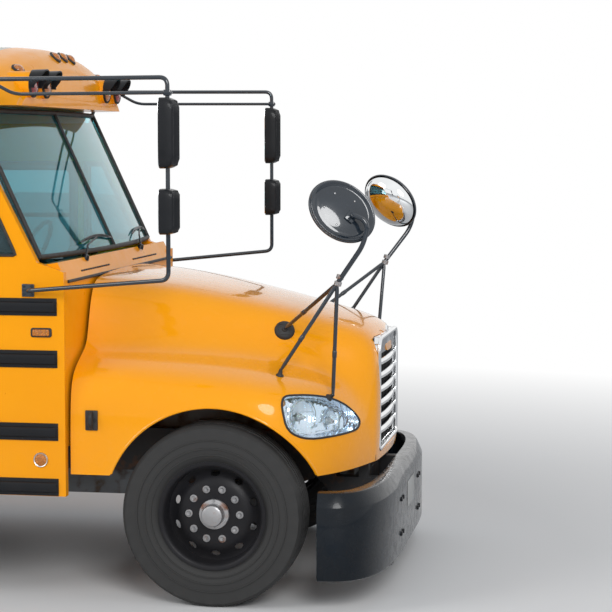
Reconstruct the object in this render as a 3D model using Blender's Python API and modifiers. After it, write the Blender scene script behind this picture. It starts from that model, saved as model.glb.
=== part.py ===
# Conventional school bus, parked on its wheels.
# Metres, +X forward, +Y to the bus's left, +Z up, ground at zero, origin under the middle of the bus.

import bpy
import bmesh
from math import cos, pi, radians, sin
from mathutils import Matrix, Vector
from mathutils.bvhtree import BVHTree

# Overall
LENGTH = 11.20            # bumper face to bumper face
BODY_WIDTH = 2.44         # over the side walls
SEAT_GAP = 0.0003         # between pieces that touch
RUN_GAP = 0.009           # around a moving leaf
OVERRUN = 0.02            # how far a cutter passes through
WELD = 0.00005            # points closer than this are one
SMALL_GAP = 0.006         # between parts of one piece that face each other

FRONT = LENGTH / 2
REAR = -LENGTH / 2
SIDE = BODY_WIDTH / 2

# Ride height, front axle and frame, which carry the rest
TYRE_RADIUS = 0.505
TYRE_TO_BUMPER = 0.445    # front tyre's front to the bumper's face
AXLE_TO_COWL = 0.80
AXLE_TO_RAIL = 0.115      # axle's middle to the rail's underside
RAIL_HEIGHT = 0.25
FLOOR_THICK = 0.08

AXLE_BACK = TYRE_RADIUS + TYRE_TO_BUMPER
NOSE_TO_COWL = AXLE_BACK + AXLE_TO_COWL
RAIL_LOW_Z = TYRE_RADIUS + AXLE_TO_RAIL
RAIL_HIGH_Z = RAIL_LOW_Z + RAIL_HEIGHT
FLOOR_Z = RAIL_HIGH_Z + FLOOR_THICK

# Body shell
WALL = 0.05               # side wall thickness
END_WALL = 0.06           # rear wall thickness
REAR_BUMPER_DEPTH = 0.15  # rear wall to rear bumper face
SKIRT_DROP = 0.35         # skirt's lower edge below the floor
EAVE_RISE = 1.71          # over the floor
ROOF_RISE = 2.15
ROOF_SKIN = 0.05
ROOF_BOWS = 16            # facets across the roof

BODY_REAR = REAR + REAR_BUMPER_DEPTH
COWL_X = FRONT - NOSE_TO_COWL
INNER_SIDE = SIDE - WALL
SHELL_REAR = BODY_REAR + END_WALL
SKIRT_Z = FLOOR_Z - SKIRT_DROP
EAVE_Z = FLOOR_Z + EAVE_RISE
ROOF_Z = FLOOR_Z + ROOF_RISE

# Windshield
SCREEN_BASE_RISE = 0.93   # over the floor
SCREEN_HEIGHT = 0.86
SCREEN_BASE_BACK = 0.15   # base corner behind the cowl's front face
SCREEN_TOP_BACK = 0.55    # top corner behind the cowl's front face
SCREEN_BOW = 0.10         # centre ahead of the corners
SCREEN_GLASS = 0.012

SCREEN_BASE_Z = FLOOR_Z + SCREEN_BASE_RISE
SCREEN_TOP_Z = SCREEN_BASE_Z + SCREEN_HEIGHT
SCREEN_BASE_X = COWL_X - SCREEN_BASE_BACK
SCREEN_TOP_X = COWL_X - SCREEN_TOP_BACK

# Front cap over the windshield
CAP_DEPTH = 0.30          # roof's front edge to the cap's brow
CAP_ROOF_BACK = 0.60      # roof's front edge behind the cowl's front face
WARNING_LAMP_RADIUS = 0.09
CAP_LAMP_RADIUS = 0.072
WARNING_LAMP_DEPTH = 0.05
WARNING_LAMP_DROP = 0.245  # below the roof's top
REAR_LAMP_DROP = 0.227
TAIL_LAMP_RISE = 0.47     # over the floor
WARNING_LAMP_SIDE_SHARES = (0.508, 0.705)  # of half the body's width

ROOF_FRONT = COWL_X - CAP_ROOF_BACK
WARNING_LAMP_Z = ROOF_Z - WARNING_LAMP_DROP
REAR_LAMP_Z = ROOF_Z - REAR_LAMP_DROP
TAIL_LAMP_Z = FLOOR_Z + TAIL_LAMP_RISE

# Entry door
DOOR_FRONT_BACK = 0.67    # doorway's front edge behind the cowl's front face
DOOR_WIDTH = 0.76
DOOR_TOP_DROP = 0.15      # below the eave
DOOR_LEAF = 0.035
STEP_DROPS = 2            # treads below the floor
STEP_RISE = 0.27
STEP_GOING = 0.28
STEP_PLATE = 0.03
WELL_DEPTH = 0.60         # doorway's outer face to the floor's edge
HINGE_PIN = 0.008

DOOR_FRONT_X = COWL_X - DOOR_FRONT_BACK
DOOR_REAR_X = DOOR_FRONT_X - DOOR_WIDTH
DOOR_TOP_Z = EAVE_Z - DOOR_TOP_DROP
LOW_STEP_Z = FLOOR_Z - STEP_DROPS * STEP_RISE

# Rear emergency door
ESCAPE_WIDTH = 0.80
ESCAPE_TOP_DROP = 0.20    # below the eave
ESCAPE_LEAF = 0.045

ESCAPE_TOP_Z = EAVE_Z - ESCAPE_TOP_DROP

# Side windows
WINDOW_PITCH = 0.71
WINDOW_WIDTH = 0.60
WINDOW_SILL = 0.77        # over the floor
WINDOW_HEIGHT = 0.66
WINDOWS_LEFT = 11
WINDOWS_RIGHT = 10
WINDOW_REAR_POST = 0.16   # inside of the rear wall to the first window
PANE = 0.005
GLASS_MARGIN = 0.03       # band of glass beyond the openings
POST = 0.10               # upright between a window and the next opening
DRIVER_WINDOW_WIDTH = 0.60
QUARTER_SILL = 0.97       # of the small window behind the windshield

WINDOW_LOW_Z = FLOOR_Z + WINDOW_SILL
WINDOW_HIGH_Z = WINDOW_LOW_Z + WINDOW_HEIGHT
QUARTER_LOW_Z = FLOOR_Z + QUARTER_SILL

# Chassis
WHEELBASE = 6.55
RAIL_WIDTH = 0.08
RAIL_PLATE = 0.011
HORN_DROP = 0.12          # front extension's underside below the rail's
HORN_HEIGHT = 0.118
HORN_BACK = 0.38          # its rear end behind the bumper face
CROSS_WIDTH = 0.10
CROSS_BACKS = (2.75, 3.60, 5.00, 6.50, 8.40, 9.30, 10.60)

FRONT_AXLE_X = FRONT - AXLE_BACK
REAR_AXLE_X = FRONT_AXLE_X - WHEELBASE
HORN_LOW_Z = RAIL_LOW_Z - HORN_DROP
HORN_HIGH_Z = HORN_LOW_Z + HORN_HEIGHT

# Tyres and wheels
TYRE_WIDTH_SHARE = 0.11475  # of the body's width
SPACING_SHARE = 0.13115   # between the twin tyres' middles, of the body's width
RIM_RADIUS_SHARE = 0.5663   # where the tyre seats, of the tyre's radius
FLANGE_RISE = 0.014
RIM_PLATE = 0.014
FLANGE_PLATE = 0.012
RIM_IN = 0.02             # rim's edge inside the tyre's side
FRONT_TYRE_IN = 0.05      # outer face of a front tyre inside the body's side
REAR_TYRE_IN = 0.035
TYRE_TO_RAIL = 0.155
WHEEL_FACETS = 20
HUB_RADIUS = 0.085
HUB_CAP = 0.13            # hub cap's face ahead of the wheel's middle
BORE_RADIUS = 0.055
BORE_CLEAR = 0.004
DISC_DISH = 0.045
SPINDLE_DEPTH = 0.09
TYRE_SHOULDER = 0.035
BEAD_RELIEF = 0.020

TYRE_WIDTH = BODY_WIDTH * TYRE_WIDTH_SHARE
DUAL_SPACING = BODY_WIDTH * SPACING_SHARE
RIM_WIDTH = TYRE_WIDTH - 2 * RIM_IN
RIM_RADIUS = TYRE_RADIUS * RIM_RADIUS_SHARE
FLANGE_RADIUS = RIM_RADIUS + FLANGE_RISE
FRONT_TRACK = BODY_WIDTH - 2 * FRONT_TYRE_IN - TYRE_WIDTH
REAR_TRACK = BODY_WIDTH - 2 * REAR_TYRE_IN - TYRE_WIDTH - DUAL_SPACING  # middle to middle of the pairs
RAIL_SIDE = (REAR_TRACK - DUAL_SPACING - TYRE_WIDTH) / 2 - TYRE_TO_RAIL  # outer face of a rail

# Steering
KINGPIN_IN = 0.23         # inside the wheel's middle
KINGPIN_RADIUS = 0.045
KINGPIN_BOSS = 0.18       # height of the beam's end
YOKE_PLATE = 0.04
YOKE_WIDTH = 0.14
BOSS_RADIUS = 0.054

KINGPIN_SIDE = FRONT_TRACK / 2 - KINGPIN_IN

# Axles and springs
BEAM_HEIGHT = 0.10
BEAM_DEPTH = 0.11
BEAM_DROP = 0.075
SPRING_WIDTH = 0.075
SPRING_THICK = 0.05
FRONT_SPRING = 0.88
REAR_SPRING = 1.40
TUBE_RADIUS = 0.060
BANJO_RADIUS = 0.20
BANJO_DEPTH = 0.18
PINION_LENGTH = 0.22
SHAFT_RADIUS = 0.050
SHAFT_RISE = 0.045        # over the rear axle

SHAFT_Z = TYRE_RADIUS + SHAFT_RISE

# Engine, transmission and radiator
ENGINE_FRONT_BACK = 0.55
ENGINE_TO_COWL = 0.10
ENGINE_CLEAR = 0.02       # to the inner face of each rail
ENGINE_RISE = 0.04        # over the rail's underside
ENGINE_HEIGHT = 0.74
GEARBOX_LENGTH = 0.75
GEARBOX_IN = 0.10         # each side inside the engine
GEARBOX_DROP = 0.18       # below the rail's underside
GEARBOX_HEIGHT = 0.38
RADIATOR_BACK = 0.33
RADIATOR_DEPTH = 0.08
RADIATOR_CLEAR = 0.01
RADIATOR_RISE = 0.66      # over the rail's underside

ENGINE_LENGTH = NOSE_TO_COWL - ENGINE_FRONT_BACK - ENGINE_TO_COWL
ENGINE_LOW_Z = RAIL_LOW_Z + ENGINE_RISE
ENGINE_HIGH_Z = ENGINE_LOW_Z + ENGINE_HEIGHT
GEARBOX_LOW_Z = RAIL_LOW_Z - GEARBOX_DROP
GEARBOX_HIGH_Z = GEARBOX_LOW_Z + GEARBOX_HEIGHT
RADIATOR_HIGH_Z = RAIL_LOW_Z + RADIATOR_RISE
ENGINE_WIDTH = 2 * (RAIL_SIDE - RAIL_WIDTH - ENGINE_CLEAR)
GEARBOX_WIDTH = ENGINE_WIDTH - 2 * GEARBOX_IN
RADIATOR_WIDTH = 2 * (RAIL_SIDE - RAIL_WIDTH - RADIATOR_CLEAR)

# Fuel tank and exhaust
TANK_LENGTH = 1.50
TANK_MIDDLE_BACK = 5.60
TANK_CLEAR = 0.12         # to the inside of the body's side
TANK_HEIGHT = 0.38
TANK_DROP = 0.02          # its top below the rail's
TANK_ROUND = 0.05
PIPE_RADIUS = 0.045
PIPE_OUT = 0.07           # outside the rail
PIPE_RISE = 0.10          # over the rail's underside
MUFFLER_RADIUS = 0.12
MUFFLER_LENGTH = 1.00
MUFFLER_FRONT_BACK = 4.00
MUFFLER_OUT = 0.17

TANK_TOP_Z = RAIL_HIGH_Z - TANK_DROP
PIPE_Z = RAIL_LOW_Z + PIPE_RISE
TANK_WIDTH = INNER_SIDE - RAIL_SIDE - TANK_CLEAR
PIPE_SIDE = RAIL_SIDE + PIPE_OUT
MUFFLER_SIDE = RAIL_SIDE + MUFFLER_OUT

# Bumpers
BUMPER_DROP = 0.44        # below the rail's underside
BUMPER_HEIGHT = 0.48
BUMPER_PLATE = 0.11
BUMPER_CORNER = 0.98      # width of each swept end
BUMPER_SWEEP = 0.36       # how far its ends go back
BUMPER_EASE = 0.012
REAR_BUMPER_DROP = 0.12   # below the rail's underside
REAR_BUMPER_HEIGHT = 0.28
REAR_BUMPER_PLATE = 0.14

BUMPER_FLAT = SIDE - BUMPER_CORNER
BUMPER_LOW_Z = RAIL_LOW_Z - BUMPER_DROP
BUMPER_HIGH_Z = BUMPER_LOW_Z + BUMPER_HEIGHT
REAR_BUMPER_LOW_Z = RAIL_LOW_Z - REAR_BUMPER_DROP
REAR_BUMPER_HIGH_Z = REAR_BUMPER_LOW_Z + REAR_BUMPER_HEIGHT

# Hood
NOSE_BACK = 0.13          # bumper face to the nose
HOOD_TO_COWL = 0.02
HOOD_IN = 0.03            # hood's widest inside the body's side
HOOD_LIP_RISE = 0.10      # over the rail's underside
HOOD_TOP_DROP = 0.09      # below the windshield's base
HOOD_SKIN = 0.012
ARCH_CLEAR = 0.095        # around the tyre
HINGE_BACK = 0.22         # hood hinge behind the bumper face
HINGE_LUG = 0.03
HINGE_EYE = 0.04
RAIL_LUG = 0.028          # the rail's own lug beside it

NOSE_X = FRONT - NOSE_BACK
HOOD_LENGTH = NOSE_X - COWL_X - HOOD_TO_COWL
HOOD_HALF = SIDE - HOOD_IN
HOOD_LIP_Z = RAIL_LOW_Z + HOOD_LIP_RISE
HINGE_Z = HOOD_LIP_Z
HOOD_TOP_Z = SCREEN_BASE_Z - HOOD_TOP_DROP
HOOD_RISE = HOOD_TOP_Z - HOOD_LIP_Z
ARCH_RADIUS = TYRE_RADIUS + ARCH_CLEAR
HINGE_X = FRONT - HINGE_BACK

# Grille
GRILLE_HALF_SHARE = 0.3235  # of the hood's half width
GRILLE_LOW_SHARE = 0.0374   # of the hood's rise, over its lip
GRILLE_HIGH_SHARE = 0.6542
GRILLE_DEPTH = 0.035
GRILLE_FRAME = 0.022
GRILLE_HEADER = 0.10
GRILLE_SLATS = 6
SLAT_SHARE = 0.45         # of the slat pitch that is bar
GRILLE_CORNER = 0.07      # radius of its top corners

GRILLE_HALF = HOOD_HALF * GRILLE_HALF_SHARE
GRILLE_LOW_Z = HOOD_LIP_Z + HOOD_RISE * GRILLE_LOW_SHARE
GRILLE_HIGH_Z = HOOD_LIP_Z + HOOD_RISE * GRILLE_HIGH_SHARE

# Headlamps, outlined in the plane that faces them
LAMP_TURN = 38.0          # degrees from straight ahead
LAMP_DEPTH = 0.055
LAMP_REACH = 0.22         # half length of the prism that cuts its opening
LAMP_BACK_SHARE = 0.18125   # of the hood's length, behind the nose
LAMP_SIDE_SHARE = 0.7563    # of the hood's half width
LAMP_UP_SHARE = 0.3037      # of the hood's rise, over its lip
LAMP_HALF_SHARE = 0.2857    # of the hood's half width
LAMP_HALF_HEIGHT = 0.125
LAMP_FIT = 0.0006         # lamp inside its opening

LAMP_HALF_WIDTH = HOOD_HALF * LAMP_HALF_SHARE
LAMP_MIDDLE_Z = HOOD_LIP_Z + HOOD_RISE * LAMP_UP_SHARE

# Crossview mirrors
MIRROR_BACK = 0.26
MIRROR_IN = 0.19          # inside the hood's widest
MIRROR_RISE = 0.37        # over the hood's top
MIRROR_FACING_SHARES = (-0.38, -0.85, -0.32)  # back, inward and down
MIRROR_ROLL = 35.0        # its long way, degrees below level at the front
MIRROR_LONG = 0.190       # half of the long way
MIRROR_SHORT = 0.155      # half of the short way
MIRROR_DOME = 0.085
MIRROR_RIM = 0.028
MIRROR_BACK_SHARE = 0.8    # width of its flat back
CLAMP_REACH = 0.084       # arm's first stretch behind the head
JOINT_BACK = 0.29         # where the tripod's tubes meet
JOINT_IN = 0.23
JOINT_DROP = 0.02         # below the hood's top
STRUT_RADIUS = 0.011
ARM_RADIUS = 0.0135
FOOT_RADIUS = 0.022
BIG_FOOT_RADIUS = 0.058
FOOT_THICK = 0.016
FOOT_FRONT_SHARES = (0.1406, 0.714)   # back and side, of the hood's length and half width
FOOT_REAR_SHARES = (0.306, 0.756)
FOOT_WALL_SHARES = (0.328, 0.701)     # back and up, of the hood's length and rise
FOOT_TAPER_SHARE = 0.7

MIRROR_SIDE = HOOD_HALF - MIRROR_IN
JOINT_SIDE = HOOD_HALF - JOINT_IN
MIRROR_Z = HOOD_TOP_Z + MIRROR_RISE
JOINT_Z = HOOD_TOP_Z - JOINT_DROP

# Rear-view mirrors
HEAD_BACK = 1.15
HEAD_OUT = 0.20           # outside the body's side
HEAD_WIDTH = 0.17
HEAD_DEPTH = 0.07
HEAD_HEIGHT = 0.37
HEAD_RISE = 0.70          # over the windshield's base
SPOT_HEIGHT = 0.24
SPOT_RISE = 0.29
HEAD_TUBE = 0.012
ARM_RISE = 0.105          # upper arm over the head
ARM_DROP = 0.07           # lower arm below the windshield's base

HEAD_Z = SCREEN_BASE_Z + HEAD_RISE
SPOT_Z = SCREEN_BASE_Z + SPOT_RISE

# Stop arm
STOP_TO_COWL = 1.10       # hinge behind the cowl's front face
STOP_RISE = 0.47          # over the floor
STOP_RADIUS = 0.235
STOP_PLATE = 0.014
STOP_OFFSET = 0.022
STOP_LUG = 0.03

STOP_Z = FLOOR_Z + STOP_RISE

# Roof hatches
HATCH = 0.62
HATCH_HOLE = 0.54
HATCH_CURB = 0.012        # over the roof's top
HATCH_LID = 0.03
HATCH_BACKS = (4.60, 8.60)

HATCH_CURB_Z = ROOF_Z + HATCH_CURB

# Seats
BENCH_ROWS = 12
BENCH_PITCH = 0.635
BENCH_FIRST = 0.10        # rear wall to the last bench's back
AISLE_HALF = 0.19
BENCH_SEAT_RISE = 0.41    # over the floor
BENCH_TOP_RISE = 0.71
BENCH_CUSHION = 0.11
BENCH_DEPTH = 0.40
BENCH_BACK = 0.07
BENCH_LEG = 0.04
BENCH_LEG_IN = 0.10
DRIVER_TO_COWL = 1.30     # seat's back behind the cowl's front face
DRIVER_IN = 0.59          # inside the wall
DRIVER_WIDTH = 0.50
DRIVER_SEAT_RISE = 0.49   # over the floor
DRIVER_TOP_RISE = 1.15
STEERING_RADIUS = 0.225
STEERING_TUBE = 0.016
STEERING_LEAN = 28.0
SPOKE_RADIUS = 0.011
COLUMN_RADIUS = 0.03
COLUMN_LENGTH = 0.42

BENCH_WIDTH = INNER_SIDE - AISLE_HALF
DRIVER_SIDE = INNER_SIDE - DRIVER_IN
BENCH_SEAT_Z = FLOOR_Z + BENCH_SEAT_RISE
BENCH_TOP_Z = FLOOR_Z + BENCH_TOP_RISE
DRIVER_SEAT_Z = FLOOR_Z + DRIVER_SEAT_RISE
DRIVER_TOP_Z = FLOOR_Z + DRIVER_TOP_RISE

# Cowl
DASH_DEPTH = 0.34
DASH_RISE = 0.51          # over the floor
DASH_HEIGHT = 0.34
FIREWALL = 0.06

DASH_LOW_Z = FLOOR_Z + DASH_RISE
DASH_HIGH_Z = DASH_LOW_Z + DASH_HEIGHT

# Aisle runner and jack pads
RUNNER = 0.004
RUNNER_IN = 0.03          # inside the benches' edges
PAD_LENGTH = 0.14
PAD_DEPTH = 0.01
PAD_BACK = 5.60           # behind the bumper face

# Wheel boxes in the floor
WHEEL_BOX_AROUND = 0.155  # around the tyres, fore and aft
WHEEL_BOX_CLEAR = 0.055   # inside the inner tyre's face
WHEEL_BOX_OVER = 0.13     # over the tyres
WHEEL_BOX_PLATE = 0.03

WHEEL_BOX_HALF = TYRE_RADIUS + WHEEL_BOX_AROUND
WHEEL_BOX_Z = 2 * TYRE_RADIUS + WHEEL_BOX_OVER
WHEEL_BOX_SIDE = RAIL_SIDE + TYRE_TO_RAIL - WHEEL_BOX_CLEAR

YELLOW = (1.0, 0.46, 0.0)
BLACK = (0.012, 0.013, 0.015)


def clear_scene():
    for thing in list(bpy.data.objects):
        bpy.data.objects.remove(thing)
    for kind in (bpy.data.meshes, bpy.data.curves, bpy.data.materials):
        for block in list(kind):
            kind.remove(block)


clear_scene()
PARTS = bpy.data.collections.new("school_bus")
CUTTERS = bpy.data.collections.new("cutters")
bpy.context.scene.collection.children.link(PARTS)
bpy.context.scene.collection.children.link(CUTTERS)


def finish_material(name, color, roughness, metallic=0.0, alpha=1.0):
    made = bpy.data.materials.new(name)
    made.use_nodes = True
    shader = made.node_tree.nodes["Principled BSDF"]
    shader.inputs["Base Color"].default_value = (*color, 1.0)
    shader.inputs["Roughness"].default_value = roughness
    shader.inputs["Metallic"].default_value = metallic
    shader.inputs["Alpha"].default_value = alpha
    made.diffuse_color = (*color, alpha)
    return made


def paint(piece, color, roughness=0.5, metallic=0.0, alpha=1.0):
    piece.data.materials.clear()
    piece.data.materials.append(finish_material(piece.name, color, roughness, metallic, alpha))


def new_piece(name, shape):
    mesh = bpy.data.meshes.new(name)
    shape.to_mesh(mesh)
    shape.free()
    piece = bpy.data.objects.new(name, mesh)
    PARTS.objects.link(piece)
    return piece


def as_cutter(piece):
    if piece.name in PARTS.objects:
        PARTS.objects.unlink(piece)
        CUTTERS.objects.link(piece)
    piece.hide_render = True
    piece.display_type = "WIRE"
    return piece


def combine(piece, tool, operation):
    change = piece.modifiers.new(operation.lower(), "BOOLEAN")
    change.operation = operation
    change.solver = "EXACT"
    change.object = as_cutter(tool)
    return piece


def cut(piece, tool):
    return combine(piece, tool, "DIFFERENCE")


def fuse(piece, *tools):
    for tool in tools:
        combine(piece, tool, "UNION")
    return piece


def box(name, low, high):
    shape = bmesh.new()
    bmesh.ops.create_cube(shape, size=1.0)
    size = Vector(high) - Vector(low)
    middle = (Vector(high) + Vector(low)) / 2
    bmesh.ops.transform(shape, matrix=Matrix.Translation(middle) @ Matrix.Diagonal((*size, 1.0)), verts=shape.verts)
    return new_piece(name, shape)


def cylinder(name, base, top, radius, facets=16, top_radius=None):
    shape = bmesh.new()
    span = Vector(top) - Vector(base)
    end = radius if top_radius is None else top_radius
    bmesh.ops.create_cone(shape, cap_ends=True, segments=facets, radius1=radius, radius2=end, depth=span.length)
    turn = Vector((0, 0, 1)).rotation_difference(span).to_matrix().to_4x4()
    place = Matrix.Translation((Vector(base) + Vector(top)) / 2)
    bmesh.ops.transform(shape, matrix=place @ turn, verts=shape.verts)
    return new_piece(name, shape)


PLANES = {
    "side": Matrix(((1, 0, 0, 0), (0, 0, -1, 0), (0, 1, 0, 0), (0, 0, 0, 1))),
    "front": Matrix(((0, 0, 1, 0), (1, 0, 0, 0), (0, 1, 0, 0), (0, 0, 0, 1))),
    "plan": Matrix.Identity(4),
}


def solid_from_curve(curve, place):
    holder = bpy.data.objects.new(curve.name, curve)
    PARTS.objects.link(holder)
    holder.matrix_world = place
    bpy.context.view_layer.update()
    ready = holder.evaluated_get(bpy.context.evaluated_depsgraph_get())
    mesh = bpy.data.meshes.new_from_object(ready)
    name = curve.name
    bpy.data.objects.remove(holder)
    shape = bmesh.new()
    shape.from_mesh(mesh)
    bpy.data.meshes.remove(mesh)
    bmesh.ops.transform(shape, matrix=place, verts=shape.verts)
    bmesh.ops.remove_doubles(shape, verts=shape.verts, dist=WELD)
    bmesh.ops.recalc_face_normals(shape, faces=shape.faces)
    return new_piece(name, shape)


def plate(name, outline, low, high, plane):
    """A flat outline in the side (X, Z), front (Y, Z) or plan (X, Y) plane, thick from low to high across it."""
    curve = bpy.data.curves.new(name, "CURVE")
    curve.dimensions = "2D"
    curve.fill_mode = "BOTH"
    curve.extrude = abs(high - low) / 2
    run = curve.splines.new("POLY")
    run.points.add(len(outline) - 1)
    for point, (u, v) in zip(run.points, outline):
        point.co = (u, v, 0, 1)
    run.use_cyclic_u = True
    middle = (low + high) / 2
    shift = {"side": (0, middle, 0), "front": (middle, 0, 0), "plan": (0, 0, middle)}[plane]
    return solid_from_curve(curve, Matrix.Translation(shift) @ PLANES[plane])


def tube(name, points, radius, resolution=2):
    curve = bpy.data.curves.new(name, "CURVE")
    curve.dimensions = "3D"
    curve.bevel_depth = radius
    curve.bevel_resolution = resolution
    curve.use_fill_caps = True
    run = curve.splines.new("POLY")
    run.points.add(len(points) - 1)
    for point, place in zip(run.points, points):
        point.co = (*place, 1)
    return solid_from_curve(curve, Matrix.Identity(4))


def rounded(points, radius, steps=3):
    """A 3-D route with each inner corner replaced by a short arc."""
    route = [Vector(points[0])]
    for before, corner, after in zip(points, points[1:], points[2:]):
        corner = Vector(corner)
        start = corner + (Vector(before) - corner).normalized() * radius
        end = corner + (Vector(after) - corner).normalized() * radius
        for step in range(steps + 1):
            share = step / steps
            route.append(start.lerp(corner, share).lerp(corner.lerp(end, share), share))
    route.append(Vector(points[-1]))
    return route


def turned(name, profile, place, facets=WHEEL_FACETS):
    """A profile of (radius, height) from the top down, turned about Z and then placed."""
    shape = bmesh.new()
    points = [shape.verts.new((radius, 0, height)) for radius, height in profile]
    for first, second in zip(points, points[1:]):
        shape.edges.new((first, second))
    piece = new_piece(name, shape)
    turn = piece.modifiers.new("turn", "SCREW")
    turn.steps = facets
    turn.render_steps = facets
    turn.use_merge_vertices = True
    turn.merge_threshold = WELD
    turn.use_normal_calculate = False
    piece.matrix_world = place
    return piece


def freeze(piece):
    """Replaces a piece's modifiers by the mesh that they make."""
    bpy.context.view_layer.update()
    ready = piece.evaluated_get(bpy.context.evaluated_depsgraph_get())
    mesh = bpy.data.meshes.new_from_object(ready)
    piece.modifiers.clear()
    piece.data = mesh
    return piece


def soften(piece, width, segments=2, angle=40.0):
    edge = piece.modifiers.new("ease", "BEVEL")
    edge.width = width
    edge.segments = segments
    edge.limit_method = "ANGLE"
    edge.angle_limit = radians(angle)
    return piece


def pivot(name, place):
    marker = bpy.data.objects.new(name + "_pivot", None)
    marker.location = place
    PARTS.objects.link(marker)
    return marker


def hang(piece, marker):
    bpy.context.view_layer.update()
    piece.parent = marker
    piece.matrix_parent_inverse = marker.matrix_world.inverted()


def roof_arc(half, top, eave, bows=ROOF_BOWS):
    """Points of the roof's outline from the right eave over to the left one."""
    arc = []
    for step in range(bows + 1):
        turn = pi * step / bows
        arc.append((-half * cos(turn), eave + (top - eave) * sin(turn)))
    return arc


def circle(middle, radius, facets, start=0.0, sweep=2 * pi):
    count = facets if sweep >= 2 * pi else facets + 1
    return [(middle[0] + radius * cos(start + sweep * step / facets),
             middle[1] + radius * sin(start + sweep * step / facets)) for step in range(count)]


# Chassis

def frame_rails():
    """Two channel rails with cross-members, front horns for the bumper and lugs for the hood's hinge."""
    horn_x = FRONT - HORN_BACK
    slope = (RAIL_HIGH_Z - RAIL_LOW_Z) / 2
    lug = RAIL_LUG
    bumper_back = FRONT - BUMPER_PLATE - SEAT_GAP
    outline = [
        (SHELL_REAR, RAIL_LOW_Z), (horn_x - slope, RAIL_LOW_Z), (horn_x, HORN_LOW_Z),
        (bumper_back, HORN_LOW_Z), (bumper_back, HORN_HIGH_Z), (HINGE_X + lug, HORN_HIGH_Z),
        (HINGE_X + lug, HINGE_Z), (HINGE_X + lug / 2, HINGE_Z + lug), (HINGE_X - lug / 2, HINGE_Z + lug),
        (HINGE_X - lug, HINGE_Z), (HINGE_X - lug, HORN_HIGH_Z), (horn_x, HORN_HIGH_Z),
        (horn_x - slope, RAIL_HIGH_Z), (SHELL_REAR, RAIL_HIGH_Z)]
    frame = None
    for side in (1, -1):
        outer = side * RAIL_SIDE
        inner = side * (RAIL_SIDE - RAIL_WIDTH)
        rail = plate("frame_rails" if frame is None else "rail", outline, inner, outer, "side")
        web = side * (RAIL_SIDE - RAIL_PLATE)
        past = side * (RAIL_SIDE - RAIL_WIDTH - OVERRUN)
        hollow = box("rail_hollow", (SHELL_REAR - OVERRUN, min(web, past), RAIL_LOW_Z + RAIL_PLATE),
                     (horn_x - 2 * slope, max(web, past), RAIL_HIGH_Z - RAIL_PLATE))
        cut(rail, hollow)
        freeze(rail)
        if frame is None:
            frame = rail
        else:
            second = rail
    reach = RAIL_SIDE - RAIL_PLATE / 2
    bars = []
    for back in CROSS_BACKS:
        x = FRONT - back
        bars.append(box("cross", (x - CROSS_WIDTH / 2, -reach, RAIL_LOW_Z + 3 * RAIL_PLATE),
                        (x + CROSS_WIDTH / 2, reach, RAIL_HIGH_Z - 3 * RAIL_PLATE)))
    radiator_x = FRONT - RADIATOR_BACK
    bars.append(box("front_cross", (radiator_x - CROSS_WIDTH, -reach, HORN_LOW_Z + RAIL_PLATE),
                    (radiator_x + CROSS_WIDTH, reach, HORN_HIGH_Z - RAIL_PLATE)))
    pad_x = FRONT - PAD_BACK
    for side in (1, -1):
        near = side * (RAIL_SIDE - RAIL_WIDTH + RAIL_PLATE)
        far = side * (RAIL_SIDE - 2 * RAIL_PLATE)
        bars.append(box("jack_pad", (pad_x - PAD_LENGTH / 2, min(near, far), RAIL_LOW_Z - PAD_DEPTH),
                        (pad_x + PAD_LENGTH / 2, max(near, far), RAIL_LOW_Z + RAIL_PLATE / 2)))
    fuse(frame, second, *bars)
    paint(frame, BLACK, 0.6)


def spring_pack(x, length, side, low, rise):
    """A leaf pack from its clamp up to the rail's underside."""
    middle = side * (RAIL_SIDE - RAIL_WIDTH / 2)
    top = RAIL_LOW_Z - SEAT_GAP
    half = length / 2
    outline = [
        (x - half, top), (x - half, top - SPRING_THICK / 3), (x - SPRING_WIDTH, low + rise),
        (x + SPRING_WIDTH, low + rise), (x + half, top - SPRING_THICK / 3), (x + half, top),
        (x + half - SPRING_THICK, top), (x + SPRING_WIDTH, top - SMALL_GAP),
        (x - SPRING_WIDTH, top - SMALL_GAP), (x - half + SPRING_THICK, top)]
    return plate("spring", outline, middle - SPRING_WIDTH / 2, middle + SPRING_WIDTH / 2, "side")


def front_axle():
    """Dropped beam with a boss for each kingpin, and the leaf packs that carry the rails."""
    z = TYRE_RADIUS
    drop = z - BEAM_DROP
    boss_in = KINGPIN_SIDE - KINGPIN_RADIUS
    shoulder = boss_in - BEAM_HEIGHT
    outline = [
        (-boss_in, z + BEAM_HEIGHT / 2), (-boss_in, z - BEAM_HEIGHT / 2), (-shoulder, drop - BEAM_HEIGHT / 2),
        (shoulder, drop - BEAM_HEIGHT / 2), (boss_in, z - BEAM_HEIGHT / 2), (boss_in, z + BEAM_HEIGHT / 2),
        (shoulder, drop + BEAM_HEIGHT / 2), (-shoulder, drop + BEAM_HEIGHT / 2)]
    beam = plate("front_axle", outline, FRONT_AXLE_X - BEAM_DEPTH / 2, FRONT_AXLE_X + BEAM_DEPTH / 2, "front")
    extras = []
    for side in (1, -1):
        y = side * KINGPIN_SIDE
        extras.append(cylinder("boss", (FRONT_AXLE_X, y, z - KINGPIN_BOSS / 2), (FRONT_AXLE_X, y, z + KINGPIN_BOSS / 2),
                               BOSS_RADIUS))
        extras.append(spring_pack(FRONT_AXLE_X, FRONT_SPRING, side, drop + BEAM_HEIGHT / 2 - OVERRUN, OVERRUN / 2))
    fuse(beam, *extras)
    paint(beam, BLACK, 0.6)


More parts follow.
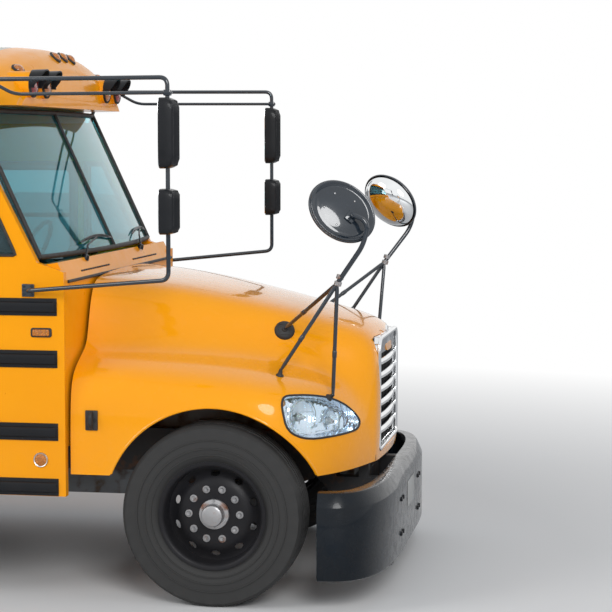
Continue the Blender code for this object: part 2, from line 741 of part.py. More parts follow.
def rear_axle():
    """Drive axle with its round housing, pinion nose, tubes and leaf packs."""
    z = TYRE_RADIUS
    end = REAR_TRACK / 2 + SPINDLE_DEPTH
    axle = cylinder("rear_axle", (REAR_AXLE_X, -end, z), (REAR_AXLE_X, end, z), TUBE_RADIUS)
    housing = cylinder("housing", (REAR_AXLE_X - BANJO_DEPTH / 2, 0, z), (REAR_AXLE_X + BANJO_DEPTH / 2, 0, z),
                       BANJO_RADIUS, 20)
    nose_end = REAR_AXLE_X + BANJO_DEPTH / 2 + PINION_LENGTH
    nose = cylinder("pinion", (REAR_AXLE_X, 0, SHAFT_Z), (nose_end, 0, SHAFT_Z), BANJO_RADIUS / 2, 16, SHAFT_RADIUS)
    collars = []
    for side in (1, -1):
        seat = side * (REAR_TRACK / 2 - HUB_RADIUS - SEAT_GAP)
        collars.append(cylinder("collar", (REAR_AXLE_X, seat - side * 3 * TUBE_RADIUS, z), (REAR_AXLE_X, seat, z),
                                TUBE_RADIUS * 1.3))
        collars.append(spring_pack(REAR_AXLE_X, REAR_SPRING, side, z, TUBE_RADIUS / 2))
    fuse(axle, housing, nose, *collars)
    paint(axle, BLACK, 0.6)


def drive_shaft():
    front_x = FRONT - ENGINE_FRONT_BACK - ENGINE_LENGTH - GEARBOX_LENGTH - SEAT_GAP
    rear_x = REAR_AXLE_X + BANJO_DEPTH / 2 + PINION_LENGTH + SEAT_GAP
    shaft = cylinder("drive_shaft", (rear_x, 0, SHAFT_Z), (front_x, 0, SHAFT_Z), SHAFT_RADIUS)
    paint(shaft, (0.2, 0.2, 0.21), 0.5, 0.6)


def engine_block():
    """Engine and transmission, as one plain block on the rails."""
    front_x = FRONT - ENGINE_FRONT_BACK
    rear_x = front_x - ENGINE_LENGTH
    half = ENGINE_WIDTH / 2
    engine = box("engine_block", (rear_x, -half, ENGINE_LOW_Z), (front_x, half, ENGINE_HIGH_Z))
    gearbox = box("gearbox", (rear_x - GEARBOX_LENGTH, -GEARBOX_WIDTH / 2, GEARBOX_LOW_Z),
                  (rear_x + OVERRUN, GEARBOX_WIDTH / 2, GEARBOX_HIGH_Z))
    reach = RAIL_SIDE - RAIL_WIDTH / 2
    feet_x = (front_x + rear_x) / 2
    feet = box("engine_feet", (feet_x - CROSS_WIDTH, -reach, RAIL_HIGH_Z + SEAT_GAP),
               (feet_x + CROSS_WIDTH, reach, RAIL_HIGH_Z + CROSS_WIDTH / 2))
    fuse(engine, gearbox, feet)
    paint(engine, (0.16, 0.17, 0.18), 0.5, 0.5)


def radiator():
    x = FRONT - RADIATOR_BACK
    half = RADIATOR_WIDTH / 2
    low = HORN_HIGH_Z - RAIL_PLATE + SEAT_GAP
    core = box("radiator", (x - RADIATOR_DEPTH / 2, -half, low), (x + RADIATOR_DEPTH / 2, half, RADIATOR_HIGH_Z))
    paint(core, BLACK, 0.5, 0.4)


def fuel_tank():
    x = FRONT - TANK_MIDDLE_BACK
    tank = box("fuel_tank", (x - TANK_LENGTH / 2, -RAIL_SIDE - SEAT_GAP - TANK_WIDTH, TANK_TOP_Z - TANK_HEIGHT),
               (x + TANK_LENGTH / 2, -RAIL_SIDE - SEAT_GAP, TANK_TOP_Z))
    soften(tank, TANK_ROUND)
    paint(tank, BLACK, 0.4)


def exhaust():
    """Pipe from the engine's underside, under the left rail, to a muffler and on to the rear."""
    start_x = FRONT - ENGINE_FRONT_BACK - ENGINE_LENGTH + CROSS_WIDTH
    start_y = ENGINE_WIDTH / 2 - CROSS_WIDTH
    under_z = RAIL_LOW_Z - 2 * PIPE_RADIUS
    muffler_x = FRONT - MUFFLER_FRONT_BACK
    rise_x = muffler_x + MUFFLER_LENGTH / 2
    route = [
        (start_x, start_y, ENGINE_LOW_Z - SEAT_GAP), (start_x, start_y, under_z),
        (start_x - 4 * CROSS_WIDTH, PIPE_SIDE, under_z), (rise_x, PIPE_SIDE, PIPE_Z),
        (SHELL_REAR + 3 * PIPE_RADIUS, PIPE_SIDE, PIPE_Z), (BODY_REAR, PIPE_SIDE, REAR_BUMPER_LOW_Z - 2 * PIPE_RADIUS),
        (REAR + OVERRUN, PIPE_SIDE, REAR_BUMPER_LOW_Z - 3 * PIPE_RADIUS)]
    pipe = tube("exhaust", rounded(route, 1.5 * PIPE_RADIUS), PIPE_RADIUS)
    can = cylinder("muffler", (muffler_x - MUFFLER_LENGTH, MUFFLER_SIDE, PIPE_Z), (muffler_x, MUFFLER_SIDE, PIPE_Z),
                   MUFFLER_RADIUS)
    fuse(pipe, can)
    paint(pipe, (0.25, 0.22, 0.2), 0.6, 0.8)


# Wheels

def rim_side(edge, disc_face):
    """Profile of a rim's open side, from the disc out to the flange and over to the tyre's seat."""
    inner = RIM_RADIUS - RIM_PLATE
    sign = 1 if edge > disc_face else -1
    return [(inner, disc_face), (inner, edge), (FLANGE_RADIUS, edge), (FLANGE_RADIUS, edge - sign * FLANGE_PLATE),
            (RIM_RADIUS, edge - sign * FLANGE_PLATE)]


def front_wheel_profile():
    half = RIM_WIDTH / 2
    bottom = [(radius, height) for radius, height in reversed(rim_side(-half, -RIM_PLATE / 2))]
    return ([(0, HUB_CAP), (HUB_RADIUS * 0.8, HUB_CAP), (HUB_RADIUS, HUB_CAP - OVERRUN),
             (HUB_RADIUS, DISC_DISH + RIM_PLATE), (RIM_RADIUS * 0.7, DISC_DISH + RIM_PLATE / 2),
             (RIM_RADIUS * 0.85, RIM_PLATE)]
            + rim_side(half, RIM_PLATE / 2) + bottom
            + [(RIM_RADIUS * 0.84, 0), (RIM_RADIUS * 0.69, DISC_DISH - RIM_PLATE / 2), (HUB_RADIUS, DISC_DISH),
               (HUB_RADIUS, -HUB_RADIUS), (BORE_RADIUS, -HUB_RADIUS), (BORE_RADIUS, SPINDLE_DEPTH + BORE_CLEAR),
               (0, SPINDLE_DEPTH + BORE_CLEAR)])


def rear_wheel_profile():
    far = DUAL_SPACING / 2 + RIM_WIDTH / 2
    near = DUAL_SPACING / 2 - RIM_WIDTH / 2
    outer = rim_side(far, near + RIM_PLATE)
    inner = [(radius, -height) for radius, height in reversed(outer)]
    seat = [(RIM_RADIUS, near + FLANGE_PLATE), (FLANGE_RADIUS, near + FLANGE_PLATE), (FLANGE_RADIUS, near),
            (RIM_RADIUS, near), (RIM_RADIUS, -near), (FLANGE_RADIUS, -near), (FLANGE_RADIUS, -near - FLANGE_PLATE),
            (RIM_RADIUS, -near - FLANGE_PLATE)]
    bore = TUBE_RADIUS + BORE_CLEAR
    return ([(0, far - RIM_PLATE), (HUB_RADIUS, far - RIM_PLATE), (HUB_RADIUS * 1.3, far - HUB_RADIUS),
             (HUB_RADIUS * 1.3, RIM_PLATE), (RIM_RADIUS * 0.75, RIM_PLATE)]
            + outer + seat + inner
            + [(RIM_RADIUS * 0.75, -RIM_PLATE), (HUB_RADIUS * 1.3, -RIM_PLATE), (HUB_RADIUS * 1.3, -HUB_RADIUS),
               (bore, -HUB_RADIUS), (bore, SPINDLE_DEPTH + BORE_CLEAR), (0, SPINDLE_DEPTH + BORE_CLEAR)])


def tyre_profile():
    seat = RIM_RADIUS + SEAT_GAP
    bead = RIM_WIDTH / 2 - FLANGE_PLATE - SEAT_GAP
    top = FLANGE_RADIUS + SEAT_GAP
    half = TYRE_WIDTH / 2
    shoulder = TYRE_RADIUS - TYRE_SHOULDER
    middle = (top + shoulder) / 2
    side = [(seat, bead), (top, bead), (top + BEAD_RELIEF, half - BEAD_RELIEF), (middle, half),
            (shoulder, half - BEAD_RELIEF / 2), (TYRE_RADIUS, half - TYRE_SHOULDER)]
    return side + [(radius, -height) for radius, height in reversed(side)] + [(seat, bead)]


def wheel_place(x, y, side):
    """A wheel's own axis points outward, to the given side of the bus."""
    return Matrix.Translation((x, y, TYRE_RADIUS)) @ Matrix.Rotation(-side * pi / 2, 4, "X")


def front_wheel(label, side, knuckle):
    y = side * FRONT_TRACK / 2
    marker = pivot("front_wheel_" + label, (FRONT_AXLE_X, y, TYRE_RADIUS))
    hang(marker, knuckle)
    wheel = turned("front_wheel_" + label, front_wheel_profile(), wheel_place(FRONT_AXLE_X, y, side))
    tyre = turned("front_tyre_" + label, tyre_profile(), wheel_place(FRONT_AXLE_X, y, side))
    hang(wheel, marker)
    hang(tyre, marker)
    paint(wheel, BLACK, 0.35)
    paint(tyre, (0.02, 0.02, 0.02), 0.85)


def rear_wheels(label, side):
    y = side * REAR_TRACK / 2
    marker = pivot("rear_wheels_" + label, (REAR_AXLE_X, y, TYRE_RADIUS))
    pair = turned("rear_wheels_" + label, rear_wheel_profile(), wheel_place(REAR_AXLE_X, y, side))
    hang(pair, marker)
    paint(pair, BLACK, 0.35)
    for place, step in (("outer", 1), ("inner", -1)):
        tyre_y = y + side * step * DUAL_SPACING / 2
        tyre = turned("rear_tyre_" + label + "_" + place, tyre_profile(), wheel_place(REAR_AXLE_X, tyre_y, side))
        hang(tyre, marker)
        paint(tyre, (0.02, 0.02, 0.02), 0.85)


def knuckle(label, side):
    """Yoke around the kingpin boss, with the spindle that carries the wheel."""
    y = side * KINGPIN_SIDE
    z = TYRE_RADIUS
    marker = pivot("knuckle_" + label, (FRONT_AXLE_X, y, z))
    face = side * (FRONT_TRACK / 2 - HUB_RADIUS - SEAT_GAP)
    plate_in = y + side * (BOSS_RADIUS + RUN_GAP)
    arm_in = y - side * KINGPIN_RADIUS
    near = KINGPIN_BOSS / 2 + SEAT_GAP
    reach = near + YOKE_PLATE
    outline = [(face, z - reach), (face, z + reach), (arm_in, z + reach), (arm_in, z + near), (plate_in, z + near),
               (plate_in, z - near), (arm_in, z - near), (arm_in, z - reach)]
    body = plate("knuckle_" + label, outline, FRONT_AXLE_X - YOKE_WIDTH / 2, FRONT_AXLE_X + YOKE_WIDTH / 2, "front")
    tip = side * (FRONT_TRACK / 2 + SPINDLE_DEPTH)
    root = (plate_in + face) / 2
    fuse(body, cylinder("spindle", (FRONT_AXLE_X, root, z), (FRONT_AXLE_X, tip, z), BORE_RADIUS - BORE_CLEAR))
    hang(body, marker)
    paint(body, BLACK, 0.6)
    return marker


# Body

def floor():
    """Floor with the entry steps and a box over each pair of rear wheels."""
    low = RAIL_HIGH_Z + SEAT_GAP
    front = COWL_X - FIREWALL - SEAT_GAP
    side = INNER_SIDE - SEAT_GAP
    slab = box("floor", (SHELL_REAR + SEAT_GAP, -side, low), (front, side, FLOOR_Z))
    lower = LOW_STEP_Z - STEP_PLATE
    edge = -SIDE + WELL_DEPTH
    well_front = DOOR_FRONT_X - SEAT_GAP
    well_rear = DOOR_REAR_X + SEAT_GAP
    well = box("well", (well_rear, -SIDE - OVERRUN, lower - OVERRUN), (well_front, edge, FLOOR_Z + OVERRUN))
    cut(slab, well)
    outline = [(edge + STEP_PLATE, FLOOR_Z), (edge, FLOOR_Z)]
    height = FLOOR_Z
    y = edge
    for drop in range(STEP_DROPS):
        height = height - STEP_RISE
        outline.append((y, height))
        y = max(y - STEP_GOING, -SIDE) if drop < STEP_DROPS - 1 else -SIDE
        outline.append((y, height))
    outline += [(y, height - STEP_PLATE), (edge - STEP_GOING + STEP_PLATE, height - STEP_PLATE),
                (edge - STEP_GOING + STEP_PLATE, height + STEP_RISE - STEP_PLATE),
                (edge + STEP_PLATE, height + STEP_RISE - STEP_PLATE)]
    steps = plate("steps", outline, well_rear, well_front, "front")
    cheeks = []
    for x, out in ((well_front, 1), (well_rear, -1)):
        far = x + out * STEP_PLATE
        near = x - out * SEAT_GAP * 3
        cheeks.append(box("cheek", (min(near, far), -side, lower), (max(near, far), edge + STEP_PLATE, FLOOR_Z)))
    fuse(slab, steps, *cheeks)
    for step in (1, -1):
        inner = WHEEL_BOX_SIDE + WHEEL_BOX_PLATE
        outer_box = box("wheel_box", (REAR_AXLE_X - WHEEL_BOX_HALF, min(step * WHEEL_BOX_SIDE, step * side), low),
                        (REAR_AXLE_X + WHEEL_BOX_HALF, max(step * WHEEL_BOX_SIDE, step * side), WHEEL_BOX_Z))
        past = step * (side + OVERRUN)
        hollow = box("wheel_space", (REAR_AXLE_X - WHEEL_BOX_HALF + WHEEL_BOX_PLATE, min(step * inner, past),
                                     low - OVERRUN),
                     (REAR_AXLE_X + WHEEL_BOX_HALF - WHEEL_BOX_PLATE, max(step * inner, past),
                      WHEEL_BOX_Z - WHEEL_BOX_PLATE))
        fuse(slab, outer_box)
        cut(slab, hollow)
    runner_half = AISLE_HALF - RUNNER_IN
    fuse(slab, box("runner", (SHELL_REAR + POST, -runner_half, FLOOR_Z - RUNNER),
                   (DOOR_REAR_X, runner_half, FLOOR_Z + RUNNER)))
    paint(slab, (0.05, 0.05, 0.055), 0.8)


def quarter_outline(grow):
    """Outline of the small window behind the windshield, optionally grown by a margin."""
    lean = (SCREEN_BASE_X - SCREEN_TOP_X) / (SCREEN_TOP_Z - SCREEN_BASE_Z)
    rear = DOOR_FRONT_X + POST - grow
    low = QUARTER_LOW_Z - grow
    high = WINDOW_HIGH_Z + grow
    front = SCREEN_BASE_X - POST + grow
    return [(rear, low), (front - lean * (low - SCREEN_BASE_Z), low), (front - lean * (high - SCREEN_BASE_Z), high),
            (rear, high)]


def last_window_front(windows):
    return SHELL_REAR + WINDOW_REAR_POST + (windows - 1) * WINDOW_PITCH + WINDOW_WIDTH


def side_wall(label, side, windows):
    front_low = COWL_X - SEAT_GAP
    outline = [
        (SHELL_REAR + SEAT_GAP, SKIRT_Z), (front_low, SKIRT_Z), (front_low, SCREEN_BASE_Z - WALL),
        (SCREEN_BASE_X, SCREEN_BASE_Z), (SCREEN_TOP_X, EAVE_Z), (SHELL_REAR + SEAT_GAP, EAVE_Z)]
    wall = plate(label + "_wall", outline, side * INNER_SIDE, side * SIDE, "side")
    arch = circle((REAR_AXLE_X, TYRE_RADIUS), ARCH_RADIUS, 24)
    past = side * (SIDE + OVERRUN)
    inside = side * (INNER_SIDE - OVERRUN)
    cut(wall, plate(label + "_arch", arch, inside, past, "side"))
    first = SHELL_REAR + WINDOW_REAR_POST
    opening = box(label + "_window", (first, min(inside, past), WINDOW_LOW_Z),
                  (first + WINDOW_WIDTH, max(inside, past), WINDOW_HIGH_Z))
    row = opening.modifiers.new("row", "ARRAY")
    row.count = windows
    row.use_relative_offset = False
    row.use_constant_offset = True
    row.constant_offset_displace = (WINDOW_PITCH, 0, 0)
    cut(wall, opening)
    cut(wall, plate(label + "_quarter", quarter_outline(0.0), inside, past, "side"))
    return wall


def left_wall():
    wall = side_wall("left", 1, WINDOWS_LEFT)
    rear = DOOR_FRONT_X - DRIVER_WINDOW_WIDTH
    cut(wall, box("driver_window", (rear, INNER_SIDE - OVERRUN, WINDOW_LOW_Z), (DOOR_FRONT_X, SIDE + OVERRUN, WINDOW_HIGH_Z)))
    stop_x = COWL_X - STOP_TO_COWL
    pin = STOP_LUG / 2
    lugs = []
    for up in (1, -1):
        near = STOP_Z + up * (STOP_LUG * 2 + SEAT_GAP)
        far = STOP_Z + up * STOP_LUG * 3
        lugs.append(box("stop_lug", (stop_x - pin, SIDE - SEAT_GAP, min(near, far)),
                        (stop_x + pin, SIDE + STOP_OFFSET + pin, max(near, far))))
    fuse(wall, *lugs)
    paint(wall, YELLOW, 0.25)


def right_wall():
    wall = side_wall("right", -1, WINDOWS_RIGHT)
    cut(wall, box("doorway", (DOOR_REAR_X, -SIDE - OVERRUN, SKIRT_Z - OVERRUN),
                  (DOOR_FRONT_X, -INNER_SIDE + OVERRUN, DOOR_TOP_Z)))
    paint(wall, YELLOW, 0.25)


def rear_wall():
    arc = roof_arc(SIDE, ROOF_Z, EAVE_Z)
    outline = [(-SIDE, SKIRT_Z), (SIDE, SKIRT_Z)] + list(reversed(arc))
    wall = plate("rear_wall", outline, BODY_REAR, SHELL_REAR, "front")
    half = ESCAPE_WIDTH / 2
    cut(wall, box("escape_hole", (BODY_REAR - OVERRUN, -half, FLOOR_Z), (SHELL_REAR + OVERRUN, half, ESCAPE_TOP_Z)))
    for side in (1, -1):
        near = side * (half + 2 * WALL)
        far = side * (INNER_SIDE - WALL)
        cut(wall, box("rear_pane", (BODY_REAR - OVERRUN, min(near, far), WINDOW_LOW_Z),
                      (SHELL_REAR - PANE, max(near, far), WINDOW_HIGH_Z)))
    lamps = []
    for side in (1, -1):
        for share in WARNING_LAMP_SIDE_SHARES:
            y = side * SIDE * share
            lamps.append(cylinder("rear_lamp", (BODY_REAR - WARNING_LAMP_DEPTH / 2, y, REAR_LAMP_Z),
                                  (SHELL_REAR - PANE, y, REAR_LAMP_Z), WARNING_LAMP_RADIUS))
        y = side * (SIDE - 2 * WARNING_LAMP_RADIUS)
        lamps.append(cylinder("tail_lamp", (BODY_REAR - WARNING_LAMP_DEPTH / 2, y, TAIL_LAMP_Z),
                              (SHELL_REAR - PANE, y, TAIL_LAMP_Z), WARNING_LAMP_RADIUS))
    fuse(wall, *lamps)
    paint(wall, YELLOW, 0.25)


def roof():
    """Bowed skin over the walls, with a curbed hole for each hatch."""
    eave = EAVE_Z + SEAT_GAP
    outer = roof_arc(SIDE, ROOF_Z, eave)
    inner = roof_arc(SIDE - ROOF_SKIN, ROOF_Z - ROOF_SKIN, eave)
    skin = plate("roof", outer + list(reversed(inner)), SHELL_REAR + SEAT_GAP, ROOF_FRONT, "front")
    for back in HATCH_BACKS:
        x = FRONT - back
        half = HATCH / 2
        hole = HATCH_HOLE / 2
        fuse(skin, box("curb", (x - half, -half, ROOF_Z - ROOF_SKIN), (x + half, half, HATCH_CURB_Z)))
        cut(skin, box("hatch_hole", (x - hole, -hole, ROOF_Z - 2 * ROOF_SKIN - OVERRUN),
                      (x + hole, hole, HATCH_CURB_Z + OVERRUN)))
    paint(skin, (0.9, 0.88, 0.8), 0.35)


def front_cap():
    """Closed moulding from the roof's front edge down to the windshield, with four warning lamps."""
    stations_share = ((0.0, 1.0, 1.0), (0.45, 0.985, 0.97), (0.8, 0.94, 0.86), (1.0, 0.87, 0.62))
    shape = bmesh.new()
    rings = []
    base = EAVE_Z + SEAT_GAP
    for forward, wide, tall in stations_share:
        x = ROOF_FRONT + SEAT_GAP + CAP_DEPTH * forward
        half = SIDE * wide
        arc = roof_arc(half, base + (ROOF_Z - base) * tall, base)
        rings.append([shape.verts.new((x, y, z)) for y, z in arc])
    for first, second in zip(rings, rings[1:]):
        for (a, b), (c, d) in zip(zip(first, first[1:]), zip(second, second[1:])):
            shape.faces.new((a, c, d, b))
    shape.faces.new(list(reversed(rings[0])))
    shape.faces.new(rings[-1])
    shape.faces.new([ring[0] for ring in rings] + [ring[-1] for ring in reversed(rings)])
    bmesh.ops.recalc_face_normals(shape, faces=shape.faces)
    cap = new_piece("front_cap", shape)
    low = SCREEN_TOP_Z - RUN_GAP
    under = box("cap_under", (ROOF_FRONT - OVERRUN, -SIDE - OVERRUN, EAVE_Z - OVERRUN),
                (ROOF_FRONT + CAP_DEPTH + OVERRUN, SIDE + OVERRUN, low))
    cut(cap, under)
    lamps = []
    face = ROOF_FRONT + CAP_DEPTH
    for side in (1, -1):
        for share in WARNING_LAMP_SIDE_SHARES:
            y = side * SIDE * share
            lamps.append(cylinder("warning_lamp", (face - CAP_DEPTH / 2, y, WARNING_LAMP_Z),
                                  (face + WARNING_LAMP_DEPTH / 2, y, WARNING_LAMP_Z), CAP_LAMP_RADIUS))
    fuse(cap, *lamps)
    paint(cap, YELLOW, 0.25)


def screen_point(across, up):
    """A point of the windshield's outer face, across from -1 to 1 and up from 0 to 1."""
    x = SCREEN_BASE_X + (SCREEN_TOP_X - SCREEN_BASE_X) * up + SCREEN_BOW * (1 - across ** 2)
    return (x, across * (INNER_SIDE - 2 * SEAT_GAP), SCREEN_BASE_Z + (SCREEN_TOP_Z - SCREEN_BASE_Z) * up)


def windshield():
    shape = bmesh.new()
    columns = 12
    rows = [[shape.verts.new(screen_point(2 * step / columns - 1, up)) for step in range(columns + 1)]
            for up in (0.02, 0.97)]
    for (a, b), (c, d) in zip(zip(rows[0], rows[0][1:]), zip(rows[1], rows[1][1:])):
        shape.faces.new((a, b, d, c))
    glass = new_piece("windshield", shape)
    thick = glass.modifiers.new("thick", "SOLIDIFY")
    thick.thickness = SCREEN_GLASS
    thick.offset = -1
    paint(glass, (0.35, 0.6, 0.65), 0.05, 0.0, 0.35)


def cowl():
    """Firewall, wiper deck up to the windshield's base, and the dash behind it."""
    side = INNER_SIDE - SEAT_GAP
    bottom = RAIL_HIGH_Z + SEAT_GAP
    outline = [
        (COWL_X, bottom), (COWL_X, SCREEN_BASE_Z - 2 * WALL), (SCREEN_BASE_X + SCREEN_BOW, SCREEN_BASE_Z - SEAT_GAP),
        (COWL_X - DASH_DEPTH, SCREEN_BASE_Z - WALL), (COWL_X - DASH_DEPTH - FIREWALL, DASH_HIGH_Z),
        (COWL_X - DASH_DEPTH - FIREWALL, DASH_LOW_Z), (COWL_X - FIREWALL, DASH_LOW_Z), (COWL_X - FIREWALL, bottom)]
    panel = plate("cowl", outline, -side, side, "side")
    paint(panel, YELLOW, 0.3)


def side_glass(label, side, front):
    """One band of glass against the inside of the wall behind its openings, and a pane for the quarter window."""
    rear = SHELL_REAR + WINDOW_REAR_POST - GLASS_MARGIN
    low = WINDOW_LOW_Z - GLASS_MARGIN
    high = WINDOW_HIGH_Z + GLASS_MARGIN
    outer = INNER_SIDE - SEAT_GAP
    near = side * outer
    far = side * (outer - PANE)
    band = [(rear, low), (front + GLASS_MARGIN, low), (front + GLASS_MARGIN, high), (rear, high)]
    for name, outline in (("glass_", band), ("quarter_glass_", quarter_outline(GLASS_MARGIN))):
        paint(plate(name + label, outline, near, far, "side"), (0.1, 0.16, 0.18), 0.05, 0.0, 0.5)


def bench_outline():
    back_x = SHELL_REAR + BENCH_FIRST
    cushion_z = BENCH_SEAT_Z - BENCH_CUSHION
    seat_front = back_x + BENCH_BACK + BENCH_DEPTH
    return [(back_x, cushion_z), (seat_front, cushion_z), (seat_front + BENCH_CUSHION / 4, BENCH_SEAT_Z - BENCH_CUSHION / 3),
            (seat_front, BENCH_SEAT_Z), (back_x + BENCH_BACK, BENCH_SEAT_Z), (back_x + BENCH_BACK * 0.8, BENCH_TOP_Z),
            (back_x, BENCH_TOP_Z)]


def bench_array(piece, rows):
    row = piece.modifiers.new("row", "ARRAY")
    row.count = rows
    row.use_relative_offset = False
    row.use_constant_offset = True
    row.constant_offset_displace = (BENCH_PITCH, 0, 0)
    return piece


def seats(label, side):
    """Twelve benches, their aisle legs and the rail on the wall that joins them."""
    outer = side * (INNER_SIDE - PANE - 2 * SEAT_GAP)
    inner = side * (INNER_SIDE - BENCH_WIDTH)
    rows = bench_array(plate("seats_" + label, bench_outline(), outer, inner, "side"), BENCH_ROWS)
    freeze(rows)
    leg_x = SHELL_REAR + BENCH_FIRST + BENCH_BACK + BENCH_DEPTH / 2
    leg_y = inner + side * BENCH_LEG_IN
    legs = box("legs", (leg_x - BENCH_LEG * 2, min(leg_y, leg_y + side * BENCH_LEG), FLOOR_Z + SEAT_GAP),
               (leg_x + BENCH_LEG * 2, max(leg_y, leg_y + side * BENCH_LEG), BENCH_SEAT_Z - BENCH_CUSHION / 2))
    bench_array(legs, BENCH_ROWS)
    rail_low = BENCH_SEAT_Z - BENCH_CUSHION - BENCH_LEG
    rail = box("seat_rail", (SHELL_REAR + BENCH_FIRST / 2, min(outer, outer - side * BENCH_LEG), rail_low),
               (SHELL_REAR + BENCH_FIRST + (BENCH_ROWS - 1) * BENCH_PITCH + BENCH_DEPTH,
                max(outer, outer - side * BENCH_LEG), rail_low + 2 * BENCH_LEG))
    fuse(rows, legs, rail)
    paint(rows, (0.03, 0.10, 0.06), 0.7)


def driver_seat():
    x = COWL_X - DRIVER_TO_COWL
    low = DRIVER_SEAT_Z - BENCH_CUSHION
    outline = [(x, low), (x + BENCH_DEPTH * 1.2, low), (x + BENCH_DEPTH * 1.2, DRIVER_SEAT_Z),
               (x + BENCH_CUSHION, DRIVER_SEAT_Z), (x + BENCH_CUSHION / 2, DRIVER_TOP_Z),
               (x - BENCH_CUSHION / 2, DRIVER_TOP_Z)]
    half = DRIVER_WIDTH / 2
    seat = plate("driver_seat", outline, DRIVER_SIDE - half, DRIVER_SIDE + half, "side")
    base = box("driver_base", (x + BENCH_CUSHION, DRIVER_SIDE - half / 2, FLOOR_Z + SEAT_GAP),
               (x + BENCH_DEPTH, DRIVER_SIDE + half / 2, low + BENCH_CUSHION / 2))
    fuse(seat, base)
    paint(seat, (0.03, 0.03, 0.035), 0.75)


def steering_wheel():
    """Rim, two spokes and the column that comes out of the dash."""
    root_x = COWL_X - DASH_DEPTH - FIREWALL - SEAT_GAP
    root_z = (DASH_LOW_Z + DASH_HIGH_Z) / 2
    lean = radians(STEERING_LEAN)
    direction = Vector((-cos(lean), 0, sin(lean)))
    start = Vector((root_x, DRIVER_SIDE, root_z))
    hub = start + direction * COLUMN_LENGTH
    foot = box("steering_wheel", (root_x - COLUMN_RADIUS, DRIVER_SIDE - 2 * COLUMN_RADIUS, root_z - 2 * COLUMN_RADIUS),
               (root_x, DRIVER_SIDE + 2 * COLUMN_RADIUS, root_z + 2 * COLUMN_RADIUS))
    column = cylinder("column", start + direction * COLUMN_RADIUS, hub + direction * COLUMN_RADIUS, COLUMN_RADIUS, 12)
    across = Vector((0, 1, 0))
    up = direction.cross(across)
    ring_points = []
    for step in range(20):
        turn = 2 * pi * step / 20
        ring_points.append(hub + (across * cos(turn) + up * sin(turn)) * STEERING_RADIUS)
    curve = bpy.data.curves.new("ring", "CURVE")
    curve.dimensions = "3D"
    curve.bevel_depth = STEERING_TUBE
    curve.bevel_resolution = 1
    run = curve.splines.new("POLY")
    run.points.add(len(ring_points) - 1)
    for point, place in zip(run.points, ring_points):
        point.co = (*place, 1)
    run.use_cyclic_u = True
    ring = solid_from_curve(curve, Matrix.Identity(4))
    spokes = [cylinder("spoke", hub - across * STEERING_RADIUS, hub + across * STEERING_RADIUS, SPOKE_RADIUS, 8),
              cylinder("spoke", hub, hub + up * STEERING_RADIUS, SPOKE_RADIUS, 8)]
    fuse(foot, column, ring, *spokes)
    paint(foot, BLACK, 0.5)


def bumper_outline(face, flat, sweep, thick):
    """Plan outline of a bumper whose ends sweep back along an arc, flat inside where the rails meet it."""
    outer = [(face, flat)]
    inner = []
    steps = 5
    for step in range(1, steps + 1):
        turn = pi / 2 * step / steps
        outer.append((face - sweep * (1 - cos(turn)), flat + (SIDE - flat) * sin(turn)))
    for x, y in reversed(outer[1:]):
        share = (y - flat) / (SIDE - flat)
        inner.append((x - thick * (1 - share), y - thick * share))
    inner.append((face - thick, max(flat, RAIL_SIDE + OVERRUN)))
    half = outer + inner
    return half + [(x, -y) for x, y in reversed(half)]


def front_bumper():
    outline = bumper_outline(FRONT, BUMPER_FLAT, BUMPER_SWEEP, BUMPER_PLATE)
    bar = plate("front_bumper", outline, BUMPER_LOW_Z, BUMPER_HIGH_Z, "plan")
    soften(bar, BUMPER_EASE)
    paint(bar, BLACK, 0.4)


def rear_bumper():
    face = REAR + REAR_BUMPER_PLATE
    bar = box("rear_bumper", (REAR, -SIDE, REAR_BUMPER_LOW_Z), (face, SIDE, REAR_BUMPER_HIGH_Z))
    brackets = []
    for side in (1, -1):
        near = side * (RAIL_SIDE - RAIL_WIDTH)
        far = side * RAIL_SIDE
        brackets.append(box("bracket", (face - OVERRUN, min(near, far), SKIRT_Z - 2 * WALL),
                            (SHELL_REAR + 3 * WALL, max(near, far), SKIRT_Z - SEAT_GAP)))
        brackets.append(box("bracket_pad", (SHELL_REAR + WALL, min(near, far), SKIRT_Z - WALL),
                            (SHELL_REAR + 3 * WALL, max(near, far), RAIL_LOW_Z - SEAT_GAP)))
    fuse(bar, *brackets)
    soften(bar, BUMPER_EASE)
    paint(bar, BLACK, 0.4)


# Doors and lids

def leaf(name, low, high, across, frame, pane_low):
    """A flat leaf with one tall window that keeps a thin pane, low and high being its corners."""
    piece = box(name, low, high)
    inset_low = list(low)
    inset_high = list(high)
    inset_low[across] += frame
    inset_high[across] -= frame
    inset_low[2] = pane_low
    inset_high[2] -= frame
    thin = 1 - across
    side = 1 if abs(high[thin]) > abs(low[thin]) else -1
    if side > 0:
        inset_low[thin] = low[thin] + PANE
        inset_high[thin] = high[thin] + OVERRUN
    else:
        inset_low[thin] = low[thin] - OVERRUN
        inset_high[thin] = high[thin] - PANE
    cut(piece, box(name + "_pane", inset_low, inset_high))
    return piece


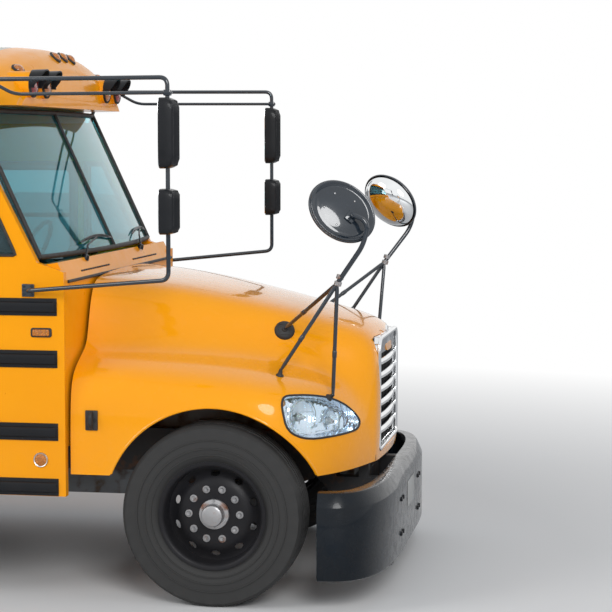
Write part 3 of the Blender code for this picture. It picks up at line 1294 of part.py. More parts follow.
def entry_door():
    """Two leaves that open outward, one on each edge of the doorway, on pins above and below."""
    low = LOW_STEP_Z + RUN_GAP
    high = DOOR_TOP_Z - RUN_GAP
    middle = (DOOR_FRONT_X + DOOR_REAR_X) / 2
    outer = -SIDE
    inner = -SIDE + DOOR_LEAF
    table = (("door_front", middle + RUN_GAP / 2, DOOR_FRONT_X - RUN_GAP, DOOR_FRONT_X - RUN_GAP - HINGE_PIN),
             ("door_rear", DOOR_REAR_X + RUN_GAP, middle - RUN_GAP / 2, DOOR_REAR_X + RUN_GAP + HINGE_PIN))
    for name, rear_x, front_x, pin_x in table:
        pin_y = outer + HINGE_PIN
        marker = pivot(name, (pin_x, pin_y, low))
        panel = leaf(name, (rear_x, outer, low), (front_x, inner, high), 0, 2 * WALL, low + 5 * WALL)
        for base, top in ((LOW_STEP_Z + SEAT_GAP, low + OVERRUN), (high - OVERRUN, DOOR_TOP_Z - SEAT_GAP)):
            fuse(panel, cylinder(name + "_pin", (pin_x, pin_y, base), (pin_x, pin_y, top), HINGE_PIN, 10))
        hang(panel, marker)
        paint(panel, BLACK, 0.3)


def emergency_door():
    half = ESCAPE_WIDTH / 2 - RUN_GAP
    low = FLOOR_Z + RUN_GAP
    high = ESCAPE_TOP_Z - RUN_GAP
    pin_y = -half + HINGE_PIN
    pin_x = BODY_REAR + HINGE_PIN
    marker = pivot("emergency_door", (pin_x, pin_y, low))
    panel = leaf("emergency_door", (BODY_REAR, -half, low), (BODY_REAR + ESCAPE_LEAF, half, high), 1, 2 * WALL,
                 WINDOW_LOW_Z - 2 * WALL)
    for base, top in ((FLOOR_Z + SEAT_GAP, low + OVERRUN), (high - OVERRUN, ESCAPE_TOP_Z - SEAT_GAP)):
        fuse(panel, cylinder("escape_pin", (pin_x, pin_y, base), (pin_x, pin_y, top), HINGE_PIN, 10))
    hang(panel, marker)
    paint(panel, YELLOW, 0.25)


def stop_arm():
    """Octagon folded against the left wall, hinged between two lugs at its front edge."""
    pin_x = COWL_X - STOP_TO_COWL
    pin_y = SIDE + STOP_OFFSET
    marker = pivot("stop_arm", (pin_x, pin_y, STOP_Z))
    middle = (pin_x - STOP_RADIUS - STOP_LUG, STOP_Z)
    outline = circle(middle, STOP_RADIUS / cos(pi / 8), 8, pi / 8)
    sign = plate("stop_arm", outline, pin_y - STOP_PLATE / 2, pin_y + STOP_PLATE / 2, "side")
    arm = box("stop_bar", (middle[0], pin_y - STOP_PLATE / 2, STOP_Z - 2 * STOP_LUG),
              (pin_x + STOP_PLATE / 2, pin_y + STOP_PLATE / 2, STOP_Z + 2 * STOP_LUG))
    fuse(sign, arm)
    hang(sign, marker)
    paint(sign, (0.7, 0.02, 0.02), 0.4)


def roof_hatches():
    for number, back in enumerate(HATCH_BACKS, 1):
        x = FRONT - back
        half = HATCH / 2
        base = HATCH_CURB_Z + SEAT_GAP
        name = "hatch_" + ("front" if number == 1 else "rear")
        marker = pivot(name, (x + half, 0, base))
        lid = box(name, (x - half, -half, base), (x + half, half, base + HATCH_LID))
        hang(lid, marker)
        paint(lid, (0.85, 0.85, 0.82), 0.4)


# Hood. The cage is one half, from the bottom lip (row 0) over the nose and back to the cowl (last row).
# Each column is a line along the hood: (back, side, up) as shares of the hood's length, half width and rise.

HOOD_CAGE_SHARES = (
    ((-0.008, 0.0, -0.02), (-0.016, 0.0, 0.23), (-0.010, 0.0, 0.50), (0.006, 0.0, 0.700), (0.130, 0.0, 0.765),
     (0.420, 0.0, 0.875), (0.750, 0.0, 0.970), (1.0, 0.0, 1.000)),
    ((0.004, 0.335, -0.02), (-0.003, 0.335, 0.23), (0.000, 0.335, 0.50), (0.014, 0.330, 0.680), (0.135, 0.330, 0.745),
     (0.420, 0.360, 0.855), (0.750, 0.410, 0.960), (1.0, 0.470, 0.990)),
    ((0.012, 0.395, -0.02), (0.006, 0.395, 0.23), (0.009, 0.400, 0.46), (0.030, 0.405, 0.610), (0.140, 0.425, 0.690),
     (0.420, 0.465, 0.800), (0.750, 0.530, 0.910), (1.0, 0.610, 0.955)),
    ((0.020, 0.425, -0.02), (0.020, 0.435, 0.18), (0.040, 0.445, 0.38), (0.090, 0.460, 0.500), (0.190, 0.475, 0.590),
     (0.440, 0.515, 0.700), (0.760, 0.590, 0.780), (1.0, 0.670, 0.820)),
    ((0.030, 0.480, -0.02), (0.032, 0.490, 0.17), (0.062, 0.505, 0.35), (0.130, 0.525, 0.450), (0.250, 0.550, 0.525),
     (0.470, 0.590, 0.600), (0.770, 0.650, 0.655), (1.0, 0.710, 0.680)),
    ((0.085, 0.720, -0.02), (0.088, 0.720, 0.19), (0.115, 0.720, 0.37), (0.165, 0.715, 0.455), (0.275, 0.715, 0.505),
     (0.500, 0.720, 0.565), (0.780, 0.730, 0.600), (1.0, 0.750, 0.615)),
    ((0.215, 0.955, -0.02), (0.220, 0.955, 0.19), (0.245, 0.955, 0.36), (0.290, 0.955, 0.435), (0.370, 0.955, 0.470),
     (0.560, 0.955, 0.510), (0.800, 0.955, 0.530), (1.0, 0.955, 0.535)),
    ((0.330, 1.0, -0.02), (0.340, 1.0, 0.14), (0.370, 1.0, 0.26), (0.415, 1.0, 0.320), (0.480, 1.0, 0.345),
     (0.630, 1.0, 0.370), (0.830, 1.0, 0.380), (1.0, 1.0, 0.380)),
    ((0.370, 1.0, -0.02), (0.390, 1.0, -0.02), (0.420, 1.0, -0.02), (0.460, 1.0, -0.02), (0.520, 1.0, -0.02),
     (0.660, 1.0, -0.02), (0.840, 1.0, -0.02), (1.0, 1.0, -0.02)),
)


def hood_skin(name, levels):
    """The hood's outer surface as a subdivided cage."""
    shape = bmesh.new()
    columns = []
    for line in HOOD_CAGE_SHARES:
        columns.append([shape.verts.new((NOSE_X - back * HOOD_LENGTH, side * HOOD_HALF, HOOD_LIP_Z + up * HOOD_RISE))
                        for back, side, up in line])
    for first, second in zip(columns, columns[1:]):
        for (a, b), (c, d) in zip(zip(first, first[1:]), zip(second, second[1:])):
            shape.faces.new((a, c, d, b))
    skin = new_piece(name, shape)
    halves = skin.modifiers.new("halves", "MIRROR")
    halves.use_axis = (False, True, False)
    halves.merge_threshold = WELD
    smooth = skin.modifiers.new("smooth", "SUBSURF")
    smooth.levels = levels
    smooth.render_levels = levels
    smooth.boundary_smooth = "PRESERVE_CORNERS"
    return skin


def thicken(skin, thickness):
    thick = skin.modifiers.new("thick", "SOLIDIFY")
    thick.thickness = thickness
    thick.offset = -1
    thick.use_even_offset = False
    return skin


def lamp_outline(grow=0.0):
    """Teardrop outline of the headlamp seen square on: across from the tip (-1) outward, and up."""
    shares = ((-1.0, -0.55), (-0.96, -0.80), (-0.80, -0.97), (0.74, -1.0), (0.80, 1.0), (0.25, 0.96), (-0.25, 0.72),
              (-0.62, 0.30), (-0.86, -0.15))
    return [(u * (LAMP_HALF_WIDTH + grow), v * (LAMP_HALF_HEIGHT + grow)) for u, v in shares]


def lamp_prism(name, side, grow, reach):
    """A prism of the lamp's outline, pointing along the lamp's own facing direction."""
    turn = radians(LAMP_TURN) * side
    middle = Vector((NOSE_X - HOOD_LENGTH * LAMP_BACK_SHARE, side * HOOD_HALF * LAMP_SIDE_SHARE, LAMP_MIDDLE_Z))
    curve = bpy.data.curves.new(name, "CURVE")
    curve.dimensions = "2D"
    curve.fill_mode = "BOTH"
    curve.extrude = reach
    run = curve.splines.new("POLY")
    outline = lamp_outline(grow)
    run.points.add(len(outline) - 1)
    for point, (u, v) in zip(run.points, outline):
        point.co = (u * side, v, 0, 1)
    run.use_cyclic_u = True
    across = PLANES["front"]
    place = Matrix.Translation(middle) @ Matrix.Rotation(turn, 4, "Z") @ across
    return solid_from_curve(curve, place)


def hood():
    """Tilting hood with its fenders, open below, behind, at the grille, the lamps and the wheel arches."""
    marker = pivot("hood", (HINGE_X, 0, HINGE_Z))
    shell = thicken(hood_skin("hood", 1), HOOD_SKIN)
    freeze(shell)
    surface = BVHTree.FromPolygons([corner.co.copy() for corner in shell.data.vertices],
                                   [tuple(face.vertices) for face in shell.data.polygons])
    cut(shell, box("hood_trim_low", (COWL_X - OVERRUN, -2 * HOOD_HALF, HOOD_LIP_Z - HOOD_RISE),
                   (FRONT, 2 * HOOD_HALF, HOOD_LIP_Z)))
    cut(shell, plate("hood_arch", circle((FRONT_AXLE_X, TYRE_RADIUS), ARCH_RADIUS, 28), -2 * HOOD_HALF, 2 * HOOD_HALF,
                     "side"))
    mouth = plate("mouth", grille_outline(0.0), NOSE_X - 4 * GRILLE_DEPTH, FRONT, "front")
    cut(shell, mouth)
    for side in (1, -1):
        cut(shell, lamp_prism("lamp_hole", side, 0.0, LAMP_REACH))
        near = side * (RAIL_SIDE + SEAT_GAP)
        far = side * (RAIL_SIDE + SEAT_GAP + HINGE_LUG)
        lug = box("hood_lug", (HINGE_X - HINGE_EYE, min(near, far), HOOD_LIP_Z),
                  (NOSE_X - HOOD_SKIN, max(near, far), HINGE_Z + HINGE_EYE))
        fuse(shell, lug)
    hang(shell, marker)
    paint(shell, YELLOW, 0.22)
    return marker, surface


def grille_outline(inside):
    """Front outline of the grille, with round top corners, moved inward by a gap."""
    half = GRILLE_HALF - inside
    low = GRILLE_LOW_Z + inside
    high = GRILLE_HIGH_Z - inside
    middle = (half - GRILLE_CORNER, high - GRILLE_CORNER)
    corner = circle(middle, GRILLE_CORNER, 4, 0.0, pi / 2)
    return [(half, low)] + corner + [(-y, z) for y, z in reversed(corner)] + [(-half, low)]


def grille(marker):
    """Frame with a solid header and a stack of slats."""
    depth = GRILLE_DEPTH
    back_x = NOSE_X - HOOD_SKIN - depth
    half = GRILLE_HALF - 2 * SEAT_GAP
    low = GRILLE_LOW_Z + 2 * SEAT_GAP
    high = GRILLE_HIGH_Z - 2 * SEAT_GAP
    frame = plate("grille", grille_outline(2 * SEAT_GAP), back_x, NOSE_X - SEAT_GAP, "front")
    slot_low = low + GRILLE_FRAME
    slot_high = high - GRILLE_HEADER
    pitch = (slot_high - slot_low) / GRILLE_SLATS
    gap = pitch * (1 - SLAT_SHARE)
    slot_half = half - GRILLE_FRAME
    slot = box("grille_slot", (back_x - OVERRUN, -slot_half, slot_low),
               (NOSE_X + OVERRUN, slot_half, slot_low + gap))
    stack = slot.modifiers.new("stack", "ARRAY")
    stack.count = GRILLE_SLATS
    stack.use_relative_offset = False
    stack.use_constant_offset = True
    stack.constant_offset_displace = (0, 0, pitch)
    cut(frame, slot)
    hang(frame, marker)
    paint(frame, (0.6, 0.62, 0.65), 0.15, 1.0)


def headlamps(marker):
    """Each lamp is the piece of a thicker hood skin that lies inside its opening."""
    for label, side in (("left", 1), ("right", -1)):
        lamp = thicken(hood_skin("headlamp_" + label, 1), LAMP_DEPTH)
        freeze(lamp)
        combine(lamp, lamp_prism("lamp_form", side, -LAMP_FIT, LAMP_REACH), "INTERSECT")
        hang(lamp, marker)
        paint(lamp, (0.7, 0.75, 0.8), 0.08, 0.2)


def mirror_profile():
    """Dome, rolled rim and dished back, as a round shape of the mirror's long radius."""
    steps = 4
    dome = [(MIRROR_LONG * sin(pi / 2 * step / steps), MIRROR_DOME * cos(pi / 2 * step / steps))
            for step in range(steps + 1)]
    edge = MIRROR_LONG + MIRROR_RIM / 3
    return dome + [(edge, 0), (edge, -MIRROR_RIM / 2), (MIRROR_LONG * MIRROR_BACK_SHARE, -MIRROR_RIM), (0, -MIRROR_RIM)]


def head_turn(facing):
    """Turns a mirror's dome to its facing, with its long way level but for the roll."""
    roll = radians(MIRROR_ROLL)
    ahead = Vector((cos(roll), 0, -sin(roll)))
    long_way = (ahead - facing * ahead.dot(facing)).normalized()
    short_way = long_way.cross(facing)
    return Matrix((short_way, long_way, facing)).transposed().to_4x4()


def foot_rays(side):
    """Where each foot's ray starts and how it runs: two come down on the fender, one comes in on the hood's wall."""
    rays = []
    for back, across in (FOOT_FRONT_SHARES, FOOT_REAR_SHARES):
        start = Vector((NOSE_X - HOOD_LENGTH * back, side * HOOD_HALF * across, ROOF_Z))
        rays.append((start, Vector((0, 0, -1)), FOOT_RADIUS))
    back, up = FOOT_WALL_SHARES
    start = Vector((NOSE_X - HOOD_LENGTH * back, side * HOOD_HALF, HOOD_LIP_Z + HOOD_RISE * up))
    rays.append((start, Vector((0, -side, 0)), BIG_FOOT_RADIUS))
    return rays


def crossview_mirrors(marker, surface):
    """Domed oval mirror on a bent arm, with a tripod of tubes down to the hood."""
    for label, side in (("left", 1), ("right", -1)):
        def spot(back, y, z):
            return Vector((FRONT - back, side * y, z))
        centre = spot(MIRROR_BACK, MIRROR_SIDE, MIRROR_Z)
        joint = spot(JOINT_BACK, JOINT_SIDE, JOINT_Z)
        back, inward, down = MIRROR_FACING_SHARES
        facing = Vector((back, side * inward, down)).normalized()
        turn = head_turn(facing)
        dome = turned("crossview_" + label, mirror_profile(), Matrix.Identity(4))
        freeze(dome)
        stretch = Matrix.Diagonal((MIRROR_SHORT / MIRROR_LONG, 1.0, 1.0, 1.0))
        dome.data.transform(Matrix.Translation(centre) @ turn @ stretch)
        behind = centre - facing * MIRROR_RIM / 2
        clamp = behind - facing * CLAMP_REACH
        elbow = Vector(((clamp.x + joint.x) / 2 + MIRROR_DOME, clamp.y, (MIRROR_Z + 2 * JOINT_Z) / 3))
        arm = tube("mirror_arm", rounded([behind, clamp, elbow, joint], 2 * MIRROR_RIM), ARM_RADIUS)
        pieces = [arm]
        for start, aim, radius in foot_rays(side):
            seat, normal, *rest = surface.ray_cast(start, aim)
            base = seat + normal * 2 * SEAT_GAP
            top = base + normal * FOOT_THICK
            pieces.append(cylinder("foot", base, top, radius, 12, radius * FOOT_TAPER_SHARE))
            pieces.append(tube("strut", [joint, top - normal * FOOT_THICK / 2], STRUT_RADIUS, 1))
        fuse(dome, *pieces)
        hang(dome, marker)
        paint(dome, BLACK, 0.2)


def rear_view_mirrors():
    """A tall flat head over a smaller one, on two tube arms from the body's front corner."""
    for label, side in (("left", 1), ("right", -1)):
        x = FRONT - HEAD_BACK
        y = side * (SIDE + HEAD_OUT)
        half = HEAD_WIDTH / 2
        head = box("side_mirror_" + label, (x, y - half, HEAD_Z - HEAD_HEIGHT / 2),
                   (x + HEAD_DEPTH, y + half, HEAD_Z + HEAD_HEIGHT / 2))
        soften(head, HEAD_TUBE)
        freeze(head)
        lower = box("spot_mirror", (x, y - half, SPOT_Z - SPOT_HEIGHT / 2),
                    (x + HEAD_DEPTH, y + half, SPOT_Z + SPOT_HEIGHT / 2))
        tube_x = x + HEAD_DEPTH / 2
        top_z = HEAD_Z + HEAD_HEIGHT / 2 + ARM_RISE
        low_z = SCREEN_BASE_Z - ARM_DROP
        wall_y = side * (SIDE + SEAT_GAP)
        root_top = (SCREEN_TOP_X - WALL, wall_y, EAVE_Z - WALL)
        root_low = (SCREEN_BASE_X - WALL, wall_y, SCREEN_BASE_Z - 3 * WALL)
        bend = side * (SIDE + 3 * HEAD_TUBE)
        route = [root_top, (SCREEN_TOP_X - WALL, bend, EAVE_Z - WALL), (SCREEN_TOP_X + WALL, bend, top_z),
                 (tube_x, y, top_z), (tube_x, y, low_z),
                 (SCREEN_BASE_X - WALL, bend, SCREEN_BASE_Z - 3 * WALL), root_low]
        arm = tube("mirror_frame", rounded(route, 2 * HEAD_TUBE), HEAD_TUBE)
        fuse(head, lower, arm)
        paint(head, BLACK, 0.35)


def build():
    frame_rails()
    front_axle()
    rear_axle()
    drive_shaft()
    engine_block()
    radiator()
    fuel_tank()
    exhaust()
    for label, side in (("left", 1), ("right", -1)):
        front_wheel(label, side, knuckle(label, side))
        rear_wheels(label, side)
    floor()
    left_wall()
    right_wall()
    rear_wall()
    roof()
    front_cap()
    windshield()
    cowl()
    side_glass("left", 1, DOOR_FRONT_X)
    side_glass("right", -1, last_window_front(WINDOWS_RIGHT))
    seats("left", 1)
    seats("right", -1)
    driver_seat()
    steering_wheel()
    front_bumper()
    rear_bumper()
    entry_door()
    emergency_door()
    stop_arm()
    roof_hatches()
    marker, surface = hood()
    grille(marker)
    headlamps(marker)
    crossview_mirrors(marker, surface)
    rear_view_mirrors()


build()
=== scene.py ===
# %% [markdown]
# A long-nosed school bus, dressed for its portrait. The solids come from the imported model. This notebook adds
# the finishes and the small forms: paint, chrome, glass, rubber, seams, rivets and tread.

from math import asin, cos, pi, radians, sin, sqrt

import bmesh
import bpy
from mathutils import Matrix, Vector
from mathutils.bvhtree import BVHTree


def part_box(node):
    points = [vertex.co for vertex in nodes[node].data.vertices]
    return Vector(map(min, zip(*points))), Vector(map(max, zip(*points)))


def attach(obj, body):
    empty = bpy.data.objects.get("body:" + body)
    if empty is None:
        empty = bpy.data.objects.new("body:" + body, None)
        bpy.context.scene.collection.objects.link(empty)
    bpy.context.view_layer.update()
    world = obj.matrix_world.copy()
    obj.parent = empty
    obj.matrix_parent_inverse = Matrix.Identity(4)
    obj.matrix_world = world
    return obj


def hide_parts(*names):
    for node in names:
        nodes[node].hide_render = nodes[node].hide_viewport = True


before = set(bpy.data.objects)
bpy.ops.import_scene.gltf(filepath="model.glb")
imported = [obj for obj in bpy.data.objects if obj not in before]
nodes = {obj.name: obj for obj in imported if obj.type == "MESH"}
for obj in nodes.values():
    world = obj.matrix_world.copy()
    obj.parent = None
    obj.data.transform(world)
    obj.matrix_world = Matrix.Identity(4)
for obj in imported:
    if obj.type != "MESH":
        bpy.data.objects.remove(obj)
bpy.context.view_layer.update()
print("CAD nodes:", len(nodes))

# %% [markdown]
# The picture was taken with a long lens from ahead of the bus and to its right, a little above its hood. A
# long lens flattens the row of slats and lamps, so the lens matters as much as the place. Its angle is solved
# from the grille, the lamp and the mirrors, which lie at known depths.

# %% Camera
PHOTO_PIXELS = 612
FOCAL_PIXELS = 1900.0
SENSOR = 36.0
CAMERA_PLACE = (6.927, -11.107, 2.519)
CAMERA_TURN = radians(10.0)
CAMERA_DIP = radians(4.85)

camera_data = bpy.data.cameras.new("camera")
camera_data.sensor_width = SENSOR
camera_data.lens = FOCAL_PIXELS / PHOTO_PIXELS * SENSOR
camera = bpy.data.objects.new("camera", camera_data)
camera.location = CAMERA_PLACE
camera.rotation_euler = (pi / 2 - CAMERA_DIP, 0, CAMERA_TURN)
bpy.context.scene.collection.objects.link(camera)
bpy.context.scene.camera = camera
print("lens in millimetres:", round(camera_data.lens, 1))

# %% [markdown]
# Soft studio light. The world is white to the camera and to reflections, and a gentler grey to matt surfaces,
# so that paint renders about as it is written. A wide lamp ahead and a wider one behind give the form its
# shade.

# %% Light
scene = bpy.context.scene
scene.view_settings.view_transform = "Standard"


def studio_lamp(name, place, aim, size, watts):
    data = bpy.data.lights.new(name, "AREA")
    data.shape = "DISK"
    data.size = size
    data.energy = watts
    lamp = bpy.data.objects.new(name, data)
    lamp.location = place
    lamp.rotation_euler = (Vector(aim) - Vector(place)).to_track_quat("-Z", "Y").to_euler()
    scene.collection.objects.link(lamp)

# %% Studio world
def feed(node, **values):
    """Sets a node's sockets to plain values, or links them to the results of earlier nodes."""
    for label, value in values.items():
        socket = node.inputs[label.replace("_", " ")]
        if isinstance(value, bpy.types.NodeSocket):
            node.id_data.links.new(value, socket)
        else:
            socket.default_value = (*value, 1.0) if socket.type == "RGBA" else value
    return node


def add_node(tree, kind, **values):
    return feed(tree.nodes.new("ShaderNode" + kind), **values)


def mixed(tree, mask, first, second):
    """Two shaders mixed by a mask."""
    mix = add_node(tree, "MixShader")
    for socket, value in zip(mix.inputs, (mask, first, second)):
        tree.links.new(value, socket)
    return mix.outputs[0]


world = bpy.data.worlds.new("studio")
world.use_nodes = True
tree = world.node_tree
tree.nodes.clear()
seen = add_node(tree, "Background", Color=(1, 1, 1), Strength=1.0)
light = add_node(tree, "Background", Color=(0.93, 0.96, 1.0), Strength=0.5)
rays = add_node(tree, "LightPath").outputs
mask = rays["Is Camera Ray"]
for kind in ("Is Glossy Ray", "Is Transmission Ray"):
    either = add_node(tree, "Math")
    either.operation = "MAXIMUM"
    tree.links.new(mask, either.inputs[0])
    tree.links.new(rays[kind], either.inputs[1])
    mask = either.outputs[0]
add_node(tree, "OutputWorld", Surface=mixed(tree, mask, light.outputs[0], seen.outputs[0]))
scene.world = world

studio_lamp("key", (10.0, -13.0, 8.0), (3.5, 0, 1.0), 6.0, 1000)
studio_lamp("fill", (-8.0, -10.0, 9.0), (-2.0, 0, 1.0), 8.0, 640)

# %% [markdown]
# A finish here is a small tree of nodes. Noise in the object's own coordinates gives patches, grain and dust,
# a map range turns noise into a mask, and a bump turns it into relief. Helpers keep each finish down to the
# few numbers that make it what it is. Every piece has its origin at the bus's origin, so height is simply Z.

# %% Parts of a finish
def new_finish(name):
    made = bpy.data.materials.new(name)
    made.use_nodes = True
    return made.node_tree, made.node_tree.nodes["Principled BSDF"]


def spot(tree, stretch=(1, 1, 1)):
    """A point of the surface in the object's own metres, stretched along the axes."""
    place = add_node(tree, "TexCoord").outputs["Object"]
    return add_node(tree, "Mapping", Scale=stretch, Vector=place).outputs["Vector"]


def grain(tree, scale, detail=3.0, stretch=(1, 1, 1)):
    return add_node(tree, "TexNoise", Scale=scale, Detail=detail, Vector=spot(tree, stretch)).outputs["Fac"]


def cells(tree, scale):
    return add_node(tree, "TexVoronoi", Scale=scale, Vector=spot(tree)).outputs["Distance"]


def bands(tree, scale, axis):
    wave = add_node(tree, "TexWave", Scale=scale, Vector=spot(tree))
    wave.bands_direction = axis
    return wave.outputs["Fac"]


def height(tree):
    return add_node(tree, "SeparateXYZ", Vector=spot(tree)).outputs["Z"]


def ramp(tree, value, low, high, to_low=0.0, to_high=1.0):
    """Maps a value between two limits on to another pair, and holds it there."""
    return add_node(tree, "MapRange", Value=value, From_Min=low, From_Max=high, To_Min=to_low,
                    To_Max=to_high).outputs["Result"]


def noise_mask(tree, scale, detail, *limits):
    """Noise turned into a mask, or into a value between two others."""
    return ramp(tree, grain(tree, scale, detail), *limits)


def times(tree, first, second, operation="MULTIPLY"):
    sum_node = add_node(tree, "Math")
    sum_node.operation = operation
    for socket, value in zip(sum_node.inputs, (first, second)):
        if isinstance(value, (int, float)):
            socket.default_value = value
        else:
            tree.links.new(value, socket)
    return sum_node.outputs[0]


def tint(tree, mask, first, second):
    """Two colours, or the results of two earlier steps, mixed by a mask."""
    mix = add_node(tree, "Mix")
    mix.data_type = "RGBA"
    tree.links.new(mask, mix.inputs[0])
    for socket, value in ((mix.inputs[6], first), (mix.inputs[7], second)):
        if isinstance(value, tuple):
            socket.default_value = (*value, 1.0)
        else:
            tree.links.new(value, socket)
    return mix.outputs[2]


def relief(tree, shader, layers):
    """Bumps stacked one on another; each layer is a height, its strength and its depth in metres."""
    last = {}
    for value, strength, depth in layers:
        bump = add_node(tree, "Bump", Strength=strength, Distance=depth, Height=value, **last)
        last = {"Normal": bump.outputs["Normal"]}
    feed(shader, **last)

# %% [markdown]
# School-bus paint is a deep orange-yellow enamel under clear lacquer. Up close it has a faint orange peel,
# and after a few weeks on the road a film of dust gathers along the lower edges. A clear coat on the shader
# gives the sharp sky reflections on the hood's top, while the colour underneath stays matt and even.

# %% Paints
DUST = (0.4, 0.33, 0.24)


def enamel(name, color, shade, dust=0.22, roughness=0.3, coat=0.75):
    """Lacquered paint, shaded in broad patches, with dust that thins out upwards."""
    tree, shader = new_finish(name)
    patches = noise_mask(tree, 1.7, 4.0, 0.35, 0.7)
    base = tint(tree, patches, color, shade)
    reach = ramp(tree, height(tree), 0.35, 1.15, 1.0, 0.0)
    film = times(tree, reach, noise_mask(tree, 9.0, 6.0, 0.3, 0.75))
    film = times(tree, film, dust)
    specks = noise_mask(tree, 210.0, 2.0, 0.7, 0.78, 0.0, 0.25)
    film = times(tree, film, times(tree, specks, reach), "MAXIMUM")
    feed(shader, Base_Color=tint(tree, film, base, DUST))
    mottled = noise_mask(tree, 14.0, 5.0, 0.3, 0.7, roughness - 0.05, roughness + 0.07)
    rough = times(tree, mottled, times(tree, film, 0.5), "ADD")
    feed(shader, Roughness=rough)
    feed(shader, Coat_Weight=coat, Coat_Roughness=0.04, Coat_IOR=1.3, Specular_IOR_Level=0.1)
    relief(tree, shader, [(grain(tree, 420.0, 1.0), 0.06, 0.0006), (grain(tree, 3.0, 2.0), 0.1, 0.004)])
    return bpy.data.materials[name]


def powder_coat(name, color, roughness, chips=0.5, grain_depth=0.0004, coat=0.0, coat_ior=1.28):
    """Tough black coating with a fine texture, rubbed dull in places and chipped to grey."""
    tree, shader = new_finish(name)
    worn = noise_mask(tree, 60.0, 8.0, 0.8, 0.85, 0.0, chips)
    lift = tuple(1.4 * part + 0.001 for part in color)
    base = tint(tree, noise_mask(tree, 4.0, 5.0, 0.3, 0.75), color, lift)
    dusty = times(tree, ramp(tree, height(tree), 0.1, 1.2, 0.012, 0.002),
                  noise_mask(tree, 11.0, 6.0, 0.35, 0.7))
    base = tint(tree, dusty, base, DUST)
    feed(shader, Base_Color=tint(tree, worn, base, (0.16, 0.155, 0.15)))
    rough = noise_mask(tree, 17.0, 6.0, 0.3, 0.7, roughness - 0.07, roughness + 0.12)
    feed(shader, Roughness=rough)
    feed(shader, Coat_Weight=coat, Coat_Roughness=0.05, Coat_IOR=coat_ior, Specular_IOR_Level=0.16)
    relief(tree, shader, [(grain(tree, 520.0, 2.0), 0.25, grain_depth), (worn, -0.35, 0.0004)])
    return bpy.data.materials[name]


YELLOW = (0.97, 0.375, 0.002)
hood_yellow = enamel("hood_yellow", YELLOW, (0.95, 0.355, 0.002), dust=0.07, roughness=0.24, coat=1.0)
body_yellow = enamel("body_yellow", (0.96, 0.37, 0.003), (0.93, 0.345, 0.003), dust=0.06, roughness=0.32,
                     coat=0.45)
roof_white = enamel("roof_white", (0.76, 0.75, 0.71), (0.69, 0.68, 0.63), roughness=0.58, coat=0.05)
panel_grey = enamel("panel_grey", (0.42, 0.43, 0.43), (0.36, 0.37, 0.38), roughness=0.5, coat=0.1)
# gloss_black's colour is lifted and tinted blue above plain black: a painted reflection of the sky's sheen on
# the glossy coat.
gloss_black = powder_coat("gloss_black", (0.01, 0.017, 0.026), 0.2, 0.0, 0.00005, 1.0, 1.55)
satin_black = powder_coat("satin_black", (0.008, 0.009, 0.011), 0.38, 0.2, 0.0003, 0.3)
bumper_black = powder_coat("bumper_black", (0.002, 0.005, 0.009), 0.24, 0.08, 0.00004, 0.45)
wheel_black = powder_coat("wheel_black", (0.012, 0.012, 0.014), 0.38, 0.5)
print("paints:", len(bpy.data.materials))

# %% [markdown]
# Bright metal is chrome plate over steel or zinc. It is a mirror with very fine swirls from washing, so most
# of its look comes from what it reflects. Cast and rolled metal under the bus is dull, oily and rusty in
# patches.

# %% Metals
def bright_metal(name, color, roughness, swirl=0.08):
    tree, shader = new_finish(name)
    feed(shader, Base_Color=tint(tree, noise_mask(tree, 7.0, 5.0, 0.35, 0.75), color,
                                 tuple(0.86 * part for part in color)))
    wiped = grain(tree, 60.0, 4.0, (1, 1, 6))
    feed(shader, Roughness=ramp(tree, wiped, 0.3, 0.75, roughness, roughness + swirl))
    feed(shader, Metallic=1.0)
    relief(tree, shader, [(grain(tree, 90.0, 3.0, (1, 1, 8)), 0.04, 0.0003)])
    return bpy.data.materials[name]


def raw_metal(name, color, rust, amount, roughness, metallic=0.7):
    tree, shader = new_finish(name)
    scale = noise_mask(tree, 13.0, 8.0, 0.62 - amount * 0.3, 0.75 - amount * 0.2)
    base = tint(tree, noise_mask(tree, 5.0, 4.0, 0.3, 0.7), color, tuple(0.7 * part for part in color))
    feed(shader, Base_Color=tint(tree, scale, base, rust))
    feed(shader, Metallic=ramp(tree, scale, 0.0, 1.0, metallic, 0.05))
    feed(shader, Roughness=ramp(tree, scale, 0.0, 1.0, roughness, 0.88))
    relief(tree, shader, [(grain(tree, 160.0, 6.0), 0.25, 0.0008), (scale, 0.3, 0.0006)])
    return bpy.data.materials[name]


RUST = (0.2, 0.075, 0.03)
chrome = bright_metal("chrome", (0.86, 0.87, 0.88), 0.035)
mirror_glass = bright_metal("mirror_glass", (0.9, 0.92, 0.93), 0.008, 0.012)
window_alloy = bright_metal("window_alloy", (0.6, 0.61, 0.62), 0.3, 0.16)
steel_nut = raw_metal("steel_nut", (0.45, 0.45, 0.46), RUST, 0.25, 0.35)
chassis_steel = raw_metal("chassis_steel", (0.025, 0.025, 0.027), (0.11, 0.055, 0.03), 0.3, 0.55, 0.2)
engine_cast = raw_metal("engine_cast", (0.17, 0.18, 0.19), (0.09, 0.06, 0.04), 0.35, 0.55, 0.5)
pipe_steel = raw_metal("pipe_steel", (0.3, 0.27, 0.24), RUST, 0.55, 0.5)
print("metals:", len(bpy.data.materials))
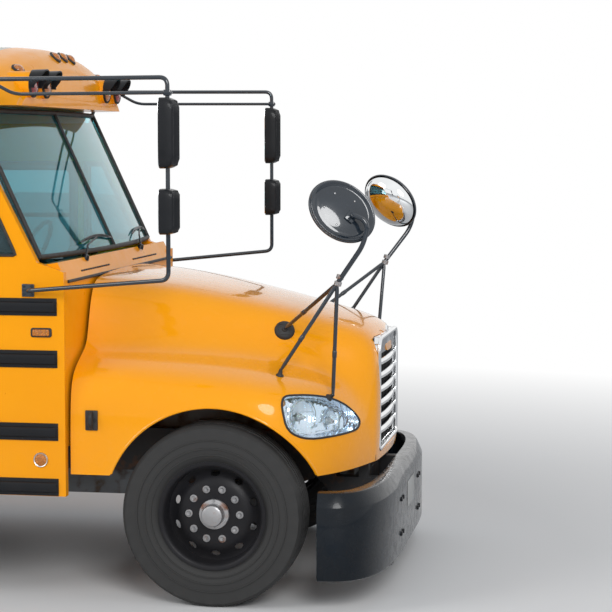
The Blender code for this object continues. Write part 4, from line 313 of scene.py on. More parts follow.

# %% [markdown]
# Glass is thin here, so it is a clear shader with a colour of its own. The windshield's strong blue-green tint
# and its pale teal haze, in broad patches thickest at its foot, are partly its own tint and dust and partly a
# painted reflection of the sky; the side windows are smoked. The lamp's lens is clear moulded plastic with fine
# upright flutes, and a thin film gives it the oily tints of a hard coating.

# %% Glass and lenses
def clear_sheet(name, color, roughness, dust=0.1, film=0.0, low=0.0, high=1.0, haze=0.1, patch=7.0):
    """Tinted glass with a pale teal film, partly dust and partly a painted sky reflection, whose haze takes a
    share of the light it lets through.
    """
    tree, shader = new_finish(name)
    reach = ramp(tree, height(tree), low, high, 1.0, 0.25)
    # The pale teal film below is partly dust and partly a painted sky reflection, most of all in the
    # windshield's broad patches.
    dust_and_painted_sky = times(tree, times(tree, noise_mask(tree, patch, 6.0, 0.25, 0.85), reach), dust)
    feed(shader, Base_Color=tint(tree, dust_and_painted_sky, color, (0.42, 0.62, 0.66)))
    feed(shader, Transmission_Weight=ramp(tree, dust_and_painted_sky, 0.0, 0.2, 1.0, 1 - haze))
    feed(shader, Roughness=noise_mask(tree, 40.0, 5.0, 0.3, 0.8, roughness, roughness + 0.02))
    feed(shader, IOR=1.45)
    if film:
        feed(shader, Thin_Film_Thickness=film, Thin_Film_IOR=1.33)
    relief(tree, shader, [(grain(tree, 1.6, 1.0), 0.02, 0.002)])
    return bpy.data.materials[name]


def lens_plastic(name, color, scale, roughness=0.1):
    """Coloured lamp plastic with a moulded pattern of small pillows."""
    tree, shader = new_finish(name)
    pillow = cells(tree, scale)
    base = tint(tree, ramp(tree, pillow, 0.0, 0.6), color, tuple(0.45 * part for part in color))
    feed(shader, Base_Color=base)
    feed(shader, Roughness=noise_mask(tree, 30.0, 4.0, 0.3, 0.8, roughness, roughness + 0.14))
    feed(shader, Transmission_Weight=0.12, Coat_Weight=0.8, Coat_Roughness=0.05, Subsurface_Weight=0.15)
    relief(tree, shader, [(pillow, 0.5, 0.0015), (grain(tree, 90.0, 2.0), 0.08, 0.0004)])
    return bpy.data.materials[name]


# The windshield's strong teal tint and broad hazy patches are partly its own tint and dust, partly a painted
# reflection of the sky.
windshield_glass = clear_sheet("windshield_glass", (0.16, 0.74, 0.86), 0.0, 0.12, low=1.85, high=2.9, haze=0.3,
                               patch=1.1)
smoked_glass = clear_sheet("smoked_glass", (0.16, 0.24, 0.26), 0.0, 0.45, low=1.7, high=2.5)
# pane_black is an opaque near-black sheet for the rear windows: painted shade standing in for glass and the dim
# inside behind it.
pane_black = powder_coat("pane_black", (0.006, 0.012, 0.014), 0.1, 0.02, 0.0, 1.0)
lens_clear = clear_sheet("lens_clear", (0.93, 0.97, 1.0), 0.005, 0.2, film=420.0, low=0.9, high=1.25)
lens_amber = lens_plastic("lens_amber", (0.95, 0.3, 0.01), 95.0)
lens_red = lens_plastic("lens_red", (0.62, 0.012, 0.01), 95.0)
lens_white = lens_plastic("lens_white", (0.8, 0.82, 0.83), 80.0)
print("glasses:", len(bpy.data.materials))

# %% [markdown]
# Rubber, vinyl and moulded plastic scatter light softly. Tyres turn grey-brown where they meet the road,
# gaskets stay black, the benches are covered in dark green vinyl with a leather-like grain, and the floor
# covering is ribbed rubber. Each gets a grain at its own scale.

# %% Rubber, vinyl and plastic
def soft_plastic(name, color, shade, roughness, pattern, depth, dust=0.1, sheen=0.0, dust_top=1.4):
    tree, shader = new_finish(name)
    base = tint(tree, noise_mask(tree, 3.5, 5.0, 0.3, 0.7), color, shade)
    reach = times(tree, ramp(tree, height(tree), 0.1, dust_top, dust, dust * 0.25),
                  noise_mask(tree, 15.0, 6.0, 0.35, 0.7))
    feed(shader, Base_Color=tint(tree, reach, base, DUST))
    feed(shader, Roughness=noise_mask(tree, 22.0, 5.0, 0.3, 0.75, roughness - 0.06, roughness + 0.1))
    if sheen:
        feed(shader, Sheen_Weight=sheen, Sheen_Roughness=0.4)
    height_value = cells(tree, pattern) if pattern > 0 else bands(tree, -pattern, "Y")
    relief(tree, shader, [(height_value, 0.45, depth), (grain(tree, 310.0, 2.0), 0.15, depth / 2)])
    return bpy.data.materials[name]


tyre_rubber = soft_plastic("tyre_rubber", (0.012, 0.012, 0.013), (0.022, 0.021, 0.021), 0.74, 260.0, 0.0006,
                           0.22, 0.0, 0.9)
gasket_rubber = soft_plastic("gasket_rubber", (0.01, 0.01, 0.011), (0.018, 0.018, 0.019), 0.62, 500.0, 0.0003,
                             0.08)
bench_vinyl = soft_plastic("bench_vinyl", (0.012, 0.06, 0.04), (0.018, 0.075, 0.052), 0.46, 330.0, 0.0007,
                           0.06, 0.25)
driver_cloth = soft_plastic("driver_cloth", (0.03, 0.032, 0.038), (0.045, 0.047, 0.055), 0.85, 620.0, 0.0007,
                            0.05, 0.5)
floor_rubber = soft_plastic("floor_rubber", (0.04, 0.041, 0.043), (0.06, 0.06, 0.06), 0.7, -38.0, 0.002, 0.45)
dash_plastic = soft_plastic("dash_plastic", (0.05, 0.053, 0.058), (0.065, 0.068, 0.072), 0.58, 410.0, 0.0006,
                            0.1)
lid_plastic = soft_plastic("lid_plastic", (0.72, 0.71, 0.67), (0.64, 0.63, 0.59), 0.45, 240.0, 0.0005, 0.15)
sign_red = enamel("sign_red", (0.58, 0.008, 0.01), (0.5, 0.006, 0.008), dust=0.05, roughness=0.36, coat=0.3)
tape_white = lens_plastic("tape_white", (0.78, 0.78, 0.76), 190.0, 0.3)
tape_yellow = enamel("tape_yellow", (0.97, 0.62, 0.05), (0.93, 0.56, 0.04), roughness=0.36, coat=0.3)
print("finishes in all:", len(bpy.data.materials))

# %% [markdown]
# Many small forms make one piece: a frame with its bolts, a lamp with its ring. Each helper below adds one
# kind of form to a growing mesh: a loft between rings of points, a turned profile, a tube along a route, a
# box with eased edges, a bolt. The mesh then becomes an object that rides on its body and takes its finish.

# %% Forms
def turned(radius, turn, up=0.0):
    """A point at a radius and an angle, so far up."""
    return Vector((radius * cos(turn), radius * sin(turn), up))


def shares(count):
    """Even steps from 0 to 1, with both ends."""
    return [step / count for step in range(count + 1)]


def new_forms(count):
    return [bmesh.new() for number in range(count)]


def add_loft(form, rings, closed=True, caps=(True, True), looped=False):
    """Faces from ring to ring; a looped loft also joins its last ring to its first."""
    rows = [[form.verts.new(point) for point in ring] for ring in rings]
    for near, far in zip(rows, rows[1:] + rows[:looped]):
        count = len(near)
        for step in range(count if closed else count - 1):
            after = (step + 1) % count
            form.faces.new((near[step], near[after], far[after], far[step]))
    if caps[0]:
        form.faces.new(list(reversed(rows[0])))
    if caps[1]:
        form.faces.new(rows[-1])
    return rows


def add_lathe(form, profile, place, steps=48):
    """A profile of (radius, height) turned about Z and then placed."""
    turns = [2 * pi * step / steps for step in range(steps)]
    rings = [[place @ turned(radius, turn, up) for radius, up in profile] for turn in turns]
    add_loft(form, rings, False, (False, False), True)


def add_tube(form, route, radius, sides=12, caps=True, flat=1.0):
    """A tube along a route of points; a table of radii makes it taper."""
    route = [Vector(point) for point in route]
    radii = radius if isinstance(radius, (list, tuple)) else [radius] * len(route)
    along = [(route[min(step + 1, len(route) - 1)] - route[max(step - 1, 0)]).normalized()
             for step in range(len(route))]
    across = along[0].orthogonal().normalized()
    rings = []
    for point, ahead, wide in zip(route, along, radii):
        across = (across - ahead * across.dot(ahead)).normalized()
        up = ahead.cross(across)
        rings.append([point + (across * cos(2 * pi * side / sides)
                               + up * flat * sin(2 * pi * side / sides)) * wide for side in range(sides)])
    add_loft(form, rings, True, (caps, caps))


def add_ring(form, route, radius, sides):
    """A tube that runs once round and meets itself."""
    add_tube(form, route + route[:2], radius, sides, False)


def bent(points, radius, steps=6):
    """A route with each inner corner turned into an arc."""
    route = [Vector(points[0])]
    for before, corner, after in zip(points, points[1:], points[2:]):
        corner = Vector(corner)
        first = corner + (Vector(before) - corner).normalized() * radius
        last = corner + (Vector(after) - corner).normalized() * radius
        route += [first.lerp(corner, share).lerp(corner.lerp(last, share), share) for share in shares(steps)]
    route.append(Vector(points[-1]))
    return route


def add_box(form, low, high, ease=0.004, turn=None, segments=2):
    """A box with eased edges, turned about its own middle by a matrix if one is given."""
    ends = list(zip(low, high))
    low, high = Vector([min(pair) for pair in ends]), Vector([max(pair) for pair in ends])
    middle, size = (low + high) / 2, high - low
    place = Matrix.Translation(middle) @ (turn or Matrix.Identity(4)) @ Matrix.Diagonal((*size, 1.0))
    made = bmesh.ops.create_cube(form, size=1.0, matrix=place)
    if ease:
        edges = list(dict.fromkeys(edge for corner in made["verts"] for edge in corner.link_edges))
        bmesh.ops.bevel(form, geom=edges, offset=ease, segments=segments, affect="EDGES", profile=0.5,
                        clamp_overlap=True)


def aimed(place, direction):
    """A matrix at a place, its Z along a direction."""
    return Matrix.Translation(Vector(place)) @ Vector(direction).to_track_quat("Z", "Y").to_matrix().to_4x4()


def add_bolt(form, place, direction, radius, rise):
    """A hexagon head with a chamfered top on a round washer."""
    seat = aimed(place, direction)
    add_lathe(form, [(0.0, 0.0022), (radius * 1.45, 0.0022), (radius * 1.6, 0.0)], seat, 16)
    rings = []
    for wide, up in ((1.0, 0.0), (1.0, rise * 0.8), (0.84, rise)):
        rings.append([seat @ turned(radius * wide, pi * side / 3, up) for side in range(6)])
    add_loft(form, rings, True, (False, True))


def add_rivet(form, place, direction, radius=0.0065):
    seat = aimed(place, direction)
    add_lathe(form, [(0.0, radius * 0.55), (radius * 0.6, radius * 0.42), (radius, 0.0)], seat, 8)


def grown(name, form):
    """Turns a growing mesh into an object of the scene."""
    bmesh.ops.recalc_face_normals(form, faces=form.faces)
    mesh = bpy.data.meshes.new(name)
    form.to_mesh(mesh)
    form.free()
    made = bpy.data.objects.new(name, mesh)
    scene.collection.objects.link(made)
    return made


def dress(name, form, finish, body="bus_body", sharp=40):
    """Makes a piece of the bus, smooth but for its sharp edges."""
    piece = grown(name, form)
    piece.data.shade_smooth()
    piece.data.set_sharp_from_angle(angle=radians(sharp))
    piece.data.materials.append(finish)
    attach(piece, body)
    return piece


def bake(piece):
    """Replaces a piece's modifiers by the mesh that they make."""
    bpy.context.view_layer.update()
    ready = piece.evaluated_get(bpy.context.evaluated_depsgraph_get())
    mesh = bpy.data.meshes.new_from_object(ready)
    piece.modifiers.clear()
    old = piece.data
    piece.data = mesh
    bpy.data.meshes.remove(old)
    return piece


def skin_tree(piece):
    """A tree of a piece's faces, which rays can be cast on."""
    return BVHTree.FromPolygons([corner.co.copy() for corner in piece.data.vertices],
                                [tuple(face.vertices) for face in piece.data.polygons])


SIDES = (("left", 1), ("right", -1))

# %% [markdown]
# Every size below is the model's own, in metres: X runs forward, Y to the bus's left and Z up. The scene
# can't read the model's source, so it states the few planes and centres that its pieces hang on once more,
# here.

# %% Sizes shared with the model
FRONT, REAR = 5.6, -5.6
SIDE, INNER_SIDE, SEAT_GAP = 1.22, 1.17, 0.0003
FLOOR_Z, SKIRT_Z, EAVE_Z, ROOF_Z = 0.95, 0.6, 2.66, 3.1
COWL_X, BODY_REAR, SHELL_REAR = 3.85, -5.45, -5.39
SCREEN_BASE_X, SCREEN_TOP_X, SCREEN_BASE_Z, SCREEN_TOP_Z = 3.7, 3.3, 1.88, 2.74
SCREEN_BOW = 0.1
ROOF_FRONT, CAP_DEPTH = 3.25, 0.3
WINDOW_LOW_Z, WINDOW_HIGH_Z, WINDOW_PITCH, WINDOW_WIDTH = 1.72, 2.38, 0.71, 0.6
WINDOW_FIRST_X = SHELL_REAR + 0.16
DOOR_FRONT_X, DOOR_REAR_X, DOOR_TOP_Z, LOW_STEP_Z = 3.18, 2.42, 2.51, 0.41
NOSE_X, HOOD_LENGTH, HOOD_HALF = 5.47, 1.6, 1.19
HOOD_LIP_Z, HOOD_RISE = 0.72, 1.07
FRONT_AXLE_X, REAR_AXLE_X, ARCH_RADIUS = 4.65, -1.9, 0.6
TYRE_RADIUS, TYRE_WIDTH = 0.505, 0.28
FRONT_TRACK, REAR_TRACK, DUAL_SPACING = 2.06, 1.77, 0.32
RIM_RADIUS, FLANGE_RADIUS, RIM_HALF = 0.286, 0.3, 0.12
GRILLE_HALF, GRILLE_LOW_Z, GRILLE_HIGH_Z = 0.385, 0.76, 1.42
for name in ("hood", "grille", "windshield"):
    low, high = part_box(name)
    print(name, [round(value, 3) for value in low], [round(value, 3) for value in high])

# %% [markdown]
# The floor is one pale plane that catches the shadow. Far from the bus it fades to plain white for the
# camera, so that no horizon cuts the picture. A mask of distance does this inside the floor's own material.

# %% Studio floor
tree, shader = new_finish("studio_floor")
feed(shader, Base_Color=(0.8, 0.8, 0.8), Roughness=0.9, Specular_IOR_Level=0.1)
split = add_node(tree, "VectorMath")
split.operation = "LENGTH"
tree.links.new(spot(tree, (0.75, 1, 0)), split.inputs[0])
far = ramp(tree, split.outputs["Value"], 5.0, 11.0)
mask = times(tree, far, add_node(tree, "LightPath").outputs["Is Camera Ray"])
feed(tree.nodes["Material Output"],
     Surface=mixed(tree, mask, shader.outputs[0], add_node(tree, "Emission").outputs[0]))
form = bmesh.new()
bmesh.ops.create_grid(form, x_segments=4, y_segments=4, size=90.0)
plane = grown("studio_floor", form)
plane.data.materials.append(bpy.data.materials["studio_floor"])

# %% [markdown]
# The hood and its fenders are one moulding in fibreglass, so it has no panel joints, only long swells. Half
# of it is a coarse cage of nine lines; a mirror and three rounds of subdivision turn that into one flowing
# skin. The wheel arches, the grille's mouth and the lamps' openings are then cut, which leaves the crisp
# edges that a trimmed moulding has. The middle of the mouth keeps a tongue of the hood's own skin.

# %% Hood skin
HOOD_CAGE_SHARES = (((-0.008, 0.0, -0.02), (-0.016, 0.0, 0.23), (-0.01, 0.0, 0.5), (0.006, 0.0, 0.7),
                     (0.13, 0.0, 0.765), (0.42, 0.0, 0.875), (0.75, 0.0, 0.97), (1.0, 0.0, 1.0)),
                    ((0.004, 0.335, -0.02), (-0.003, 0.335, 0.23), (0.0, 0.335, 0.5), (0.014, 0.33, 0.68),
                     (0.135, 0.33, 0.745), (0.42, 0.36, 0.855), (0.75, 0.41, 0.96), (1.0, 0.47, 0.99)),
                    ((0.012, 0.395, -0.02), (0.006, 0.395, 0.23), (0.009, 0.4, 0.46), (0.03, 0.405, 0.61),
                     (0.14, 0.425, 0.69), (0.42, 0.465, 0.8), (0.75, 0.53, 0.91), (1.0, 0.61, 0.955)),
                    ((0.02, 0.425, -0.02), (0.02, 0.435, 0.18), (0.04, 0.445, 0.38), (0.09, 0.46, 0.5),
                     (0.19, 0.475, 0.59), (0.44, 0.515, 0.7), (0.76, 0.59, 0.78), (1.0, 0.67, 0.82)),
                    ((0.03, 0.48, -0.02), (0.032, 0.49, 0.17), (0.062, 0.505, 0.35), (0.13, 0.525, 0.45),
                     (0.25, 0.55, 0.525), (0.47, 0.59, 0.6), (0.77, 0.65, 0.655), (1.0, 0.71, 0.68)),
                    ((0.085, 0.72, -0.02), (0.088, 0.72, 0.19), (0.115, 0.72, 0.37), (0.165, 0.715, 0.455),
                     (0.275, 0.715, 0.505), (0.5, 0.72, 0.565), (0.78, 0.73, 0.6), (1.0, 0.75, 0.615)),
                    ((0.215, 0.955, -0.02), (0.22, 0.955, 0.19), (0.245, 0.955, 0.36), (0.29, 0.955, 0.435),
                     (0.37, 0.955, 0.47), (0.56, 0.955, 0.51), (0.8, 0.955, 0.53), (1.0, 0.955, 0.535)),
                    ((0.33, 1.0, -0.02), (0.34, 1.0, 0.14), (0.37, 1.0, 0.26), (0.415, 1.0, 0.32),
                     (0.48, 1.0, 0.345), (0.63, 1.0, 0.37), (0.83, 1.0, 0.38), (1.0, 1.0, 0.38)),
                    ((0.37, 1.0, -0.02), (0.39, 1.0, -0.02), (0.42, 1.0, -0.02), (0.46, 1.0, -0.02),
                     (0.52, 1.0, -0.02), (0.66, 1.0, -0.02), (0.84, 1.0, -0.02), (1.0, 1.0, -0.02)), )


def hood_mesh():
    form = bmesh.new()
    columns = []
    for line in HOOD_CAGE_SHARES:
        columns.append([form.verts.new((NOSE_X - back * HOOD_LENGTH, side * HOOD_HALF,
                                        HOOD_LIP_Z + up * HOOD_RISE)) for back, side, up in line])
    for first, second in zip(columns, columns[1:]):
        for (a, b), (c, d) in zip(zip(first, first[1:]), zip(second, second[1:])):
            form.faces.new((a, c, d, b))
    skin = dress("hood_shell", form, hood_yellow, "hood", 32)
    halves = skin.modifiers.new("halves", "MIRROR")
    halves.use_axis = (False, True, False)
    smooth = skin.modifiers.new("smooth", "SUBSURF")
    smooth.levels = smooth.render_levels = 3
    smooth.boundary_smooth = "PRESERVE_CORNERS"
    return bake(skin)


def carve(piece, *tools):
    """Cuts the tools out of a piece and clears them away."""
    for tool in tools:
        change = piece.modifiers.new("cut", "BOOLEAN")
        change.operation, change.solver, change.object = "DIFFERENCE", "EXACT", tool
    bake(piece)
    for tool in tools:
        mesh = tool.data
        bpy.data.objects.remove(tool)
        bpy.data.meshes.remove(mesh)
    return piece


def prism(outline, place, low, high):
    """An outline in a plane's own (x, y), pushed from low to high along its Z."""
    form = bmesh.new()
    add_loft(form, [[place @ Vector((u, v, level)) for u, v in outline] for level in (low, high)])
    return form


def softened(outline, rounds=2):
    """Cuts the corners of a closed outline until it reads as a curve."""
    for step in range(rounds):
        eased = []
        for (ax, ay), (bx, by) in zip(outline, outline[1:] + outline[:1]):
            eased.append((0.78 * ax + 0.22 * bx, 0.78 * ay + 0.22 * by))
            eased.append((0.22 * ax + 0.78 * bx, 0.22 * ay + 0.78 * by))
        outline = eased
    return outline


hood_shell = hood_mesh()
hood_tree = skin_tree(hood_shell)
print("faces in the hood's skin:", len(hood_shell.data.polygons))

# %% [markdown]
# The lamp faces outward by 38 degrees, so its outline is drawn in a plane that faces the same way and is then
# dropped on to the skin by rays. The same outline cuts the hole, shapes the lens and seats the gasket, so the
# three always fit each other.

# %% Openings in the hood
LAMP_TURN = radians(38.0)
LAMP_HALF_WIDTH, LAMP_HALF_HEIGHT = 0.34, 0.125
LAMP_SHARES = ((-1.0, -0.55), (-0.96, -0.8), (-0.8, -0.97), (0.74, -1.0), (0.8, 1.0), (0.25, 0.96),
               (-0.25, 0.72), (-0.62, 0.3), (-0.86, -0.15))
FRONT_PLANE = Matrix(((0, 0, 1, 0), (1, 0, 0, 0), (0, 1, 0, 0), (0, 0, 0, 1)))
TONGUE_HALF, TONGUE_LOW_Z, CORNER = 0.125, 1.315, 0.07


def lamp_place(side):
    middle = Vector((NOSE_X - HOOD_LENGTH * 0.18125, side * HOOD_HALF * 0.7563,
                     HOOD_LIP_Z + HOOD_RISE * 0.3037))
    return Matrix.Translation(middle) @ Matrix.Rotation(side * LAMP_TURN, 4, "Z") @ FRONT_PLANE


def lamp_outline(side, grow=0.0):
    points = [(side * u * (LAMP_HALF_WIDTH + grow), v * (LAMP_HALF_HEIGHT + grow)) for u, v in LAMP_SHARES]
    return softened(points, 3)


def on_hood(start, aim):
    """Where a ray meets the hood's skin, and the skin's outward direction there."""
    place, normal, *rest = hood_tree.ray_cast(Vector(start), Vector(aim).normalized())
    if place is None:
        place, normal, *rest = hood_tree.find_nearest(Vector(start) + Vector(aim).normalized() * 0.4)
    if normal.dot(Vector(aim)) > 0:
        normal = -normal
    return place, normal


def arc_points(middle, radius, start, sweep, steps):
    return [(middle[0] + radius * cos(start + sweep * share), middle[1] + radius * sin(start + sweep * share))
            for share in shares(steps)]


def mouth_outline(inside=0.0, tongue=True):
    half, low, high = GRILLE_HALF - inside, GRILLE_LOW_Z + inside, GRILLE_HIGH_Z - inside
    right = arc_points((half - CORNER, high - CORNER), CORNER, 0.0, pi / 2, 8)
    notch = []
    if tongue:
        corner = 0.05
        notch = ([(TONGUE_HALF + 0.03, high), (TONGUE_HALF, high - 0.02)]
                 + arc_points((TONGUE_HALF - corner, TONGUE_LOW_Z + corner), corner, 0.0, -pi / 2, 6))
    left_notch = [(-y, z) for y, z in reversed(notch)]
    base = arc_points((half - 0.03, low + 0.03), 0.03, -pi / 2, pi / 2, 5)
    return ([(-y, z) for y, z in reversed(base)] + base + right + notch + left_notch
            + [(-y, z) for y, z in reversed(right)])

# %% Trim hood
thick = hood_shell.modifiers.new("thick", "SOLIDIFY")
thick.thickness, thick.offset, thick.use_even_offset = 0.012, -1, False
below = bmesh.new()
add_box(below, (COWL_X - 0.1, -2, -1), (6.5, 2, HOOD_LIP_Z), 0)
arch = bmesh.new()
ring = arc_points((FRONT_AXLE_X, TYRE_RADIUS), ARCH_RADIUS, 0.0, 2 * pi, 96)[:-1]
add_loft(arch, [[(x, y, z) for x, z in ring] for y in (-2, 2)])
mouth = prism(mouth_outline(), FRONT_PLANE, NOSE_X - 0.15, NOSE_X + 0.3)
tools = [grown("below", below), grown("arch", arch), grown("mouth", mouth)]
for side in (1, -1):
    tools.append(grown("lamp_hole", prism(lamp_outline(side), lamp_place(side), -0.22, 0.22)))
carve(hood_shell, *tools)
hood_shell.data.shade_smooth()
hood_shell.data.set_sharp_from_angle(angle=radians(34))

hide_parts("hood")
print("hood after its cuts:", len(hood_shell.data.polygons))

# %% [markdown]
# Trim hides the raw edges: a rolled lip around each wheel arch, the two hinge lugs, and a rubber latch at
# each rear corner. The lips are thin tubes laid on points found by rays.

# %% Hood trim
form = bmesh.new()
for side in (1, -1):
    route = []
    for share in shares(40):
        turn = radians(22 + 136 * share)
        x, z = FRONT_AXLE_X + ARCH_RADIUS * cos(turn), TYRE_RADIUS + ARCH_RADIUS * sin(turn)
        place, normal = on_hood((x, side * 2.0, z), (0, -side, 0))
        route.append(Vector((x, place.y - side * 0.006, z)))
    add_tube(form, route, 0.0085, 10)
dress("arch_lips", form, hood_yellow, "hood", 32)

# %% Hood latches
form = bmesh.new()
for side in (1, -1):
    x = COWL_X + 0.14
    place, normal = on_hood((x, side * 2.0, 1.02), (0, -side, 0))
    base = place + normal * 0.004
    add_box(form, base - Vector((0.035, 0.006, 0.055)), base + Vector((0.035, 0.006, 0.055)), 0.004)
    route = bent([base + Vector((0, side * 0.008, -0.045)), base + Vector((0, side * 0.03, -0.02)),
                  base + Vector((0, side * 0.03, 0.03)), base + Vector((0, side * 0.008, 0.045))], 0.012)
    add_tube(form, route, [0.01 + 0.005 * sin(pi * step / (len(route) - 1)) for step in range(len(route))], 12)
    add_bolt(form, base + Vector((0.022, side * 0.006, 0)), (0, side, 0), 0.006, 0.005)
    add_bolt(form, base + Vector((-0.022, side * 0.006, 0)), (0, side, 0), 0.006, 0.005)
dress("hood_latches", form, gasket_rubber, "hood", 32)

# %% Hood lugs
form = bmesh.new()
for side in (1, -1):
    low = (5.345, 0.4305 if side > 0 else -0.4605, HOOD_LIP_Z)
    add_box(form, low, (5.455, low[1] + 0.03, HOOD_LIP_Z + 0.04), 0.004)
    add_bolt(form, (5.38, side * 0.461, HOOD_LIP_Z + 0.018), (0, side, 0), 0.012, 0.01)
dress("hood_lugs", form, chassis_steel, "hood", 32)

# %% [markdown]
# The grille is chrome plate on a zinc frame: six slats, each bowed forward in the middle and rounded in
# section, inside a rounded surround. Behind them stands a black screen with upright ribs. A loft along the
# width gives each slat its bow, and a turned-in lip on the surround catches a bright line of sky.

# %% Grille
SLAT_LOW_Z, SLAT_PITCH, SLAT_COUNT = 0.867, 0.08, 6


def slat_section(y, z):
    """Rounded section of a slat at one place of its width, standing forward in the middle."""
    bow = 1 - (y / GRILLE_HALF) ** 2
    x = NOSE_X - 0.03 + 0.026 * bow
    shape = []
    for step in range(14):
        turn = 2 * pi * step / 14
        deep = 0.013 * cos(turn)
        tall = 0.018 * sin(turn)
        shape.append(Vector((x + deep * (1.0 if deep > 0 else 1.4), y, z + tall * (1 - 0.18 * cos(turn))
                             - deep * 0.25)))
    return shape


def grille_bars():
    form = bmesh.new()
    half = GRILLE_HALF - 0.016
    for slat in range(SLAT_COUNT):
        z = SLAT_LOW_Z + SLAT_PITCH * slat
        add_loft(form, [slat_section(half * (2 * share - 1), z) for share in shares(24)])
    outline = mouth_outline(0.01, False)
    route = [Vector((NOSE_X - 0.01 + 0.008 * (1 - (y / GRILLE_HALF) ** 2), y, z)) for y, z in outline]
    add_ring(form, route, 0.0125, 12)
    collar = ((0.12, 0.003), (0.014, 0.003), (0.014, 0.009), (0.12, 0.009))
    add_loft(form, [[(NOSE_X - back, y, z) for y, z in mouth_outline(inside, False)] for back,
                    inside in collar], True, (False, False))
    inner = [Vector((NOSE_X - 0.03, y, z)) for y, z in mouth_outline(0.02, False)]
    add_ring(form, inner, 0.007, 8)
    return dress("grille_bars", form, chrome, "hood", 32)


header_grey = bright_metal("header_grey", (0.3, 0.31, 0.33), 0.22, 0.12)
bars = grille_bars()
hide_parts("grille")

# %% Grille screen
form = bmesh.new()
half = GRILLE_HALF - 0.012
add_box(form, (NOSE_X - 0.047, -half, GRILLE_LOW_Z + 0.006), (NOSE_X - 0.041, half, GRILLE_HIGH_Z - 0.006),
        0.001)
for rib in range(-5, 6):
    y = rib * 0.064
    add_box(form, (NOSE_X - 0.044, y - 0.004, GRILLE_LOW_Z + 0.01), (NOSE_X - 0.026, y + 0.004, 1.31), 0.0015)
for row in range(14):
    z = GRILLE_LOW_Z + 0.03 + row * 0.04
    add_box(form, (NOSE_X - 0.043, -half, z - 0.003), (NOSE_X - 0.036, half, z + 0.003), 0.001)
dress("grille_screen", form, satin_black, "hood", 32)

# %% Grille header
# Smooth dark panel above the slats, curved a little across.
form = bmesh.new()
half = GRILLE_HALF - 0.022
rings = []
for share in shares(16):
    y = half * (2 * share - 1)
    x = NOSE_X - 0.02 + 0.01 * (1 - (y / GRILLE_HALF) ** 2)
    top = GRILLE_HIGH_Z - 0.018
    over = abs(y) - (GRILLE_HALF - CORNER)
    if over > 0:
        top -= CORNER - sqrt(max(CORNER ** 2 - over ** 2, 0))
    rings.append([(x, y, 1.315), (x + 0.004, y, 1.33), (x + 0.002, y, top),
                  (x - 0.02, y, top), (x - 0.02, y, 1.315)])
add_loft(form, rings)
dress("grille_header", form, header_grey, "hood", 32)

# %% Blank badge
# Bare oval plate on the hood's tongue.
form = bmesh.new()
place, normal = on_hood((NOSE_X + 0.4, 0, 1.385), (-1, 0, 0))
seat = aimed(place, (1, 0, 0.06)) @ Matrix.Rotation(pi / 2, 4, "Z") @ Matrix.Diagonal((1.0, 0.5, 1.0, 1.0))
add_lathe(form, [(0.0, 0.0045), (0.062, 0.0045), (0.068, 0.0075), (0.074, 0.0045), (0.075, -0.004)], seat, 48)
dress("blank_badge", form, chrome, "hood", 32)

print("slats:", SLAT_COUNT, "faces:", len(bars.data.polygons))

# %% [markdown]
# A lamp is three shells: a chromed bowl with two round dishes, bulbs in front of them, and a clear lens that
# carries the fender's curve on. The bowl and the lens grow from one polar grid, rings of points that shrink
# towards the middle of the outline, and each grid point is dropped on to the skin and then pushed in or out.

# %% Headlamps
DISHES = ((0.33, -0.05, 0.092, 0.04), (-0.28, -0.38, 0.066, 0.03))


def lamp_grid(side, rings, push):
    """Points on the skin inside the lamp's outline, each moved out by push(share, u, v)."""
    place = lamp_place(side)
    facing = (place.to_3x3() @ Vector((0, 0, 1))).normalized()
    outline = lamp_outline(side, -0.0035)
    middle = (side * -0.02, -0.02)
    grid = []
    for ring in range(rings + 1):
        share = ring / rings
        row = []
        for u, v in outline:
            across, up = middle[0] + (u - middle[0]) * share, middle[1] + (v - middle[1]) * share
            point, normal = on_hood(place @ Vector((across, up, 0.3)), -facing)
            row.append(point + facing * push(share, side * across / LAMP_HALF_WIDTH, up / LAMP_HALF_HEIGHT))
        grid.append(row)
    return grid, facing


def bowl_depth(share, u, v):
    depth = 0.004 + 0.05 * min(1.0, (1 - share) / 0.16)
    for du, dv, radius, deep in DISHES:
        gap = sqrt(((u - du) * LAMP_HALF_WIDTH) ** 2 + ((v - dv) * LAMP_HALF_HEIGHT) ** 2) / radius
        if gap < 1:
            depth = max(depth - 0.012, 0.03) + deep * (1 - gap ** 2)
    return -depth


